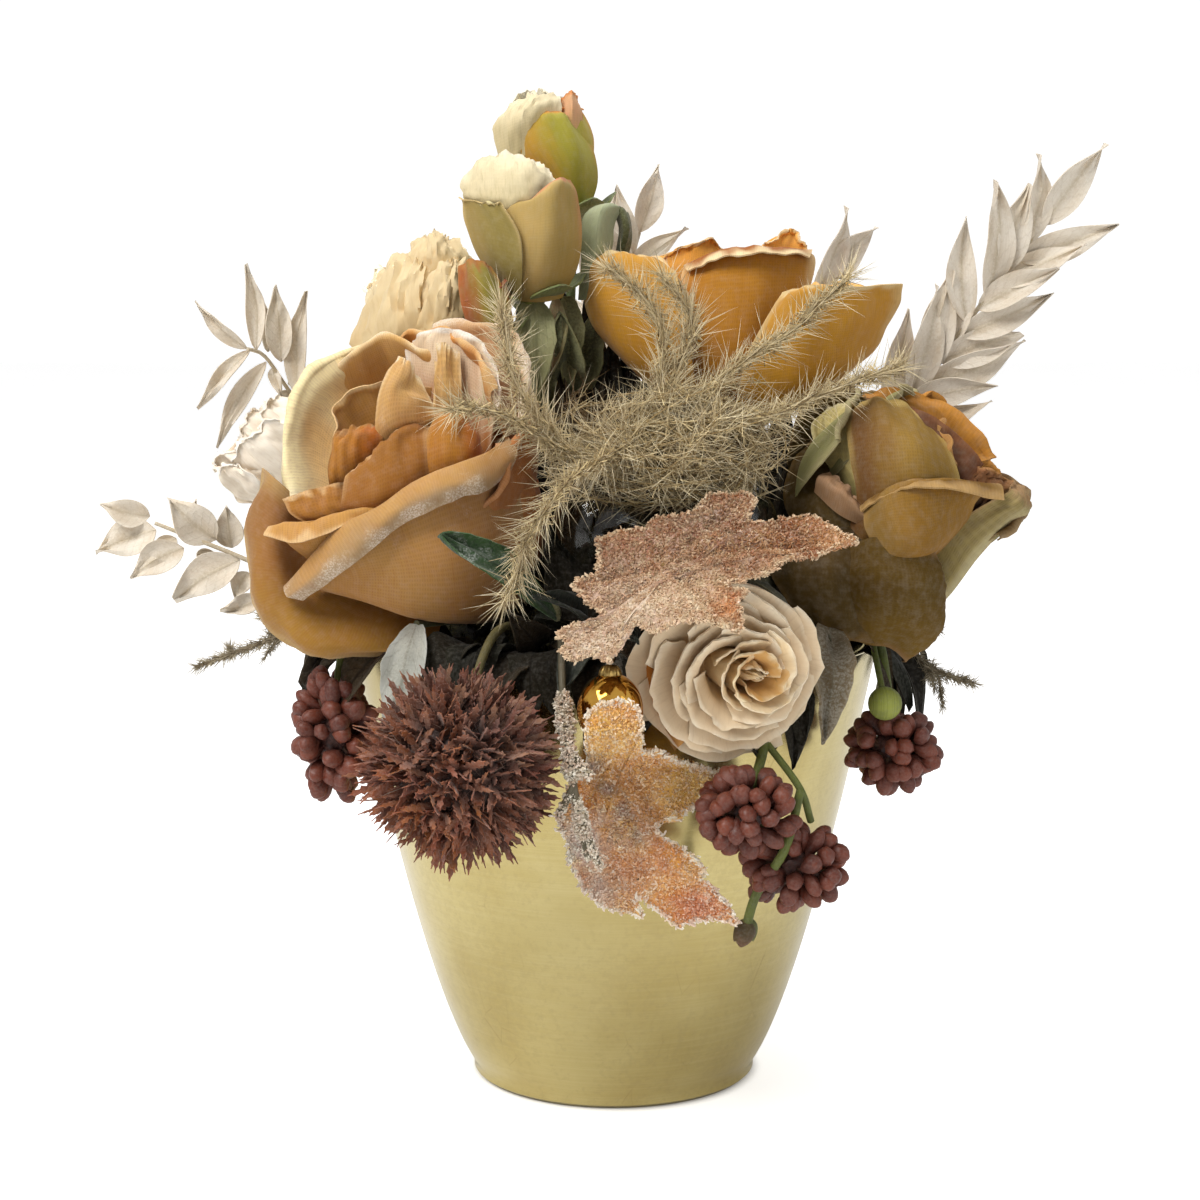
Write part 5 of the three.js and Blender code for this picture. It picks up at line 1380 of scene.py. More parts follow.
OLIVE_PETALS = (
    *inner_petals(8, 130, 120, 2.2, 1.6, 56, OLIVE_LIP, 1.5, 6.0, ruffle=1.4, crumple=0.5),
    Petal(100, 60, 8, 21, 17, 56, OLIVE_FRILL, roll=1.2, ruffle=1.6, crumple=0.2),
    Petal(25, 52, 8, 20, 17, 56, OLIVE_FRILL, roll=1.2, ruffle=1.6, crumple=0.2),
    Petal(55, 44, 8, 21, 20, 54, OLIVE_FRILL, roll=1.2, ruffle=1.6, crumple=0.2),
    Petal(160, 52, 8, 22, 17, 56, OLIVE_GREEN, roll=1.0, ruffle=1.6, crumple=0.4),
    Petal(14, 42, 9, 28, 28, 56, OLIVE_PALE, roll=2.0, ruffle=1.4),
    Petal(168, 46, 9, 28, 25, 45, OLIVE_GREEN, roll=1.2, ruffle=1.2),
    Petal(88, 56, 9.5, 30, 33, 40, OLIVE_DARK, roll=1.5, ruffle=1.5),
    Petal(125, 46, 9.5, 30, 30, 42, OLIVE_DARK, roll=1.5, ruffle=1.5),
    LaidPetal((  # the frilled petals at the top right
        ((895, 450, -40), (925, 460, -40), (950, 480, -42), (965, 500, -44)),
        ((880, 415, -44), (915, 428, -46), (948, 445, -47), (972, 470, -48)),
        ((866, 400, -41), (905, 405, -42), (945, 425, -43), (986, 462, -45)),
        ((862, 397, -38), (902, 389, -38), (952, 408, -39), (998, 456, -43)),
    ), OLIVE_FRILL, True, 1.0, 0.35),
    LaidPetal((
        ((876, 452, -44), (905, 462, -46), (935, 480, -48), (952, 500, -50)),
        ((872, 420, -48), (910, 432, -52), (942, 452, -53), (966, 486, -52)),
        ((866, 399, -45), (907, 405, -50), (948, 426, -51), (986, 464, -50)),
    ), PetalDye("6E4630", "6E4630", "4A2E18", "8A5A3C", rim=0.08), False, 0.9, 0.15),
    LaidPetal((
        ((938, 520, -46), (960, 515, -48), (982, 505, -48)),
        ((950, 486, -50), (976, 482, -51), (1002, 492, -49)),
        ((957, 468, -50), (986, 468, -50), (1013, 482, -47)),
    ), PetalDye("7A5234", "8A5C3A", "4A2E18", "A87848", rim=0.08), True, 1.0, 0.3),
    LaidPetal((  # the dome
        ((835, 560, -48), (850, 560, -54), (880, 555, -56), (915, 545, -52)),
        ((856, 505, -58), (885, 505, -66), (920, 500, -66), (957, 492, -58)),
        ((850, 460, -56), (885, 455, -65), (925, 455, -65), (959, 478, -56)),
        ((846, 425, -50), (880, 416, -58), (915, 425, -58), (948, 446, -54)),
        ((852, 407, -44), (874, 398, -50), (902, 402, -51), (930, 422, -50)),
    ), OLIVE_SATIN, False, 0.5),
    LaidPetal((  # the pale strip at its left
        ((850, 540, -40), (862, 535, -45), (874, 530, -50)),
        ((846, 490, -48), (854, 485, -52), (864, 480, -56)),
        ((820, 455, -42), (838, 455, -48), (856, 455, -54)),
        ((811, 425, -36), (830, 420, -42), (852, 420, -48)),
        ((828, 408, -33), (840, 403, -38), (854, 403, -42)),
    ), OLIVE_STRIP, False, 0.6),
    LaidPetal((  # the right flank, with its curled tip
        ((850, 590, -40), (880, 600, -44), (912, 606, -42)),
        ((928, 560, -52), (938, 590, -51), (943, 602, -44)),
        ((952, 528, -54), (970, 548, -53), (979, 556, -46)),
        ((982, 506, -52), (1000, 518, -52), (1010, 524, -46)),
        ((1010, 490, -50), (1025, 502, -51), (1028, 514, -46)),
        ((1000, 484, -46), (1016, 482, -45), (1030, 496, -43)),
    ), OLIVE_CURL, False, 0.7),
    LaidPetal((  # the cup in front of the dome
        ((830, 575, -52), (860, 582, -58), (900, 578, -58), (940, 558, -48)),
        ((868, 548, -66), (900, 552, -72), (935, 550, -68), (968, 520, -54)),
        ((864, 526, -66), (897, 521, -73), (932, 520, -71), (976, 503, -56)),
        ((862, 509, -64), (892, 490, -70), (935, 481, -68), (990, 488, -54)),
        ((860, 507, -62), (893, 487, -67), (938, 479, -66), (1000, 486, -52)),
        ((863, 513, -65), (894, 492, -71), (940, 489, -71), (1004, 500, -55)),
    ), OLIVE_CUP, False, 0.5),
    LaidPetal((  # the dark petals behind and beneath
        ((830, 560, -44), (845, 560, -50), (862, 555, -54)),
        ((786, 510, -44), (820, 515, -52), (860, 525, -56)),
        ((790, 465, -38), (820, 465, -44), (852, 500, -50)),
        ((812, 438, -34), (830, 450, -40), (850, 480, -46)),
    ), OLIVE_SHADOW, False, 0.8),
    LaidPetal((
        ((775, 540, -46), (805, 530, -50), (840, 528, -54), (868, 532, -56)),
        ((770, 570, -58), (805, 566, -62), (842, 562, -64), (874, 562, -62)),
        ((785, 598, -60), (815, 606, -63), (848, 610, -64), (880, 608, -62)),
        ((798, 614, -56), (822, 632, -58), (852, 639, -58), (888, 642, -56)),
    ), OLIVE_SHADOW, False, 0.8),
    LaidPetal((  # the flap at the left
        ((814, 492, -50), (838, 514, -56), (866, 528, -58)),
        ((818, 476, -53), (843, 494, -59), (866, 517, -61)),
        ((830, 471, -50), (848, 486, -55), (863, 506, -58)),
    ), PetalDye("B08A68", "8E6E50", "9A7450", "C29C7C", rim=0.1), False, 0.5),
    LaidPetal((  # the drooping petal in front
        ((815, 575, -44), (815, 585, -46), (812, 595, -44), (808, 600, -40)),
        ((862, 540, -66), (860, 580, -69), (858, 615, -64), (856, 640, -54)),
        ((905, 540, -70), (914, 585, -71), (908, 625, -66), (888, 648, -57)),
        ((933, 551, -67), (944, 588, -66), (938, 632, -61), (905, 661, -54)),
        ((936, 556, -63), (945, 590, -62), (939, 634, -57), (903, 663, -50)),
    ), OLIVE_BROWN, False, 0.6),
)

CREAM_RING = PetalDye("EBD2A3", "EDD3A7", "DDB276", "F8E8C9", rim=0.04)
CREAM_OUTER = PetalDye("E6D0AD", "ECD6B4", "E0BD89", "F2E4CA", rim=0.04)
CREAM_SHIFT = ((0.0, 0.0), (2.5, 1.0), (7.0, 3.0))


def ring_of_petals(count: int, turn: float, spread: float, belly: float, lip: float, height: float,
                   dye: PetalDye, roll: float, **more: float | Entry) -> list[Petal]:
    """Petals spaced evenly round a bloom, no two quite the same."""
    step = 360 / count
    return [
        Petal(turn + step * i + 6 * math.sin(5 * i + turn), spread, 5, belly + 0.7 * math.sin(3 * i), lip,
              height + 0.6 * math.cos(4 * i), dye, roll=roll, lap=1.5, **more)
        for i in range(count)
    ]


CREAM_TAN = PetalDye("E2C088", "D6A45C", "B87C34", "F4E0B8", rim=0.05)
CREAM_ORANGE = PetalDye("C4822E", "B8742A", "8A4E14", "DCA860", rim=0.05)
CREAM_FRONT_PETALS = (
    *ring_of_petals(4, 75, 66, 18.0, 24.0, 7.5, CREAM_OUTER, 0.5, ruffle=0.9, shift=CREAM_SHIFT[0]),
    *ring_of_petals(4, 30, 66, 14.5, 20.6, 11.5, CREAM_OUTER, 0.5, ruffle=0.9, shift=CREAM_SHIFT[0]),
    *ring_of_petals(4, -10, 66, 11.0, 16.6, 14.6, CREAM_OUTER, 0.4, ruffle=0.8, shift=CREAM_SHIFT[1]),
    *ring_of_petals(4, 60, 66, 8.0, 13.2, 17.0, CREAM_OUTER, 0.4, ruffle=0.7, shift=CREAM_SHIFT[1]),
    *ring_of_petals(4, 20, 66, 5.6, 9.8, 18.6, CREAM_RING, 0.3, ruffle=0.6, shift=CREAM_SHIFT[2]),
    *ring_of_petals(3, 70, 84, 3.6, 6.6, 19.6, CREAM_TAN, 0.3, ruffle=0.5, shift=CREAM_SHIFT[2]),
    *inner_petals(4, 20, 95, 1.0, 0.8, 19.8, CREAM_RING, 0.8, ruffle=0.6, crumple=0.25, shift=CREAM_SHIFT[2]),
    LaidPetal((  # the orange petal at the left edge
        ((668, 640, -83), (666, 672, -84), (674, 705, -84), (690, 733, -83)),
        ((654, 636, -85), (652, 668, -87), (661, 704, -87), (684, 742, -86)),
        ((643, 634, -81), (640, 664, -82), (648, 706, -82), (675, 750, -81)),
    ), CREAM_ORANGE, False, 0.7),
)

CRUMPLED = PetalDye("FFEEC8", "FCE2B0", "F4CE94", "FFF8E4", rim=0.04)
CRUMPLED_SUNNY = PetalDye("DECAA0", "DCC292", "CEA86C", "F0E2C0", rim=0.05)
CRUMPLED_PALE = PetalDye("FFF6E6", "FFEED8", "F8DCB8", "FFFCF4", rim=0.04)
CREAM_HIGH_PETALS = (
    *inner_petals(8, 40, 90, 2.2, 1.5, 32, CRUMPLED, 1.6, 3.0, ruffle=1.3, crumple=0.4),
    *ring_of_petals(4, -100, 60, 16, 9, 33, CRUMPLED, 1.2, ruffle=1.7, crumple=0.5),
    *ring_of_petals(5, -60, 52, 18, 12.5, 30, CRUMPLED, 1.2, ruffle=1.8, crumple=0.5),
    LaidPetal((  # the lobe on top
        ((412, 296, 8), (440, 296, 3), (470, 292, 8)),
        ((404, 268, 8), (438, 262, 0), (474, 268, 6)),
        ((414, 244, 10), (437, 234, 6), (462, 246, 9)),
        ((424, 240, 18), (440, 236, 18), (456, 244, 18)),
    ), CRUMPLED_SUNNY, False, 1.2, 0.6),
    LaidPetal((  # the broad one on the left
        ((364, 362, 14), (392, 366, 3), (420, 366, -1), (448, 360, 2)),
        ((352, 342, 16), (384, 330, 0), (416, 326, -5), (446, 328, 0)),
        ((366, 302, 15), (388, 290, 3), (412, 288, -2), (436, 294, 0)),
        ((388, 270, 16), (402, 258, 9), (420, 260, 4), (436, 272, 4)),
        ((398, 264, 22), (408, 256, 18), (422, 258, 14), (434, 268, 10)),
    ), CRUMPLED_SUNNY, False, 1.6, 0.9),
    LaidPetal((  # the rounded one on the right
        ((424, 352, -3), (446, 356, -7), (472, 350, -3)),
        ((418, 322, -4), (446, 320, -10), (478, 322, -4)),
        ((423, 290, -2), (448, 282, -9), (474, 288, -3)),
        ((438, 268, 2), (452, 261, -3), (466, 266, 1)),
        ((444, 268, 8), (453, 263, 6), (462, 267, 8)),
    ), CRUMPLED_SUNNY, False, 1.3, 0.8),
)
CREAM_LOW_PETALS = (
    *inner_petals(6, 0, 95, 2.2, 1.5, 29, CRUMPLED_PALE, 1.6, 3.0, ruffle=1.2, crumple=0.4),
    *ring_of_petals(4, -60, 58, 13.5, 9.5, 30, CRUMPLED_PALE, 1.0, ruffle=1.6, crumple=0.4),
    *ring_of_petals(5, -20, 50, 16, 12.5, 28, CRUMPLED_PALE, 1.0, ruffle=1.6, crumple=0.4),
)

ROSES = (
    Rose("rose_apricot", "apricot_silk", (-42, -26, 152), (-0.28, -0.6, 0.75), APRICOT_PETALS, (-30, -17),
         thickness=0.4, cup=12, grain=(30, 36)),
    Rose("rose_golden", "gold_silk", (33, 5, 184), (0.04, 0.16, 1), GOLD_PETALS, (18, 6), cup=12, grain=(30, 32)),
    Rose("rose_olive", "olive_silk", (54, -28, 149), (0.66, -0.3, 0.68), OLIVE_PETALS, (38, -15), cup=11,
         grain=(30, 32)),
    Rose("rose_cream_front", "cream_silk", (27, -78.5, 132), (0.1, -0.98, -0.16), CREAM_FRONT_PETALS, (16, -48),
         ((26, -74, 135), (22, -62, 140)), 0.25, 7, (20, 18)),
    Rose("rose_cream_high", "cream_silk", (-47, 22, 202), (-0.32, -0.1, 0.9), CREAM_HIGH_PETALS, (-30, 8),
         thickness=0.3, cup=8, grain=(28, 30)),
    Rose("rose_cream_low", "cream_silk", (-84, 12, 166), (-0.75, -0.05, 0.6), CREAM_LOW_PETALS, (-46, 3),
         thickness=0.3, cup=7, grain=(26, 26)),
)
ROSE_SILKS = {"apricot_silk": "apricot", "gold_silk": "golden", "olive_silk": "olive", "cream_silk": "cream"}


@dataclass(frozen=True)
class Bud:
    """A furled bud."""

    name: str
    base: Spot
    axis: Spot
    radius: float
    height: float
    dyes: tuple[PetalDye, ...]
    heart: PetalDye
    laid: tuple[LaidPetal, ...] = ()

    def petals(self) -> list[Petal | LaidPetal]:
        """Its outer petals, which stand where the solid's do, the furled ones inside and the laid ones."""
        count = len(self.dyes)
        outer = [
            Petal(i * 360 / count - 60, 240 / count + 6, 3, self.radius, self.radius * 0.72,
                  self.height * (0.84 - 0.05 * (i % 2)), dye, roll=1.0, lap=1.5, ruffle=0.6, drop=0.06)
            for i, dye in enumerate(self.dyes)
        ]
        inner = inner_petals(8, 20, 110, self.radius * 0.14, self.radius * 0.085, self.height * 1.02, self.heart, 1.0,
                             4.0, ruffle=0.9, crumple=0.5)
        return [*inner, *outer, *self.laid]


CREAM_KHAKI = PetalDye("D9D09A", "EADFB8", "9A9A48", "EFE6C8", "BDB670", -1.0, 0.1)
KHAKI = PetalDye("B9AF66", "E2D6A6", "8A8C3A", "D8CE96", rim=0.08)
GREEN_OLIVE = PetalDye("A8A544", "C9A85A", "7C8430", "D98A48", "B9A648", 1.0, 0.1)
RED_GREEN = PetalDye("7C7038", "A8643C", "5E6430", "A0583A", "985A38", 1.0, 0.16)
BUD_HEART = PetalDye("F0E6C8", "E6D4A6", "B9A060", "F8F1DC", rim=0.1)
BEIGE_BUD = PetalDye("C6A668", "E6CC9C", "6A5420", "D08A64", "AC9450", 1.0, 0.05)
OLIVE_BUD = PetalDye("93824A", "E2D6A6", "5E501E", "D8BC84", "A48A50", -1.0, 0.05)
CREAM_CREPE = PetalDye("EADBB6", "E2CE9C", "D2BC84", "F2E8CE", rim=0.08)
LEAF_GREEN_BUD = PetalDye("A8A03A", "C9A85A", "7C7A26", "D08838", "D49238", -1.0, 0.1)
PINK_BUD = PetalDye("DDAA80", "E0B088", "D0B070", "D98A50", rim=0.1)
FRONT_BUD_PETALS = (
    LaidPetal((
        ((468, 208, -11), (500, 214, -20.5), (530, 212, -21), (560, 204, -12)),
        ((461, 190, -13), (498, 194, -22), (532, 192, -22), (562, 188, -12)),
        ((467, 171, -11), (498, 164, -18), (530, 167, -18), (553, 175, -9)),
        ((482, 159, -2), (502, 153, -4), (526, 157, -4), (545, 167, -2)),
    ), CREAM_CREPE, False, 0.9, 0.45),
    LaidPetal((
        ((512, 300, -14), (528, 302, -17), (545, 302, -17), (562, 298, -12)),
        ((498, 270, -18), (525, 275, -22.5), (552, 275, -21.5), (578, 266, -12)),
        ((498, 235, -20), (528, 235, -25), (556, 233, -23.5), (582, 226, -12)),
        ((502, 208, -21), (530, 204, -25), (556, 190, -23.5), (577, 194, -13)),
        ((512, 203, -19), (530, 199, -23), (557, 178, -21), (570, 180, -14)),
    ), BEIGE_BUD, False, 0.4),
    LaidPetal((
        ((505, 290, -13), (512, 295, -17), (520, 300, -19)),
        ((478, 257, -13), (500, 265, -21), (522, 268, -25)),
        ((466, 225, -12), (490, 225, -21), (519, 234, -26)),
        ((462, 204, -12), (484, 205, -20), (503, 207, -24.5)),
        ((458, 198, -12), (482, 203, -20), (498, 205, -24)),
    ), OLIVE_BUD, False, 0.4),
)
BACK_BUD_PETALS = (
    LaidPetal((
        ((500, 165, 20), (515, 160, 17), (535, 150, 17), (560, 140, 20)),
        ((493, 128, 19), (512, 118, 14), (535, 112, 14), (562, 112, 20)),
        ((506, 109, 22), (525, 99, 18), (543, 96, 19), (560, 98, 22)),
        ((520, 103, 30), (530, 97, 30), (545, 95, 31), (560, 98, 31)),
    ), CREAM_CREPE, False, 0.8, 0.35),
    LaidPetal((
        ((560, 140, 24), (572, 140, 22), (583, 138, 26)),
        ((560, 115, 22), (572, 112, 20), (583, 115, 25)),
        ((561, 98, 23), (572, 90, 22), (579, 100, 26)),
    ), PINK_BUD, False, 0.5),
    LaidPetal((
        ((556, 208, 24), (568, 213, 20), (580, 213, 22), (590, 208, 28)),
        ((545, 180, 20), (562, 180, 15), (582, 178, 17), (598, 180, 28)),
        ((516, 158, 18), (546, 150, 13), (574, 145, 15), (594, 150, 28)),
        ((508, 138, 18), (536, 123, 14), (562, 118, 16), (584, 130, 28)),
        ((508, 128, 20), (534, 112, 17), (558, 112, 19), (579, 120, 28)),
    ), LEAF_GREEN_BUD, False, 0.5),
)
SMALL_BUD_PETALS = (
    LaidPetal((
        ((478, 366, -24), (494, 370, -28), (511, 362, -24)),
        ((468, 330, -24), (491, 330, -31), (514, 330, -24)),
        ((459, 290, -23), (483, 288, -30), (508, 298, -24)),
        ((459, 266, -21), (472, 258, -25), (492, 266, -22)),
    ), PetalDye("8E8236", "B0A060", "5E6028", "B4703C", "A4462A", -1.0, 0.06), False, 0.5),
)
BUDS = (
    Bud("bud_front", (-24, -6, 223), (-0.1, -0.12, 1), 13.4, 37, (KHAKI, CREAM_KHAKI, KHAKI, KHAKI), BUD_HEART,
        FRONT_BUD_PETALS),
    Bud("bud_back", (-14, 30, 244), (-0.22, 0, 1), 12.5, 38, (GREEN_OLIVE, GREEN_OLIVE, CREAM_KHAKI, GREEN_OLIVE),
        BUD_HEART, BACK_BUD_PETALS),
    Bud("bud_small", (-32, -17, 213), (-0.3, -0.3, 0.9), 6, 16, (RED_GREEN, RED_GREEN, RED_GREEN), RED_GREEN,
        SMALL_BUD_PETALS),
)
CURLED_STRAP = LaidPetal((
    ((578, 300, -2), (586, 300, -4), (596, 298, -2)),
    ((581, 262, -2), (596, 257, -6), (612, 250, -2)),
    ((580, 236, -2), (597, 230, -7), (614, 228, -2)),
    ((585, 213, 0), (603, 207, -6), (620, 213, 0)),
    ((604, 204, 4), (618, 206, 0), (628, 215, 4)),
    ((619, 223, 2), (626, 228, -1), (631, 238, 3)),
    ((617, 250, 4), (622, 252, 1), (627, 257, 4)),
), PetalDye("AAB08C", "4E4E28", "8A9068", "3A4420", rim=0.05), False, 0.4)
BUD_FORK = vec(-14, 8, 184)
BUD_ENTRY = (-12.0, 8.0)


class BudSpray:
    """Three buds on one branching stem, with their sepals and strap leaves."""

    def build(self, silk_finish: Material, stem: Material,
              leaf_finish: Material) -> None:
        """Makes the buds, then what carries them."""
        blank = grid_blank(18, 22)
        green, light = colour("55632E"), colour("8A9048")
        stems = [tube(smooth_curve(stem_points([BUD_FORK], BUD_ENTRY), 20), ROSE_STEM, green, 10)]
        leaves: list[Patch] = []
        for k, bud in enumerate(BUDS):
            axis, base = unit(np.array(bud.axis)), np.array(bud.base)
            turn = turn_to(axis)
            place = placer(turn, base)
            patches = [p.patch(blank, 300 + 40 * k + i, place) for i, p in enumerate(bud.petals())]
            set_down(make_piece(f"{bud.name}_petals", joined(patches), silk_finish, 0.4, 60), "bud_silk", bud.name)
            seat = base - 0.3 * axis
            cup_end = seat - 7 * axis
            share = np.linspace(0, 1, 8)
            swell = mix(1.5, bud.radius * 0.46, np.sin(share * math.pi / 2) ** 1.4)
            stems.append(tube(mix(cup_end, seat + 2 * axis, share[:, None]), swell, light, 14))
            low = BUD_FORK + (3 * k - 4) * UP
            stems.append(tube(smooth_curve([seat - 4 * axis, cup_end, low], 16), 1.4, green, 8))
            leaves.extend(self.sepals(bud, place))
        leaves.extend(self.straps())
        set_down(make_piece("bud_sepals_and_leaves", joined(leaves), leaf_finish, 0.5), "green_stem")
        set_down(make_piece("bud_branches", joined(stems), stem), "green_stem", "bud_spray_stem")

    def sepals(self, bud: Bud, place: Callable[[Array], Array]) -> list[Patch]:
        """Pointed sepals that lie on the bud's foot and turn out at their tips."""
        blank = grid_blank(6, 12)
        u, v = blank.points[:, 0], blank.points[:, 1]
        patches = []
        for i in range(SEPALS):
            reach = bud.height * (0.15 if bud.laid else 0.42) * (1 + 0.2 * math.sin(4 * i))
            angle = math.radians(360 / SEPALS * i + 15) + u * 0.5 * np.sin(math.pi * (0.2 + 0.8 * v)) ** 0.8
            radius = bud.radius * (0.35 + 0.72 * np.sin(np.minimum(v, 0.75) / 0.75 * math.pi / 2)) + 0.9 + 2.4 * v ** 6
            local = np.stack([radius * np.cos(angle), radius * np.sin(angle), -1.5 + reach * v], 1)
            tint = mix(colour("8A9048"), colour("5E6C30"), v[:, None])
            patches.append(Patch(place(local), blank.faces, tint, np.stack([u, v], 1)))
        return patches

    def straps(self) -> list[Patch]:
        """Broad strap leaves that stand on the fork, and one that curls over behind the buds."""
        leaves = (
            (vec(-15.5, 3, 192), vec(-15, -14, 218), 12.0, "3E3E24"),
            (vec(-14, 8, 190), vec(-4, 0, 220), 10.5, "3A3420"),
            (vec(-16, 4, 188), vec(-27, -10, 208), 9.0, "6E6E3C"),
        )
        hung = (((532, 297, -9), (536, 392, -15), 10.5, "A6A478"), ((556, 298, -6), (552, 372, -12), 5.0, "A07C58"),
                ((568, 296, -4), (566, 390, -6), 8.0, "5E5634"))
        spots = [(*in_picture(np.array([a, b], float)), wide, tint) for a, b, wide, tint in hung]
        return [leaf_patch(Leaf(tuple(a), tuple(b), wide, (0.2, -1, 0.1), 3.5, 1.5, tint, "9C9A6C"), 40 + i)
                for i, (a, b, wide, tint) in enumerate((*leaves, *spots))] + [
                    CURLED_STRAP.patch(grid_blank(10, 22), 9)]


# ---------- Leaves ----------


@dataclass(frozen=True)
class Leaf:
    """A leaf from its foot to its tip, with its breadth, face direction, arch, fold and colours."""

    foot: Spot
    tip: Spot
    breadth: float
    facing: Spot
    arch: float
    fold: float
    tint: str
    edge: str
    frost: float = 0.0
    blunt: float = 1.0


def leaf_patch(leaf: Leaf, seed: int, columns: int = 8, rows: int = 18) -> Patch:
    """The leaf as an open sheet with a folded rib, curled sides and an uneven edge."""
    blank = grid_blank(columns, rows)
    u, v = blank.points[:, 0], blank.points[:, 1]
    foot, tip = np.array(leaf.foot, float), np.array(leaf.tip, float)
    along, across, normal = leaf_frame(tip - foot, np.array(leaf.facing, float))
    length = float(np.linalg.norm(tip - foot))
    half = leaf.breadth / 2 * np.sin(math.pi * np.clip(0.04 + 0.96 * v, 0, 1) ** (0.8 * leaf.blunt)) ** 0.75
    half = half * (1 + 0.05 * ripple(np.stack([np.sign(u), v * 3], 1), 0.5, seed))
    lift = leaf.arch * np.sin(math.pi * v) + leaf.fold * np.abs(u) * np.sin(math.pi * v)
    lift = lift + 0.12 * leaf.breadth * ripple(np.stack([u, v * 1.6], 1), 1.2, seed + 1) * ease(0, 0.4, v)
    spots = foot + length * v[:, None] * along + (half * u)[:, None] * across + lift[:, None] * normal
    shade = ripple(np.stack([u, v * 2], 1), 0.9, seed + 2)[:, None] * 0.1 + np.abs(u)[:, None] ** 3 * 0.6
    tint = mix(colour(leaf.tint), colour(leaf.edge), np.clip(shade + 0.12, 0, 1))
    return Patch(spots, blank.faces, tint, np.stack([u, v], 1), leaf.frost * ease(0.3, 0.8, v))


@dataclass(frozen=True)
class Ruscus:
    """A bleached spray: pointed leaves along a curved stem, where the solid's are."""

    name: str
    route: tuple[Spot, ...]
    entry: Entry
    leaves: int
    length: float
    width: float
    facing: Spot
    start: float
    spread: float
    seed: int
    laid: tuple[tuple[float, float, float, float, float, float], ...] = ()

    def build(self, material: Material) -> None:
        """Makes the leaves and their stem; where leaves are laid, it takes their feet, tips, y and breadth."""
        random = seeded(self.seed)
        fine = smooth_curve(self.route, ROUTE_STEPS + 1)
        run = path_frames(fine)[0]
        blank = grid_blank(6, 14)
        facing = np.array(self.facing, float)
        patches = []
        for i, (x, y, to_x, to_y, deep, wide) in enumerate(self.laid):
            start, tip = in_picture(np.array([(x, y, deep + 2), (to_x, to_y, deep - 2)]))
            axes = leaf_frame(tip - start, facing + vec(0.5 * (random() - 0.5), 0, 0.5 * (random() - 0.5)))
            size = float(np.linalg.norm(tip - start))
            patches.append(self.blade(blank, start, axes, size, wide / 2, size * 0.14 * (random() - 0.5), i))
        for i in range(0 if self.laid else self.leaves):
            last = i == self.leaves - 1
            t = 1.0 if last else mix(self.start, 0.97, i / (self.leaves - 1))
            k = round(t * ROUTE_STEPS)
            side = 0.0 if last else (1 if i % 2 else -1) * math.radians(self.spread + 16 * (random() - 0.5))
            normal = unit(facing + vec(random() - 0.5, 0.6 * (random() - 0.5), 0.6 * (random() - 0.5)))
            along, across, out = leaf_frame(turned_about(run[k], normal, side), normal)
            size = self.length * (0.8 + 0.35 * random())
            half = self.width / 2 * (0.85 + 0.3 * random())
            bend = size * 0.12 * (random() - 0.3)
            patches.append(self.blade(blank, fine[k], (along, across, out), size, half, bend, i))
        twig = smooth_curve(stem_points(self.route[::-1], self.entry), 60)
        bark = mix(colour("C9B899"), colour("9C8A68"), np.linspace(0, 1, 60)[:, None])
        stalk = tube(twig, np.linspace(0.55, 1.1, 60), bark, 8)
        set_down(make_piece(f"{self.name}_leaves", joined(patches), material, 0.25), "bleached_leaf", self.name)
        set_down(make_piece(f"{self.name}_twig", stalk, material), "bleached_leaf")

    def blade(self, blank: Blank, start: Array, axes: tuple[Array, Array, Array], size: float, half: float,
              bend: float, number: int) -> Patch:
        """One leaf with a raised rib, cupped sides and a drawn-out tip."""
        u, v = blank.points[:, 0], blank.points[:, 1]
        along, across, out = axes
        seed = self.seed * 31 + number
        taper = np.sin(math.pi * np.clip(v, 0, 1) ** 0.78) ** 0.95 * (1 - 0.25 * ease(0.6, 1, v)) + 0.03 * (1 - v)
        cup = 1.9 * np.abs(u) ** 1.3 * taper + 0.35 * np.exp(-(u * 9) ** 2)
        twist = 0.5 * math.sin(seed) * u * v * half
        lift = bend * np.sin(math.pi * v) + cup + twist + 1.1 * ripple(np.stack([u, v * 2], 1), 1.1, seed) * v
        sway = 0.06 * size * math.sin(seed * 1.7) * np.sin(math.pi * v)
        spots = start + (size * v)[:, None] * along + (half * u * taper + sway)[:, None] * across + lift[:, None] * out
        pale, warm = colour("E8DECE"), colour("D2BFA4")
        shade = np.clip(0.35 + 0.4 * ripple(np.stack([u, v * 2], 1), 1.4, seed + 3) - 0.3 * v, 0, 1)[:, None]
        tint = mix(mix(pale, warm, shade), colour("BFAE90"), (0.6 * np.exp(-(u * 7) ** 2))[:, None])
        return Patch(spots, blank.faces, tint, np.stack([u, v], 1))


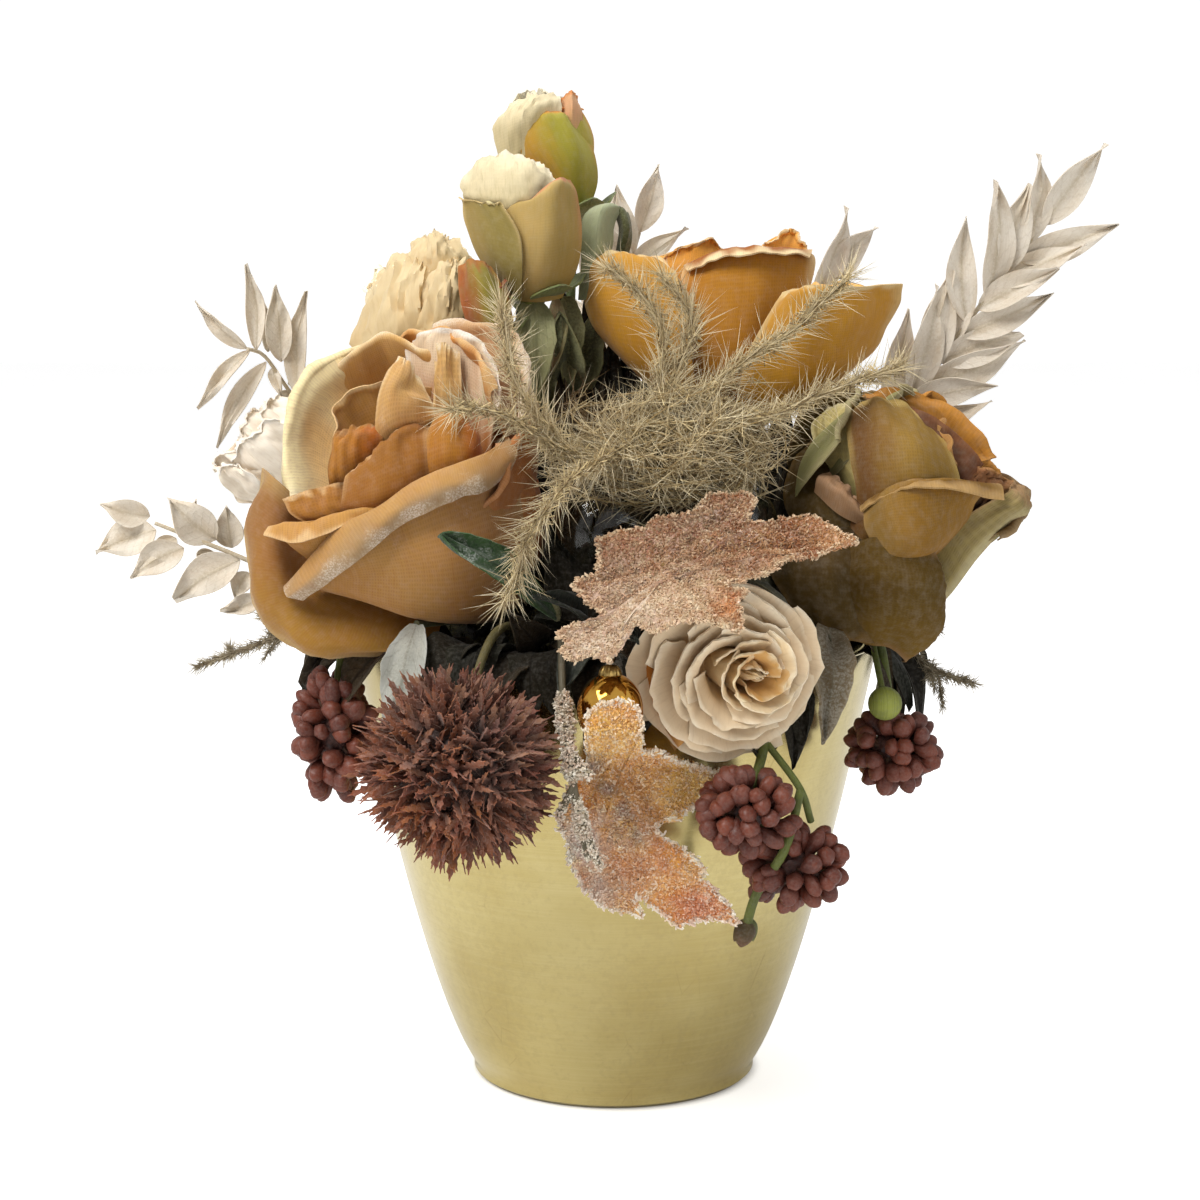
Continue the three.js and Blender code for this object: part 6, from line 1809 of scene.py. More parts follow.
LEFT_HIGH_ROUTE = ((-61, 37, 168), (-80, 35.5, 180), (-93.3, 34, 191.2), (-102.4, 27, 205.1), (-106.3, 24, 206.7))
RUSCUS = (
    Ruscus("ruscus_right", ((62, 8, 168), (84, 4, 194), (104, 0, 222), (119, -2, 242)), (50, 4), 17, 30, 8.8,
           (0, -1, 0.15), 0.22, 33, 11),
    Ruscus("ruscus_left_high", LEFT_HIGH_ROUTE, (-47, 27), 10, 24, 6.0, (0, -1, 0.1), 0.3, 46, 23, (
        (247, 349, 195, 301, 24, 4.4), (256, 350, 246, 264, 24, 5.2), (281, 362, 275, 286, 27, 7.4),
        (297, 396, 307, 291, 28, 6.6), (250, 350, 198, 409, 24, 4.2), (266, 362, 217, 448, 26, 5.6),
        (272, 368, 282, 398, 30, 3.4), (288, 384, 322, 372, 32, 5.0), (292, 392, 272, 412, 32, 4.6),
        (268, 352, 262, 300, 30, 3.6))),
    Ruscus("ruscus_left_low", ((-70, -12, 143), (-92, -13, 146), (-110, -13, 153), (-128, -12, 160)), (-56, -10), 12,
           25, 10, (0, -1, 0.2), 0.25, 48, 37, (
        (156, 530, 96, 552, -12, 11.5), (150, 516, 100, 504, -10, 7.5), (216, 540, 168, 498, -13, 11.0),
        (184, 548, 130, 578, -14, 9.0), (240, 560, 174, 600, -15, 10.5), (262, 598, 220, 610, -16, 5.5),
        (232, 548, 226, 506, -8, 8.0), (248, 572, 236, 600, -12, 6.0), (176, 538, 150, 560, -9, 6.0),
        (190, 540, 196, 500, -8, 6.0), (214, 552, 196, 574, -9, 7.0))),
    Ruscus("ruscus_back_left", ((-4, 52, 180), (0, 64, 212), (8, 68, 240)), (-2, 38), 9, 26, 9, (0, -1, 0.1), 0.3,
           38, 41),
    Ruscus("ruscus_back_right", ((32, 58, 176), (48, 64, 206), (66, 64, 226)), (22, 40), 9, 26, 9, (0, -1, 0.1), 0.3,
           38, 53),
)


# ---------- Needles ----------


def random_turns(axes: Array, random: np.random.Generator) -> Array:
    """A rotation for each axis, rolled at random."""
    return turns_to(axes, random.uniform(0, 2 * math.pi, len(axes)))


def brush(path: Array, count: int, length: float, thick: float, random: np.random.Generator,
          shades: tuple[str, str, str], spread: tuple[float, float] = (0.55, 1.15)) -> Patch:
    """Fine needles all round a strand, leaning to its tip.

    Args:
        path: the strand.
        count: how many needles.
        length: their usual length.
        thick: their radius at the root.
        random: where the numbers come from.
        shades: dark root, usual and lit tip colours.
        spread: least and greatest lean from the strand, in radians.

    Returns:
        The needles.
    """
    run, side, lift = path_frames(path)
    at = random.uniform(0, 1, count) ** 0.9 * (len(path) - 1.001)
    i, share = at.astype(int), (at % 1)[:, None]
    root = mix(path[i], path[i + 1], share)
    around = random.uniform(0, 2 * math.pi, count)
    out = np.cos(around)[:, None] * side[i] + np.sin(around)[:, None] * lift[i]
    lean = random.uniform(*spread, count)[:, None]
    axes = unit(np.cos(lean) * run[i] + np.sin(lean) * out + 0.2 * random.normal(size=(count, 3)))
    taper = 1 - 0.25 * (at / len(path)) ** 2
    reach = length * taper * random.uniform(0.35, 1.15, count)
    bright = random.uniform(0, 1, count)[:, None]
    dark, usual, lit = (colour(code) for code in shades)
    roots = mix(dark, usual, bright)
    tips = mix(usual, lit, bright)
    return stamp(needle_blank(), root, random_turns(axes, random), slim(thick, reach), roots, tips)


FERN_HEART = vec(9, -58, 188)
FERN_MIDDLE = vec(15, -57, 185)
FERN_TANGLE = vec(24, 8, 12)
FERN_STRANDS = (
    ((-7, -65, 182), (-19, -71, 194), (-26, -70, 207), (-29, -64, 223)),
    ((-9, -66, 183), (-25, -76, 193), (-41, -84, 197)),
    ((12, -54, 200), (11, -50, 217), (-2, -48, 232)),
    ((16, -53, 204), (20, -49, 218), (13, -46, 230)),
    ((21, -54, 198), (39, -50, 210), (62, -42, 229)),
    ((24, -60, 191), (44, -59, 195), (61, -55, 202), (76, -50, 206)),
    ((-2, -68, 184), (-15, -80, 175), (-22, -88, 164), (-27, -92, 150)),
)
FERN_ENTRY = (6.0, -27.0)
STRAW = ("5E4824", "EED8A2", "FFFCEA")
# Colours of the curls set behind the tangle, darkened as painted shade.
SHADED_STRAW = ("382812", "6C5430", "A08656")


class FernSpray:
    """A straw-coloured spray: strands of fine needles that leave a tangled heart."""

    curls = 84
    needles_per_mm = 10.5
    needles_per_curl = 54

    def build(self, material: Material) -> None:
        """Makes the strands with their needles, and the tangle."""
        random = np.random.default_rng(71)
        strands: list[Patch] = []
        needles: list[Patch] = []
        for route in FERN_STRANDS:
            path = smooth_curve([FERN_HEART, *route], 44)
            path = path + 1.1 * self.wander(path, random)
            strands.append(tube(path, np.linspace(0.55, 0.2, 44), colour("96805A"), 6))
            long = float(np.linalg.norm(np.diff(path, axis=0), axis=1).sum())
            needles.append(brush(path, int(long * self.needles_per_mm), 18.0, 0.15, random, STRAW, (0.2, 1.25)))
        for k in range(self.curls):
            # Every third curl sits behind the rest and is painted darker, strand and needles, as shade.
            behind = k % 3 == 0
            path = self.curl(random) + (vec(0, 7, 0) if behind else 0)
            strands.append(tube(path, np.linspace(0.24, 0.12, len(path)), colour("6E5834" if behind else "9E8656"), 5))
            shades = SHADED_STRAW if behind else STRAW
            needles.append(brush(path, self.needles_per_curl, 16.0, 0.145, random, shades, (0.15, 1.3)))
        stalk = smooth_curve(stem_points([FERN_HEART, vec(13, -43, 168)], FERN_ENTRY), 30)
        strands.append(tube(stalk, 1.0, colour("8C7A4E"), 8))
        set_down(make_piece("fern_strands", joined(strands), material), "straw")
        set_down(make_piece("fern_needles", joined(needles), material, smooth=30), "straw", "fern_spray")

    def wander(self, path: Array, random: np.random.Generator) -> Array:
        """Small bends that leave a strand's root where it is."""
        seed = int(random.integers(1e6))
        bends = np.stack([ripple(path, 17.0, seed + k) for k in range(3)], 1)
        return bends * np.linspace(0, 1, len(path))[:, None]

    def curl(self, random: np.random.Generator) -> Array:
        """A strand that winds round the heart and then leaves it."""
        start = unit(random.normal(size=3) * vec(1, 0.7, 0.9) + vec(0, -0.35, 0))
        way = unit(np.cross(start, random.normal(size=3)))
        turn = random.uniform(1.6, 3.6)
        t = np.linspace(0, 1, 26)[:, None]
        round_it = np.cos(t * turn) * start + np.sin(t * turn) * way
        drift = random.normal(size=3) * vec(5, 1.5, 5)
        size = FERN_TANGLE * random.uniform(0.7, 1.25) * (0.75 + 0.45 * t)
        return FERN_MIDDLE + round_it * size + drift * t ** 2


@dataclass(frozen=True)
class DryStrand:
    """A dark dry strand at the pot's rim."""

    name: str
    route: tuple[Spot, ...]
    entry: Entry
    seed: int
    branches: int = 4

    def build(self, material: Material) -> None:
        """Makes the strand and its needles."""
        random = np.random.default_rng(self.seed)
        over = smooth_curve(stem_points(self.route[::-1], self.entry), 50)
        shades = ("6E604A", "A89A7C", "E2D6BC")
        path = smooth_curve(self.route, 40)
        patches = [tube(over, np.linspace(0.5, 1.0, 50), colour("7A6A50"), 6),
                   brush(path, 520, 8.5, 0.15, random, shades, (0.35, 1.05))]
        for _ in range(self.branches):
            k = int(random.integers(8, 30))
            tip = path[k] + random.normal(size=3) * vec(5, 3, 5) + 9 * unit(path[-1] - path[0])
            side = smooth_curve([path[k], mix(path[k], tip, 0.5) + vec(0, 0, 1.5), tip], 14)
            patches.append(tube(side, np.linspace(0.4, 0.2, 14), colour("5A5040"), 5))
            patches.append(brush(side, 110, 6.5, 0.14, random, shades, (0.35, 1.1)))
        set_down(make_piece(f"{self.name}_needles", joined(patches), material, smooth=30), "dry_strand", self.name)


DRY_STRANDS = (
    DryStrand("dry_strand_left", ((-80, -26, 135), (-98, -25, 128), (-116, -22, 121)), (-60, -22), 91),
    DryStrand("dry_strand_right", ((76, -17, 134), (87, -20, 121), (100, -20, 116)), (61, -10), 95),
)


def lumpy_core(subdivisions: int, size: Array | float, share: float, lumps: tuple[float, float, int], centre: Array,
               tint: str) -> Patch:
    """The uneven ball in the middle of a head.

    Args:
        subdivisions: how fine it is.
        size: the head's radius, or its radii.
        share: how much of that the ball takes.
        lumps: their height, their width and which they are.
        centre: its middle.
        tint: its colour.

    Returns:
        The ball.
    """
    deselect()
    bpy.ops.mesh.primitive_ico_sphere_add(subdivisions=subdivisions, radius=1)
    ball = take_blank(bpy.context.object)
    high, wide, seed = lumps
    bumps = 1 + high * ripple(ball.points, wide, seed)[:, None]
    return Patch(ball.points * size * share * bumps + centre, ball.faces, colour(tint))


# ---------- Allium ----------


class Allium:
    """A dried allium head: serrated bracts all round a core."""

    centre = vec(-39.5, -95.5, 108.5)
    core = 17.5
    reach = 28.0
    heads = 340
    bracts_each = 4
    entry = (-25.0, -48.0)
    teeth = (0.10, 0.30, 0.42, 0.24, 0.48, 0.26, 0.46, 0.20, 0.30, 0.10, 0.03)

    def bract(self) -> Blank:
        """One bract along z with a folded rib and toothed sides."""
        sheet = grid_blank(2, len(self.teeth) - 1)
        u, v = sheet.points[:, 0], sheet.points[:, 1]
        half = np.interp(v, np.linspace(0, 1, len(self.teeth)), self.teeth)
        raise_tooth = 0.05 * np.abs(u) * (half > 0.25)
        points = np.stack([u * half, 0.18 * np.abs(u) * half + 0.1 * v * v, v + raise_tooth], 1)
        return Blank(points, sheet.faces)

    def build(self, material: Material, stem: Material) -> None:
        """Makes the head and its stem."""
        random = np.random.default_rng(7)
        blank = self.bract()
        hubs = unit(spread_directions(self.heads) + 0.1 * random.normal(size=(self.heads, 3)))
        heads, axes, lengths = [], [], []
        for hub in hubs:
            for _ in range(self.bracts_each):
                heads.append(hub)
                axes.append(unit(hub + 0.48 * random.normal(size=3)))
                lengths.append(random.uniform(0.62, 1.02))
        heads, axes, lengths = np.array(heads), np.array(axes), np.array(lengths)
        roots = heads * self.core * random.uniform(0.72, 0.98, (len(heads), 1))
        reach = np.minimum(lengths * 12.5, self.reach * 1.02 - self.core * 0.8)
        wide = random.uniform(1.7, 3.4, len(heads))
        tints, tips = self.shades(heads, random)
        bristle = unit(heads[::2] + 0.4 * random.normal(size=heads[::2].shape))
        fine = slim(0.17, random.uniform(8, 14.5, len(bristle)))
        pale = mix(colour("6A3E2C"), colour("D8BCA8"), random.uniform(size=(len(bristle), 1)) ** 2)
        head = joined([
            stamp(blank, roots + self.centre, random_turns(axes, random), slim(wide, reach), tints, tips),
            stamp(needle_blank(), self.centre + heads[::2] * self.core * 0.85, random_turns(bristle, random), fine,
                  mix(pale, colour("3A1A10"), 0.6), pale)])
        set_down(make_piece("allium_bracts", head, material, 0.22, 25), "allium", "allium_head")
        core = lumpy_core(4, self.core, 0.86, (0.06, 0.25, 5), self.centre, "2A1410")
        set_down(make_piece("allium_core", core, material), "allium")
        back = unit(vec(5, 16, 23))
        start, top = self.centre + self.core * 0.8 * back, self.centre + self.reach * back
        route = smooth_curve(stem_points([start, top, vec(-31, -70, 138)], self.entry), 30)
        set_down(make_piece("allium_stalk", tube(route, 1.2, colour("6A6038"), 8), stem), "green_stem", "allium_stem")

    def shades(self, heads: Array, random: np.random.Generator) -> tuple[Array, Array]:
        """Root and tip colours: orange towards the left front, purple-brown elsewhere."""
        warm = ease(-0.1, 0.9, heads @ unit(vec(-0.55, -0.8, -0.3)) + 0.22 * ripple(heads, 0.7, 12))[:, None]
        luck = random.uniform(0, 1, (len(heads), 1))
        cool_root, cool_tip = colour("2F1108"), mix(colour("7E3D25"), colour("A77651"), luck ** 2)
        hot_root, hot_tip = colour("4C2206"), mix(colour("B56A1F"), colour("923716"), luck)
        return mix(cool_root, hot_root, warm), mix(cool_tip, hot_tip, warm * 0.8)


# ---------- Maple leaves ----------


@dataclass(frozen=True)
class Maple:
    """A sugar-frosted maple leaf: its edge, its stains and its patches of painted light as the picture shows them, its
    stalk end at the joint.
    """

    name: str
    slot: str
    joint: Spot
    along: Spot
    normal: Spot
    edge: tuple[tuple[float, float], ...]
    middle: tuple[float, float]
    ribs: tuple[tuple[float, float], ...]
    bend: Callable[[Array, Array], Array]
    over: tuple[Spot, ...]
    entry: Entry
    tints: tuple[str, str, str]
    grain_tints: tuple[str, str, str]
    stains_and_light: tuple[tuple[float, float, float, str], ...]
    grains: int = 13400
    fringe: int = 3000
    rings: int = 22
    edge_spots: int = 300

    def frame(self) -> tuple[Array, Array, Array]:
        """Directions along, across and out of the leaf."""
        return leaf_frame(np.array(self.along), np.array(self.normal))

    def laid(self, spots: Array) -> Array:
        """Where sights through the picture's spots meet the flat leaf, from its joint."""
        run, across, normal = self.frame()
        ray = in_picture(np.column_stack([spots, np.zeros(len(spots))])) - EYE
        rise = np.zeros(len(spots))
        for _ in range(6):
            reach = ((np.array(self.joint) - EYE) @ normal + rise) / (ray @ normal)
            flat = (EYE + ray * reach[:, None] - np.array(self.joint)) @ np.stack([run, -across], 1)
            rise = self.bend(flat[:, 0], flat[:, 1])
        return flat

    def outline(self) -> Array:
        """Even spots round the leaf, turning to the left, with small teeth."""
        corners = self.laid(np.array(self.edge, float))
        turn = np.cross(corners, np.roll(corners, -1, 0)).sum()
        corners = corners if turn > 0 else corners[::-1]
        loop = np.vstack([corners, corners[:1]])
        reach = reach_along(loop)
        at = np.linspace(0, reach[-1], self.edge_spots, endpoint=False)
        even = np.stack([np.interp(at, reach, loop[:, k]) for k in range(2)], 1)
        teeth = np.stack([ripple(even, 1.5, 3), ripple(even, 1.5, 4)], 1)
        return even + 0.45 * teeth

    def build(self, finishes: "Finishes", leaf_finish: Material) -> None:
        """Makes the leaf, its stalk and its grains."""
        edge = self.outline()
        count, rings = len(edge), self.rings
        middle = self.laid(np.array([self.middle], float))
        share = (np.arange(1, rings + 1) / rings) ** 0.85
        flat = np.vstack([middle, (middle + share[:, None, None] * (edge - middle)[None]).reshape(-1, 2)])
        height = self.bend(flat[:, 0], flat[:, 1]) - self.grooves(flat) + 0.5 * ripple(flat, 14.0, 6)
        run, across, normal = self.frame()
        axes = np.stack([run, -across, normal])
        points = np.column_stack([flat, height]) @ axes + np.array(self.joint)
        quads = ring_quads(rings, count, 1)[:, [0, 3, 2, 1]]
        k = np.arange(count)
        fan = np.stack([np.zeros(count, int), 1 + k, 1 + (k + 1) % count], 1)
        out = np.concatenate([[0], np.repeat(share, count)])
        sheet = Patch(points, [quads, fan], self.shade(flat, out), flat)
        foot = np.array(self.joint) + normal * (float(self.bend(np.zeros(1), np.zeros(1))[0]) - 0.4)
        stalk_path = smooth_curve(stem_points([foot, *self.over], self.entry), 30)
        stalk = tube(stalk_path, 0.8, colour("8A6A3C"), 8)
        set_down(make_piece(f"{self.name}_blade", sheet, leaf_finish, 0.8), self.slot, self.name)
        set_down(make_piece(f"{self.name}_stalk", stalk, finishes.stem), "green_stem")
        grains = self.sugar(points, flat, [quads, fan], normal, count)
        set_down(make_piece(f"{self.name}_sugar", grains, finishes.crystals, smooth=5), self.slot)

    def grooves(self, flat: Array) -> Array:
        """Dips along the ribs, one to each lobe."""
        dip = np.zeros(len(flat))
        for angle, reach in self.ribs:
            way = np.array([math.cos(math.radians(angle)), math.sin(math.radians(angle))])
            along = flat @ way
            off = np.abs(flat @ np.array([-way[1], way[0]]))
            ends = ease(-2, 4, along) * (1 - ease(0.7, 1, along / reach))
            dip = np.maximum(dip, 1.4 * np.exp(-(off / 1.8) ** 2) * ends)
        return dip

    def with_stains_and_light(self, flat: Array, tint: Array, strength: float, light: Array) -> Array:
        """The colours with the leaf's stains and patches of painted light on them."""
        for x, y, radius, code in self.stains_and_light:
            away = np.linalg.norm(flat - self.laid(np.array([[x, y]], float)), axis=1) * 4 / radius
            share = strength * np.exp(-(away * (1 + 0.25 * ripple(flat, 5.0, int(x)))) ** 2)
            tint = mix(tint, mix(colour(code), light, 1 - strength), share[:, None])
        return tint

    def shade(self, flat: Array, out: Array) -> Array:
        """Middle, usual and edge colours that run into each other, and the stains and patches of painted light."""
        middle, usual, rim = (colour(code) for code in self.tints)
        drift = ripple(flat, 26.0, 8)[:, None] * 0.35
        body = mix(middle, usual, np.clip(0.5 + drift + ripple(flat, 9.0, 9)[:, None] * 0.25, 0, 1))
        body = mix(body, rim, np.clip(ease(0.6, 1.0, out)[:, None] * 0.7 + drift, 0, 1))
        return self.with_stains_and_light(flat, body, 0.95, rim)

    def sugar(self, points: Array, flat: Array, faces: Faces, normal: Array, count: int) -> Patch:
        """Grains over both faces, and standing out all along the edge."""
        random = np.random.default_rng(len(self.name) + len(self.edge))
        triangles = np.vstack([faces[0][:, :3], faces[0][:, [0, 2, 3]], faces[1]])
        a, b, c = (points[triangles[:, k]] for k in range(3))
        area = np.linalg.norm(np.cross(b - a, c - a), axis=1)
        pick = random.choice(len(triangles), self.grains, p=area / area.sum())
        s, t = np.sqrt(random.uniform(size=self.grains)), random.uniform(size=self.grains)
        weights = np.stack([1 - s, s * (1 - t), s * t], 1)[:, :, None]
        spot = (points[triangles[pick]] * weights).sum(1)
        place = (flat[triangles[pick]] * weights).sum(1)
        face = unit(np.cross(b - a, c - a))[pick]
        face *= np.sign(face @ normal)[:, None]
        under = random.uniform(size=self.grains) < 0.25
        face[under] *= -1
        spot = spot + np.where(under, 0.85, 0.1)[:, None] * face
        rim, fringe = points[-count:], self.fringe
        pull = unit(rim - points[0])
        extra = random.integers(0, count, fringe)
        spot = np.vstack([spot, rim[extra] + 0.3 * random.normal(size=(fringe, 3))])
        face = np.vstack([face, pull[extra]])
        place = np.vstack([place, flat[-count:][extra]])
        axes = unit(face + 0.75 * random.normal(size=face.shape))
        total = len(spot)
        thick = random.uniform(0.16, 0.38, total)
        sizes = slim(thick, thick * random.uniform(1.4, 3.0, total))
        light, warm, deep = (colour(code) for code in self.grain_tints)
        luck = random.uniform(size=(total, 1))
        drift = np.clip(0.5 + 0.6 * ripple(place, 16.0, 21)[:, None], 0, 1)
        warmed = self.with_stains_and_light(place, mix(warm, deep, drift), 0.8, light)
        tint = mix(light, warmed, np.clip(0.35 + luck * 1.1, 0, 1))
        tint[self.grains:] = mix(light, warmed[self.grains:], 0.45 * luck[self.grains:])
        return stamp(crystal_blank(), spot, random_turns(axes, random), sizes, tint)


def high_bend(x: Array, y: Array) -> Array:
    """How the high leaf droops to its front edge."""
    return -0.003 * y * y + 1.2 * np.sin(x / 9)


def low_bend(x: Array, y: Array) -> Array:
    """How the low leaf waves, and leans out over the bauble at its top."""
    return 1.2 * np.sin(y / 6) - 0.002 * x * x + 26 * ease(-5, 8, y)


MAPLES = (
    Maple("maple_leaf_high", "frosted_peach", (12, -88, 158.5), (1, -0.1, 0.06), (-0.08, -0.58, 0.8),
          ((556, 635), (578, 623), (598, 621), (606, 612), (588, 603), (574, 588), (580, 580), (597, 574), (600, 556),
           (597, 541), (625, 532), (645, 530), (656, 519), (690, 512), (702, 503), (712, 496), (748, 494), (756, 501),
           (746, 519), (762, 524), (788, 519), (815, 518), (832, 528), (857, 541), (834, 544), (815, 556), (790, 558),
           (770, 572), (742, 579), (722, 583), (746, 591), (736, 600), (742, 614), (740, 633), (724, 626), (700, 621),
           (680, 622), (655, 631), (638, 624), (625, 622), (622, 640), (614, 655), (608, 662), (592, 655), (572, 661),
           (561, 650), (574, 645)),
          (664, 580), ((10, 47), (48, 32), (112, 13), (190, 20), (228, 36), (308, 30)), high_bend, ((10, -72, 152),),
          # The high leaf's dark colours, and its grains', are in part painted shade from the fern over it.
          (8, -42), ("6E3D1A", "7F5029", "946738"), ("DCC8A6", "AB8052", "875025"),
          # The three pale cream patches near the front edge are painted light where that edge curls up to the lamps.
          ((700, 520, 50, "68533F"), (620, 560, 45, "85634A"), (690, 602, 52, "E4D2AF"),
           (640, 612, 40, "E6D5BA"), (590, 640, 46, "E4D7C1"), (730, 605, 18, "CE8643"),
           (780, 575, 25, "D9B891"), (835, 535, 22, "D29F61"))),
    Maple("maple_leaf_low", "frosted_orange", (-1, -80.5, 109), (1, 0, 0), (0, -1, 0.12),
          ((588, 712), (600, 704), (620, 702), (636, 706), (642, 720), (640, 738), (642, 753), (656, 752), (668, 757),
           (690, 766), (708, 769), (719, 773), (712, 786), (702, 799), (693, 806), (680, 817), (666, 819), (655, 827),
           (664, 839), (678, 846), (692, 857), (704, 869), (701, 881), (713, 888), (723, 901), (738, 923), (715, 918),
           (692, 921), (677, 926), (660, 911), (646, 900), (634, 895), (642, 916), (618, 910), (600, 903), (585, 890),
           (578, 875), (570, 862), (569, 841), (559, 830), (562, 816), (566, 800), (567, 788), (573, 778), (588, 774),
           (589, 755), (586, 732)),
          (602, 828), ((-12, 26), (98, 11), (190, 14), (245, 22), (285, 40), (306, 52)), low_bend,
          ((-1.5, -79, 124), (-1, -78, 133), (-1, -72, 137)), (0, -57), ("EEA13F", "F6C155", "FFD77D"),
          ("FFFFF2", "FFD57D", "E79D45"),
          ((615, 735, 40, "F2C13A"), (690, 780, 42, "F6D060"), (640, 790, 30, "E5AF5E"), (592, 765, 13, "887770"),
           (608, 790, 10, "84706C"), (622, 812, 10, "84706C"), (638, 838, 14, "8F7469"), (580, 845, 28, "FFFFFF"),
           (600, 890, 26, "DDCABE"), (640, 870, 28, "E19B5A"), (700, 905, 34, "D86C34"), (690, 870, 16, "FDCA67")),
          13000),
)


# ---------- Baubles ----------


def placed(piece: Piece, turn: Array, spot: Array) -> Piece:
    """Writes a piece's turn and place into its mesh."""
    matrix = Matrix(turn.tolist()).to_4x4()
    matrix.translation = (spot * MM).tolist()
    piece.data.transform(matrix)
    piece.data.update()
    return piece


class Baubles:
    """One mirror-gold bauble and two clear ones, each on a wire with a crimped cap."""

    gold_centre = vec(-1.5, -93.5, 122.5)
    gold_radius = 8.3
    gold_stretch = 1.14
    cap_sides = 48
    clear = (
        ("clear_bauble_left", vec(-2.7, -47, 163), 13.8, vec(0.1, 0.6, -0.8), (-7.0, -35.0)),
        ("clear_bauble_right", vec(31, -48, 164), 12.0, vec(-0.2, 0.7, -0.7), (20.0, -30.0)),
    )

    def build(self, finishes: Finishes) -> None:
        """Makes all three."""
        tall = self.gold_radius * self.gold_stretch
        angles = np.linspace(-1.545, 1.545, 30)
        profile = [(self.gold_radius * math.cos(a), tall * math.sin(a)) for a in angles]
        drop = placed(lathe("gold_bauble_drop", profile, 48, finishes.mirror), np.eye(3), self.gold_centre)
        set_down(drop, "mirror_gold", "gold_bauble")
        top = self.gold_centre + (tall + 0.3) * UP
        way = [top + UP, top + vec(0, 3, 6), vec(-5, -73, 142)]
        self.wire("gold_bauble", finishes, np.eye(3), top - 1.2 * UP, way, (-9, -51), 2.6)
        for name, centre, radius, out, entry in self.clear:
            self.build_clear(name, finishes, centre, radius, unit(out), entry)

    def build_clear(self, name: str, finishes: Finishes, centre: Array, radius: float, axis: Array,
                    entry: Entry) -> None:
        """Makes a thin blown ball with an open neck along its axis."""
        neck, wall = 2.6, 0.6
        lip = math.sqrt(radius ** 2 - neck ** 2) + 2
        top = math.acos(neck / radius)
        outer = [(radius * math.cos(a), radius * math.sin(a)) for a in np.linspace(-1.55, top, 28)]
        inside = radius - wall
        inner_top = math.acos((neck - wall) / inside)
        inner = [(inside * math.cos(a), inside * math.sin(a)) for a in np.linspace(inner_top, -1.55, 28)]
        profile = [*outer, (neck, lip), (neck - 0.3, lip + 0.3), (neck - wall, lip), *inner]
        turn = turn_to(axis)
        ball = placed(lathe(f"{name}_glass", profile, 56, finishes.glass), turn, centre)
        set_down(ball, "clear_glass", name)
        seat = centre + (lip - 0.8) * axis
        self.wire(name, finishes, turn, seat, [seat + 2.6 * axis, seat + 4 * axis], entry, 3.2)

    def wire(self, name: str, finishes: Finishes, turn: Array, seat: Array, way: list[Array], entry: Entry,
             wide: float) -> None:
        """Makes the crimped cap, its loop and the wire down into the foam."""
        angle = np.linspace(0, 2 * math.pi, self.cap_sides, endpoint=False)
        crimp = 1 + 0.06 * np.cos(12 * angle)
        rings = ((wide * 1.02, 0.0), (wide * 1.05, 0.5), (wide * 0.98, 1.4), (wide * 0.72, 2.5), (0.5, 2.9))
        points = np.concatenate([
            np.stack([r * crimp * np.cos(angle), r * crimp * np.sin(angle), np.full(self.cap_sides, z)], 1)
            for r, z in rings])
        cap = Patch(points @ turn.T + seat, [ring_quads(len(rings), self.cap_sides)], colour("B89A5C"))
        path = smooth_curve(stem_points(way, entry), 34)
        twist = np.linspace(0, 46, 34)
        _, side, lift = path_frames(path)
        strands = [
            tube(path + 0.32 * (np.cos(twist + s)[:, None] * side + np.sin(twist + s)[:, None] * lift), 0.34,
                 colour("A59C8A"), 6)
            for s in (0.0, math.pi)
        ]
        set_down(make_piece(f"{name}_cap", cap, finishes.wire, 0.3), "wire")
        set_down(make_piece(f"{name}_twisted_wire", joined(strands), finishes.wire), "wire", f"{name}_wire")


# ---------- Berries ----------


@dataclass(frozen=True)
class BerryHead:
    """A cluster of plump buds crowded round a small core."""

    name: str
    centre: Spot
    radii: Spot
    berry: float
    seed: int
    count: int = 58

    def build(self, material: Material) -> None:
        """Makes the buds, the forked stalks under them and the core."""
        random = np.random.default_rng(self.seed)
        blank = bead_blank(10, 9, self.berry_profile)
        blank.points[:, :2] *= 1 + 0.05 * np.sin(5 * np.arctan2(blank.points[:, 1], blank.points[:, 0]))[:, None]
        radii, centre = np.array(self.radii), np.array(self.centre)
        aims = unit(spread_directions(self.count) + 0.16 * random.normal(size=(self.count, 3)))
        tips = aims * radii * random.uniform(0.72, 0.9, (self.count, 1)) + aims * self.berry * 0.86
        axes = unit(aims + 0.25 * random.normal(size=aims.shape))
        long = self.berry * random.uniform(1.35, 1.85, self.count)
        wide = self.berry * random.uniform(0.42, 0.56, self.count)
        roots = tips - axes * long[:, None]
        luck = random.uniform(size=(self.count, 1))
        base = mix(colour("3C170D"), colour("552013"), luck)
        tip = mix(colour("622A1A"), colour("7F3D26"), luck)
        sizes = np.stack([wide, wide * random.uniform(0.82, 1.0, self.count), long], 1)
        buds = stamp(blank, centre + roots, random_turns(axes, random), sizes, base, tip)
        stalks = [tube(smooth_curve([centre, centre + 0.5 * root, centre + root + 0.8 * axis], 8),
                       np.linspace(1.0, 0.55, 8), colour("4E3A24"), 6) for root, axis in zip(roots, axes)]
        core = lumpy_core(3, radii, 0.5, (0.12, 0.5, self.seed), centre, "341814")
        set_down(make_piece(f"{self.name}_berries", joined([buds, core]), material), "berry", self.name)
        set_down(make_piece(f"{self.name}_stalks", joined(stalks), material), "berry")

    @staticmethod
    def berry_profile(height: Array) -> Array:
        """A bud's radius: narrow at its foot, widest near the top, blunt with a small point."""
        return np.sin(math.pi * np.clip(height, 0, 1) ** 1.35) ** 0.62 * (0.72 + 0.38 * height)


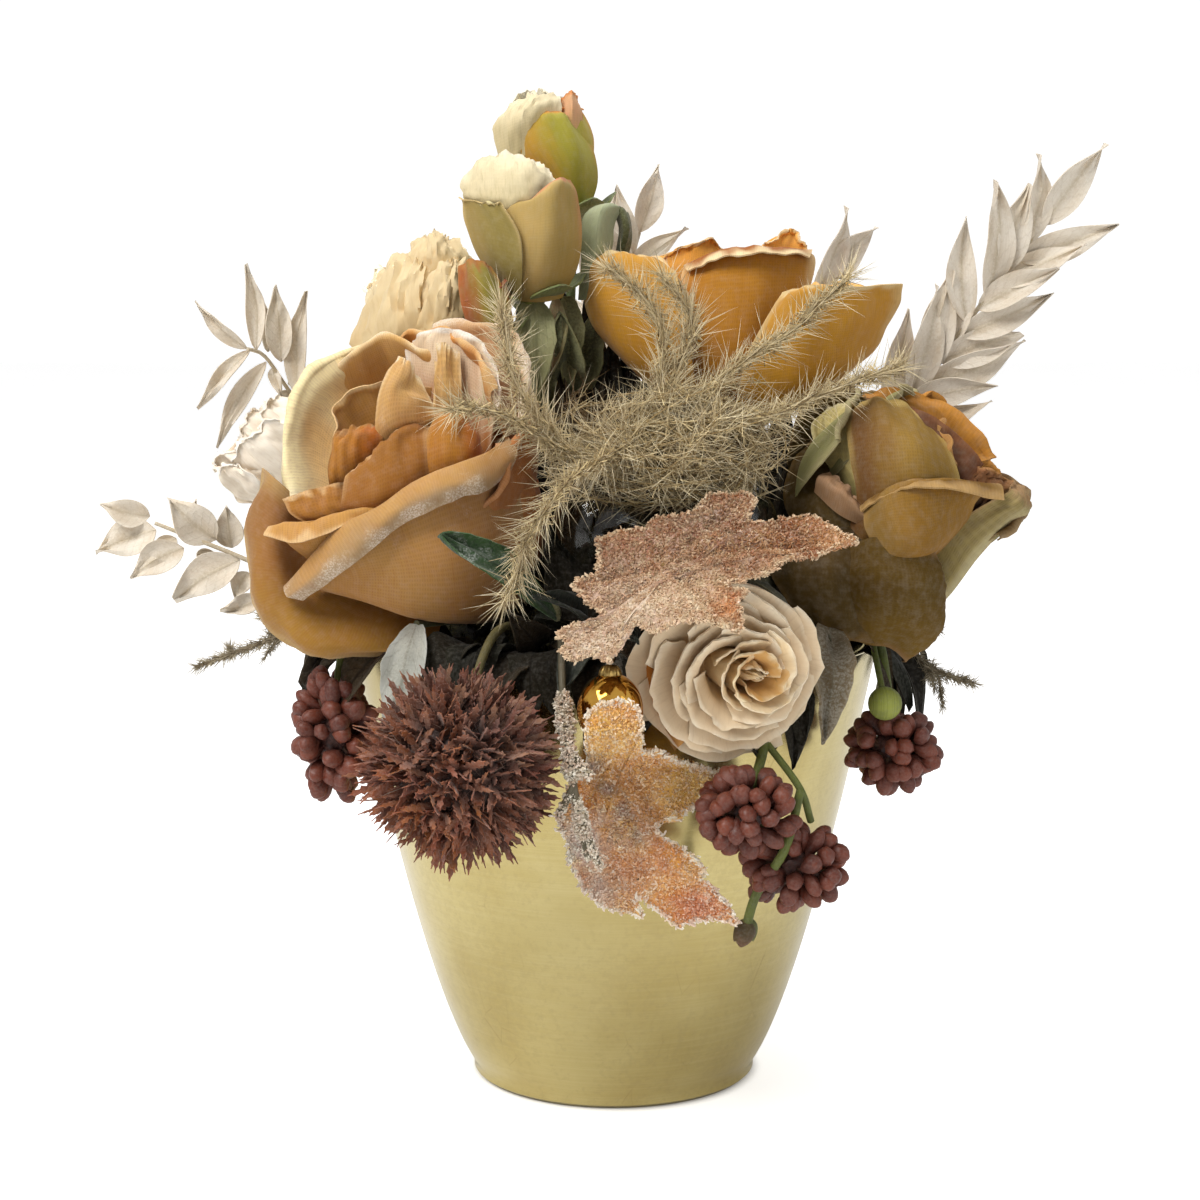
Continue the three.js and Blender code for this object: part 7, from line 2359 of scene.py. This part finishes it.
BERRY_HEADS = (
    BerryHead("sedum_left", (-75, -45, 107), (9, 7, 17.5), 5.6, 3, 78),
    BerryHead("sedum_right", (74, -51, 104), (11, 7, 10), 5.4, 5),
    BerryHead("sedum_low_a", (33, -90, 96), (11, 7, 9), 5.4, 8),
    BerryHead("sedum_low_b", (46, -80, 79), (12, 7, 9), 5.4, 9),
)


class BerryStems:
    """The green stems that carry the berry heads, the hanging twig and the green berry."""

    centres = {head.name: np.array(head.centre, float) for head in BERRY_HEADS}
    stems = (
        ("sedum_left", ((-74, -42, 124), (-70, -39, 137)), (-50, -31)),
        ("sedum_right", ((73, -48, 118), (68, -42, 137)), (51, -30)),
        ("sedum_low", ((38, -80, 112), (38, -73, 134)), (33, -44)),
    )
    branch = ((38, -80, 112), (47, -84, 100), (50, -80, 91))
    hanging = ((47, -84, 100), (43, -88, 86), (36, -82, 72), (33.5, -79, 62))
    green_berry = vec(71, -58, 117.5)

    def build(self, finishes: Finishes) -> None:
        """Makes each stem as one piece, with what grows on it."""
        green, dark = colour("6B7434"), colour("4A5226")
        for name, route, entry in self.stems:
            head = self.centres["sedum_low_a" if name == "sedum_low" else name]
            first, last = (np.array(p, float) for p in route)
            path = smooth_curve(stem_points([mix(head, first, 0.3), first, last], entry), 40)
            parts = [tube(path, 1.3, mix(green, dark, np.linspace(0, 1, 40)[:, None]), 10)]
            if name == "sedum_low":
                parts += self.low_branches(green, dark)
            if name == "sedum_right":
                parts += self.green_bead(last, green)
            set_down(make_piece(f"{name}_stalk", joined(parts), finishes.stem), "green_stem", f"{name}_stem")

    def low_branches(self, green: Array, dark: Array) -> list[Patch]:
        """The side branch, the twig that hangs in front of the pot, its bud and its bract."""
        fork, twig = smooth_curve(self.branch, 16), smooth_curve(self.hanging, 26)
        tip, low = twig[-1], unit(twig[-1] - twig[-3])
        blank = bead_blank(14, 10, lambda h: np.sin(math.pi * h ** 0.8) ** 0.75)
        axes = np.array([low, unit(low + vec(0.4, 0.1, 0)), unit(low + vec(-0.35, -0.2, 0))])
        spots = np.array([tip - 3.2 * low, tip - 3.6 * low, tip - 3.4 * low])
        sizes = np.array([[2.9, 2.9, 8.6], [2.0, 1.3, 7.6], [2.0, 1.3, 7.2]])
        tints = np.array([colour("5A4A2A"), colour("5E6630"), colour("6A5A30")])
        ends = np.array([colour("6E4A34"), colour("7A7A3C"), colour("5A4426")])
        bud = stamp(blank, spots, turns_to(axes, np.array([0.2, 1.2, 2.0])), sizes, tints, ends)
        side = smooth_curve([twig[5], twig[5] + vec(-6, -2, -3), twig[5] + vec(-10, -2.5, 1.5)], 12)
        swell = np.array([0.5, 0.5, 0.5, 0.55, 0.7, 1.0, 1.5, 1.9, 1.9, 1.6, 1.0, 0.3])
        return [tube(fork, 1.0, green, 8), tube(twig, np.linspace(1.15, 1.3, 26), green, 10), bud,
                tube(side, swell, mix(green, dark, 0.5), 8)]

    def green_bead(self, root: Array, green: Array) -> list[Patch]:
        """The green berry with its small crown, on its own stalk."""
        blank = bead_blank(20, 14, lambda h: np.sqrt(np.clip(h * (1 - h), 0, 1)) * 2)
        axis = unit(vec(0.1, -1, 0.1))
        spot = self.green_berry - 4.6 * axis
        berry = stamp(blank, spot[None], turns_to(axis[None], np.zeros(1)), np.array([[4.5, 4.5, 9.2]]),
                      colour("5C6A20")[None], colour("9AA048")[None])
        stalk = smooth_curve([self.green_berry, mix(self.green_berry, root, 0.5), root], 12)
        return [berry, tube(stalk, 0.9, green, 8)]


# ---------- Twig and single leaves ----------


class FrostedTwig:
    """A twig under thick white grains, with three short side twigs."""

    route = (vec(-7, -98, 86), vec(-10.5, -98, 104), vec(-13, -93, 122), vec(-14, -77, 139))
    sides = (
        (vec(-8.5, -98, 95), vec(-4, -100, 84)),
        (vec(-10.5, -98, 104), vec(-14.5, -101, 97)),
        (vec(-12, -96, 113), vec(-6.5, -99, 107)),
    )

    def build(self, finishes: Finishes) -> None:
        """Makes the twigs and their grains."""
        random = np.random.default_rng(17)
        bark = colour("6E6450")
        whole = smooth_curve(stem_points(self.route, (-14, -61)), 60)
        paths = [whole, *(smooth_curve(pair, 14) for pair in self.sides)]
        twigs = joined([tube(path, np.linspace(1.0, 0.8, len(path)), bark, 8) for path in paths])
        set_down(make_piece("frosted_twig_bark", twigs, finishes.stem), "frosted_white", "frosted_twig")
        spots, axes = [], []
        for path, count, thick in zip([whole[:24], *paths[1:]], (3200, 800, 400, 300), (2.3, 1.8, 1.2, 1.0)):
            k = random.integers(0, len(path), count)
            out = unit(random.normal(size=(count, 3)))
            lumps = 0.75 + 0.4 * ripple(path, 6.0, 31)[k][:, None]
            spots.append(path[k] + out * thick * lumps * random.uniform(0.5, 1.05, (count, 1)))
            axes.append(unit(out + 0.6 * random.normal(size=(count, 3))))
        spot, axis = np.vstack(spots), np.vstack(axes)
        thick = random.uniform(0.2, 0.42, len(spot))
        sizes = slim(thick, thick * random.uniform(1.2, 2.4, len(spot)))
        tint = mix(colour("F4EFE0"), colour("B0A68C"), random.uniform(0, 1, (len(spot), 1)) ** 2)
        grains = stamp(crystal_blank(), spot, random_turns(axis, random), sizes, tint)
        set_down(make_piece("frosted_twig_grains", grains, finishes.crystals, smooth=5), "frosted_white")


@dataclass(frozen=True)
class LeafStalk:
    """Leaves that share one stalk in the foam."""

    name: str
    nodes: tuple[str, ...]
    slot: str
    foot: Spot
    tips: tuple[tuple[Spot, float], ...]
    facing: Spot
    arch: float
    entry: Entry
    tint: str
    edge: str
    over: tuple[Spot, ...] = ()
    frost: float = 0.0
    blunt: float = 1.0

    def build(self, material: Material, stem: Material) -> None:
        """Makes the leaves and the stalk."""
        seed = sum(map(ord, self.name))
        leaves = [
            leaf_patch(Leaf(self.foot, tip, breadth, self.facing, self.arch, 1.2, self.tint, self.edge, self.frost,
                            self.blunt),
                       seed + 7 * i, 12, 24)
            for i, (tip, breadth) in enumerate(self.tips)
        ]
        route = smooth_curve(stem_points([self.foot, *self.over], self.entry), 24)
        stalk = tube(route, 1.0, colour("5A5636"), 8)
        set_down(make_piece(f"{self.name}_blades", joined(leaves), material, 0.4), self.slot, *self.nodes)
        set_down(make_piece(f"{self.name}_stalks", stalk, stem), "green_stem")


GREY, GREY_EDGE = "A3A08C", "C6C4B6"
LEAF_STALKS = (
    LeafStalk("green_leaf", ("green_leaf",), "dark_leaf", (-15, -76, 143), (((-43.5, -90, 166), 10.5),),
              (0.3, -0.7, 0.6), 3, (-17, -38), "1A3812", "365A20", ((-15, -64, 143),), 0.36, 1.5),
    LeafStalk("grey_leaf_left", ("grey_leaf_left",), "grey_leaf", (-52, -60, 139), (((-57, -78, 108), 11),),
              (-0.2, -0.9, 0.2), 4, (-37, -39), "9C9C92", "C4C6C0"),
    LeafStalk("grey_leaf_right", ("grey_leaf_right",), "grey_leaf", (56, -58, 140), (((53, -82, 112), 11),),
              (0.2, -0.9, 0.2), 4, (42, -36), "54442A", "8A7450"),
    LeafStalk("grey_back_left", ("grey_leaves_back_left",), "grey_leaf", (-48, 48, 144),
              (((-84, 48, 138), 19), ((-66, 74, 128), 19), ((-36, 80, 142), 17), ((-64, 50, 170), 16)), (0, 0.3, 1),
              4, (-38, 40), GREY, GREY_EDGE),
    LeafStalk("grey_back", ("grey_leaves_back",), "grey_leaf", (-2, 66, 142),
              (((-26, 88, 126), 18), ((2, 96, 134), 19), ((28, 84, 124), 18)), (0, 0.3, 1), 4, (-2, 54), GREY,
              GREY_EDGE),
    LeafStalk("grey_back_right", ("grey_leaves_back_right",), "grey_leaf", (52, 44, 144),
              (((84, 36, 146), 18), ((76, 64, 130), 19), ((46, 82, 140), 18), ((66, 50, 170), 16)), (0, 0.3, 1), 4,
              (42, 38), GREY, GREY_EDGE),
    # The near-black colours of low_dark_leaves, brown_leaves and mid_leaves are painted shade in the hollows under and
    # between the flowers.
    LeafStalk("low_dark_leaves", (), "dark_leaf", (-6, -66, 138),
              (((-14, -88, 126), 9), ((5, -90, 140), 9), ((-20, -84, 150), 8)), (0, -0.7, 0.7), 3, (-4, -50), "161A10",
              "2A2E1C"),
    LeafStalk("brown_leaves", (), "grey_leaf", (6, -70, 136), (((-8, -88, 112), 10), ((-4, -86, 141), 10)),
              (0, -1, 0.2), 3, (5, -56), "2E2418", "54462E"),
    LeafStalk("olive_leaves", (), "dark_leaf", (44, -52, 140),
              (((34, -70, 152), 11), ((58, -66, 128), 10), ((22, -60, 158), 10)), (0, -0.7, 0.7), 3, (36, -38),
              "3A3418", "5E5630"),
    LeafStalk("mid_leaves", (), "dark_leaf", (-2, 6, 152),
              (((-26, -22, 176), 15), ((14, -26, 178), 15), ((4, 26, 182), 15), ((26, -8, 170), 14)), (0, -0.6, 0.8), 4,
              (0, 4), "2A2A18", "4A4A2C"),
)


class DarkFill:
    """Dark dried leaves: over the foam, bent down over the pot's rim, and upright between the flowers; the near-black
    ones are painted shade.
    """

    cover = 90
    over_rim = 64
    # The dark and dry colours are near black: painted shade in the hollows between and under the flowers.
    dark = ("12120C", "1A1610", "221C12", "181C12", "241E14")
    dry = ("241C14", "30261A", "3E3222", "4A3C2A", "2C2218")
    open_rim = ((-72, -55), (50, 74))
    behind_maple = (-26, 36)
    upright = (
        ((-10, -50), (568, 480, -40), 15, 0), ((2, -46), (622, 470, -38), 16, 1), ((14, -50), (662, 492, -44), 15, 0),
        ((26, -46), (705, 478, -36), 15, 1), ((36, -44), (748, 466, -34), 14, 0), ((46, -40), (792, 452, -26), 14, 1),
        ((54, -34), (828, 470, -30), 14, 0), ((-4, -34), (590, 432, -26), 14, 1), ((10, -30), (640, 425, -22), 15, 0),
        ((28, -28), (700, 420, -18), 15, 1), ((42, -26), (760, 425, -16), 15, 0), ((-16, -34), (545, 452, -26), 13, 0),
        ((-8, -18), (560, 372, -6), 13, 1), ((-16, -12), (532, 392, -4), 13, 0), ((-6, -6), (588, 322, 12), 15, 0),
        ((0, -10), (606, 372, 2), 15, 1), ((-12, -4), (566, 318, 8), 13, 1), ((6, -14), (630, 392, -8), 15, 0),
        ((-20, -48), (508, 612, -76), 11, 1), ((-4, -2), (612, 336, 8), 15, 0), ((2, -8), (634, 366, 2), 16, 0),
        ((8, -10), (654, 396, -4), 16, 1), ((14, -14), (680, 414, -8), 16, 0), ((22, -16), (728, 418, -8), 16, 0),
        ((30, -16), (758, 410, -6), 15, 1), ((38, -18), (786, 398, -4), 15, 0), ((46, -18), (812, 392, -4), 14, 0),
        ((18, -34), (668, 442, -26), 15, 0), ((24, -34), (688, 450, -28), 14, 1), ((40, -30), (776, 436, -18), 15, 0),
        ((44, -28), (796, 424, -14), 14, 0), ((34, -34), (738, 446, -24), 14, 0), ((-2, -4), (626, 348, 12), 18, 0),
        ((6, -8), (648, 370, 8), 18, 1), ((10, -6), (664, 384, 6), 17, 0), ((40, -12), (838, 392, 4), 16, 0),
        ((46, -14), (858, 404, 0), 15, 1), ((-14, 4), (520, 274, 18), 13, 0), ((-6, 4), (558, 276, 16), 14, 0),
        ((-2, 4), (588, 284, 16), 13, 1),
    )
    olive = ("3C4226", "4A4A2C", "5A5636", "34321E")

    def build(self, finishes: Finishes) -> None:
        """Makes the dark, the dry and the olive ones, each kind as one piece."""
        self.random = np.random.default_rng(23)
        self.heaps: dict[str, list[Patch]] = {"dark": [], "dry": [], "olive": []}
        for k in range(self.cover):
            self.lying(k)
        for k in range(self.over_rim):
            self.hanging(2 * math.pi * k / self.over_rim)
        for (x, y), tip, breadth, kind in self.upright:
            foot = vec(x, y, foam_top(x, y) - 1)
            self.add(foot, in_picture(np.array([tip], float))[0], breadth, vec(0, -1, 0.2), 4, ("dark", "dry")[kind])
        for kind, finish in (("dark", finishes.shade_fill_leaf), ("dry", finishes.shade_fill_leaf), ("olive", finishes.bud_leaf)):
            set_down(make_piece(f"fill_leaves_{kind}", joined(self.heaps[kind]), finish, 0.35), "dark_leaf")

    def add(self, foot: Array, tip: Array, breadth: float, facing: Array, arch: float, kind: str) -> None:
        """Puts one leaf on its heap."""
        shade = str(self.random.choice(getattr(self, kind)))
        leaf = Leaf(tuple(foot), tuple(tip), breadth, tuple(facing), arch, 1.4, shade,
                    "4E4230" if kind == "dry" else "2A281C")
        self.heaps[kind].append(leaf_patch(leaf, 500 + sum(map(len, self.heaps.values())), 6, 14))

    def lying(self, k: int) -> None:
        """A leaf on the foam that points out and up."""
        random = self.random
        around = k * GOLDEN_ANGLE + random.uniform(-0.2, 0.2)
        start = 62 * math.sqrt((k + 8) / (self.cover + 8))
        out, aside = ways_round(around)
        foot = out * start + UP * (foam_top(start, 0) - 1)
        climb = random.uniform(0.35, 1.1) if start < 48 else random.uniform(0.15, 0.9)
        tip = foot + random.uniform(11, 17) * unit(out + climb * UP + random.uniform(-0.6, 0.6) * aside)
        self.add(foot, tip, random.uniform(7, 11), unit(UP - 0.5 * out + 0.4 * random.normal(size=3)),
                 random.uniform(1, 4), self.kind())

    def hanging(self, around: float) -> None:
        """A leaf that comes up inside the rim and bends down over it, where the rim isn't open to view."""
        random = self.random
        around += random.uniform(-0.06, 0.06)
        out, aside = ways_round(around)
        low = random.uniform(102, 121)
        tip = out * random.uniform(83, 90) + random.uniform(-7, 7) * aside + low * UP
        if tip[1] < 0 and any(a < tip[0] < b for a, b in self.open_rim):
            return
        if tip[1] < 0 and self.behind_maple[0] < tip[0] < self.behind_maple[1]:
            tip = out * 80 + 116 * UP
        foot = out * 61 + UP * (foam_top(61, 0) + 1)
        self.add(foot, tip, random.uniform(12, 17), unit(UP + 0.8 * out + 0.15 * random.normal(size=3)),
                 random.uniform(9, 12), self.kind() if tip[1] < 10 else "olive")

    def kind(self) -> str:
        """Dark, or now and then dry."""
        return "dark" if self.random.uniform() < 0.62 else "dry"


# ---------- Pot and foam ----------


class Pot:
    """The pressed gold pot: a rounded foot, a swelling side and a rolled rim."""

    sides = 144

    def build(self, material: Material) -> None:
        """Turns the pot as one closed body."""
        outer = [(pot_radius(z), z) for z in np.linspace(3.2, POT_HEIGHT - 3.4, 44)]
        foot = [(0.6, 0.9), (20.0, 0.9), (33.5, 0.8), (36.2, 0.25), (37.8, 0.0), (39.6, 0.25), (40.6, 1.2)]
        rim_radius = pot_radius(POT_HEIGHT - 1.7)
        rim = [(rim_radius + 0.1 + 1.15 * math.sin(a), POT_HEIGHT - 1.7 - 1.6 * math.cos(a))
               for a in np.linspace(0.5, math.pi, 9)]
        inside = [(inner_radius(z), z) for z in np.linspace(POT_HEIGHT - 1.2, POT_FLOOR + 2.5, 30)]
        floor = [(inner_radius(POT_FLOOR) - 1.6, POT_FLOOR), (0.6, POT_FLOOR)]
        bowl = lathe("gold_pot", [*foot, *outer, *rim, *inside, *floor], self.sides, material)
        set_down(bowl, "brushed_metal", "pot")


class Moss:
    """The foam's domed top under a coat of moss and broken stalks."""

    sides = 96
    tufts = 6500

    def build(self, material: Material) -> None:
        """Makes the foam and the moss on it."""
        heights = np.linspace(FOAM_EDGE_HEIGHT, POT_FLOOR + 0.4, 12)
        edge = inner_radius(FOAM_EDGE_HEIGHT) - FOAM_GAP
        dome = [(r, foam_top(r, 0)) for r in np.linspace(0.6, edge - 0.4, 26)]
        wall = [(inner_radius(z) - FOAM_GAP, z) for z in heights]
        profile = [*dome, *wall, (0.6, POT_FLOOR + 0.4)]
        foam = lathe("foam_block", profile, self.sides, material)
        points = np.array([v.co for v in foam.data.vertices]) / MM
        lumps = np.where(points[:, 2] > FOAM_EDGE_HEIGHT + 1, 0.9 * ripple(points, 7.0, 2) - 0.5, 0)
        points[:, 2] += lumps
        foam.data.vertices.foreach_set("co", (points * MM).ravel())
        tint = np.tile(colour("2E2C18"), (len(points), 1))
        foam.data.color_attributes.new(name="tint", type="FLOAT_COLOR", domain="POINT")
        foam.data.attributes.new(name="frost", type="FLOAT", domain="POINT")
        paint(foam.data, tint, np.zeros(len(points)))
        set_down(foam, "foam", "floral_foam")
        random = np.random.default_rng(29)
        count = self.tufts
        radius = (inner_radius(FOAM_EDGE_HEIGHT) - 2.5) * np.sqrt(random.uniform(size=count))
        angle = random.uniform(0, 2 * math.pi, count)
        x, y = radius * np.cos(angle), radius * np.sin(angle)
        spots = np.stack([x, y, np.array([foam_top(a, b) for a, b in zip(x, y)]) - 1.2], 1)
        axes = unit(random.normal(size=(count, 3)) * vec(1, 1, 0.5) + vec(0, 0, 0.9))
        long = random.uniform(2.5, 7.5, count)
        luck = random.uniform(size=(count, 1))
        roots = mix(colour("1E1C10"), colour("3A3A1E"), luck)
        tips = mix(colour("4A4626"), colour("8A7A4A"), luck ** 2)
        tufts = stamp(needle_blank(), spots, random_turns(axes, random), slim(0.26, long), roots, tips)
        set_down(make_piece("moss_tufts", tufts, material, smooth=30), "foam")


# ---------- Studio ----------


class Studio:
    """The pale floor, the soft lights and the camera at the photograph's angle."""

    sensor = 36.0
    middle = vec(0, -0.03, 0.15)

    def build(self) -> None:
        """Makes the camera, the floor, the world and the lights."""
        scene = bpy.context.scene
        camera = bpy.data.objects.new("camera", bpy.data.cameras.new("camera"))
        camera.data.sensor_width = self.sensor
        camera.data.lens = self.sensor * FOCAL / PICTURE
        camera.location = (EYE * MM).tolist()
        camera.rotation_euler = (math.pi / 2 - PITCH, 0, 0)
        scene.collection.objects.link(camera)
        scene.camera = camera
        scene.view_settings.view_transform = "Standard"
        self.floor()
        self.world()
        self.lamp("key", (-0.55, -0.6, 1.0), 0.6, 11.5, (1, 0.985, 0.96))
        self.lamp("fill", (0.95, -0.85, 0.45), 0.8, 1.8, (0.97, 0.985, 1))
        self.lamp("top", (0.1, 0.25, 1.2), 0.8, 7, (1, 1, 1))

    def floor(self) -> None:
        """A plain white floor, with a painted contact shadow round the pot's foot."""
        deselect()
        bpy.ops.mesh.primitive_grid_add(x_subdivisions=8, y_subdivisions=8, size=8)
        floor = bpy.context.object
        floor.name = "studio_floor"
        f = Finish("studio_white", Specular_IOR_Level=0.2)
        shown = f.add("LightPath").outputs["Is Camera Ray"]
        away = f.add("VectorMath", {0: f.stretch(f.object_place(), (1, 1, 0))}, operation="LENGTH").outputs["Value"]
        # Painted contact shadow: the floor's glow falls to a tenth in a ring round the pot's foot.
        near = f.rise(away, 0.038, 0.0435, 0.1, 1.0)
        glow = f.plus(f.times(shown, 0.52), 0.18)
        f.feed(f.shader.inputs["Emission Strength"], f.times(glow, near))
        shade = f.rise(f.noise(f.object_place(), 3.0), 0.3, 0.7)
        f.feed(f.shader.inputs["Emission Color"], f.blend(shade, (1, 1, 1, 1), (0.99, 0.99, 0.99, 1)))
        floor.data.materials.append(f.dress(f.blend(shade, (0.86, 0.86, 0.86, 1), (0.85, 0.85, 0.85, 1)), 0.7))

    def world(self) -> None:
        """A white studio that lights less than it shows."""
        world = bpy.data.worlds.new("studio")
        world.use_nodes = True
        bpy.context.scene.world = world
        n = Nodes(world.node_tree)
        ray = n.add("LightPath").outputs
        back = world.node_tree.nodes["Background"]
        glossy = n.plus(n.times(ray["Is Glossy Ray"], 0.38), 0.3)
        n.feed(back.inputs["Strength"], n.plus(n.times(ray["Is Camera Ray"], 0.76), glossy))
        back.inputs["Color"].default_value = (1, 1, 1, 1)

    def lamp(self, name: str, place: Spot, size: float, power: float, tone: Spot) -> None:
        """A square soft light that faces the arrangement's middle."""
        data = bpy.data.lights.new(name, "AREA")
        data.size = size
        data.energy = power
        data.color = tone
        lamp = bpy.data.objects.new(name, data)
        lamp.location = place
        aim = unit(self.middle - np.array(place))
        lamp.rotation_euler = Matrix(turn_to(-aim).tolist()).to_euler()
        bpy.context.scene.collection.objects.link(lamp)


def main() -> None:
    """Builds the arrangement, piece by piece, and writes how large it is."""
    logging.basicConfig(level=logging.INFO, format="%(name)s: %(message)s")
    Studio().build()
    finishes = Finishes()
    Pot().build(finishes.gold)
    Moss().build(finishes.moss)
    for rose in ROSES:
        rose.build(getattr(finishes, ROSE_SILKS[rose.slot]), finishes.stem)
    BudSpray().build(finishes.bud, finishes.stem, finishes.bud_leaf)
    for spray in RUSCUS:
        spray.build(finishes.ruscus)
    FernSpray().build(finishes.straw)
    for strand in DRY_STRANDS:
        strand.build(finishes.dry)
    Allium().build(finishes.allium, finishes.stem)
    for maple, leaf_finish in zip(MAPLES, (finishes.peach_leaf, finishes.orange_leaf)):
        maple.build(finishes, leaf_finish)
    Baubles().build(finishes)
    for head in BERRY_HEADS:
        head.build(finishes.berry)
    BerryStems().build(finishes)
    FrostedTwig().build(finishes)
    for stalk in LEAF_STALKS:
        leaf_finish = finishes.dark_leaf if stalk.slot == "dark_leaf" else finishes.grey_leaf
        stalk.build(leaf_finish, finishes.stem)
    DarkFill().build(finishes)
    deselect()
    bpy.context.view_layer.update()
    LOG.info("built %d finishes", len(vars(finishes)))


if __name__ == "__main__":
    main()
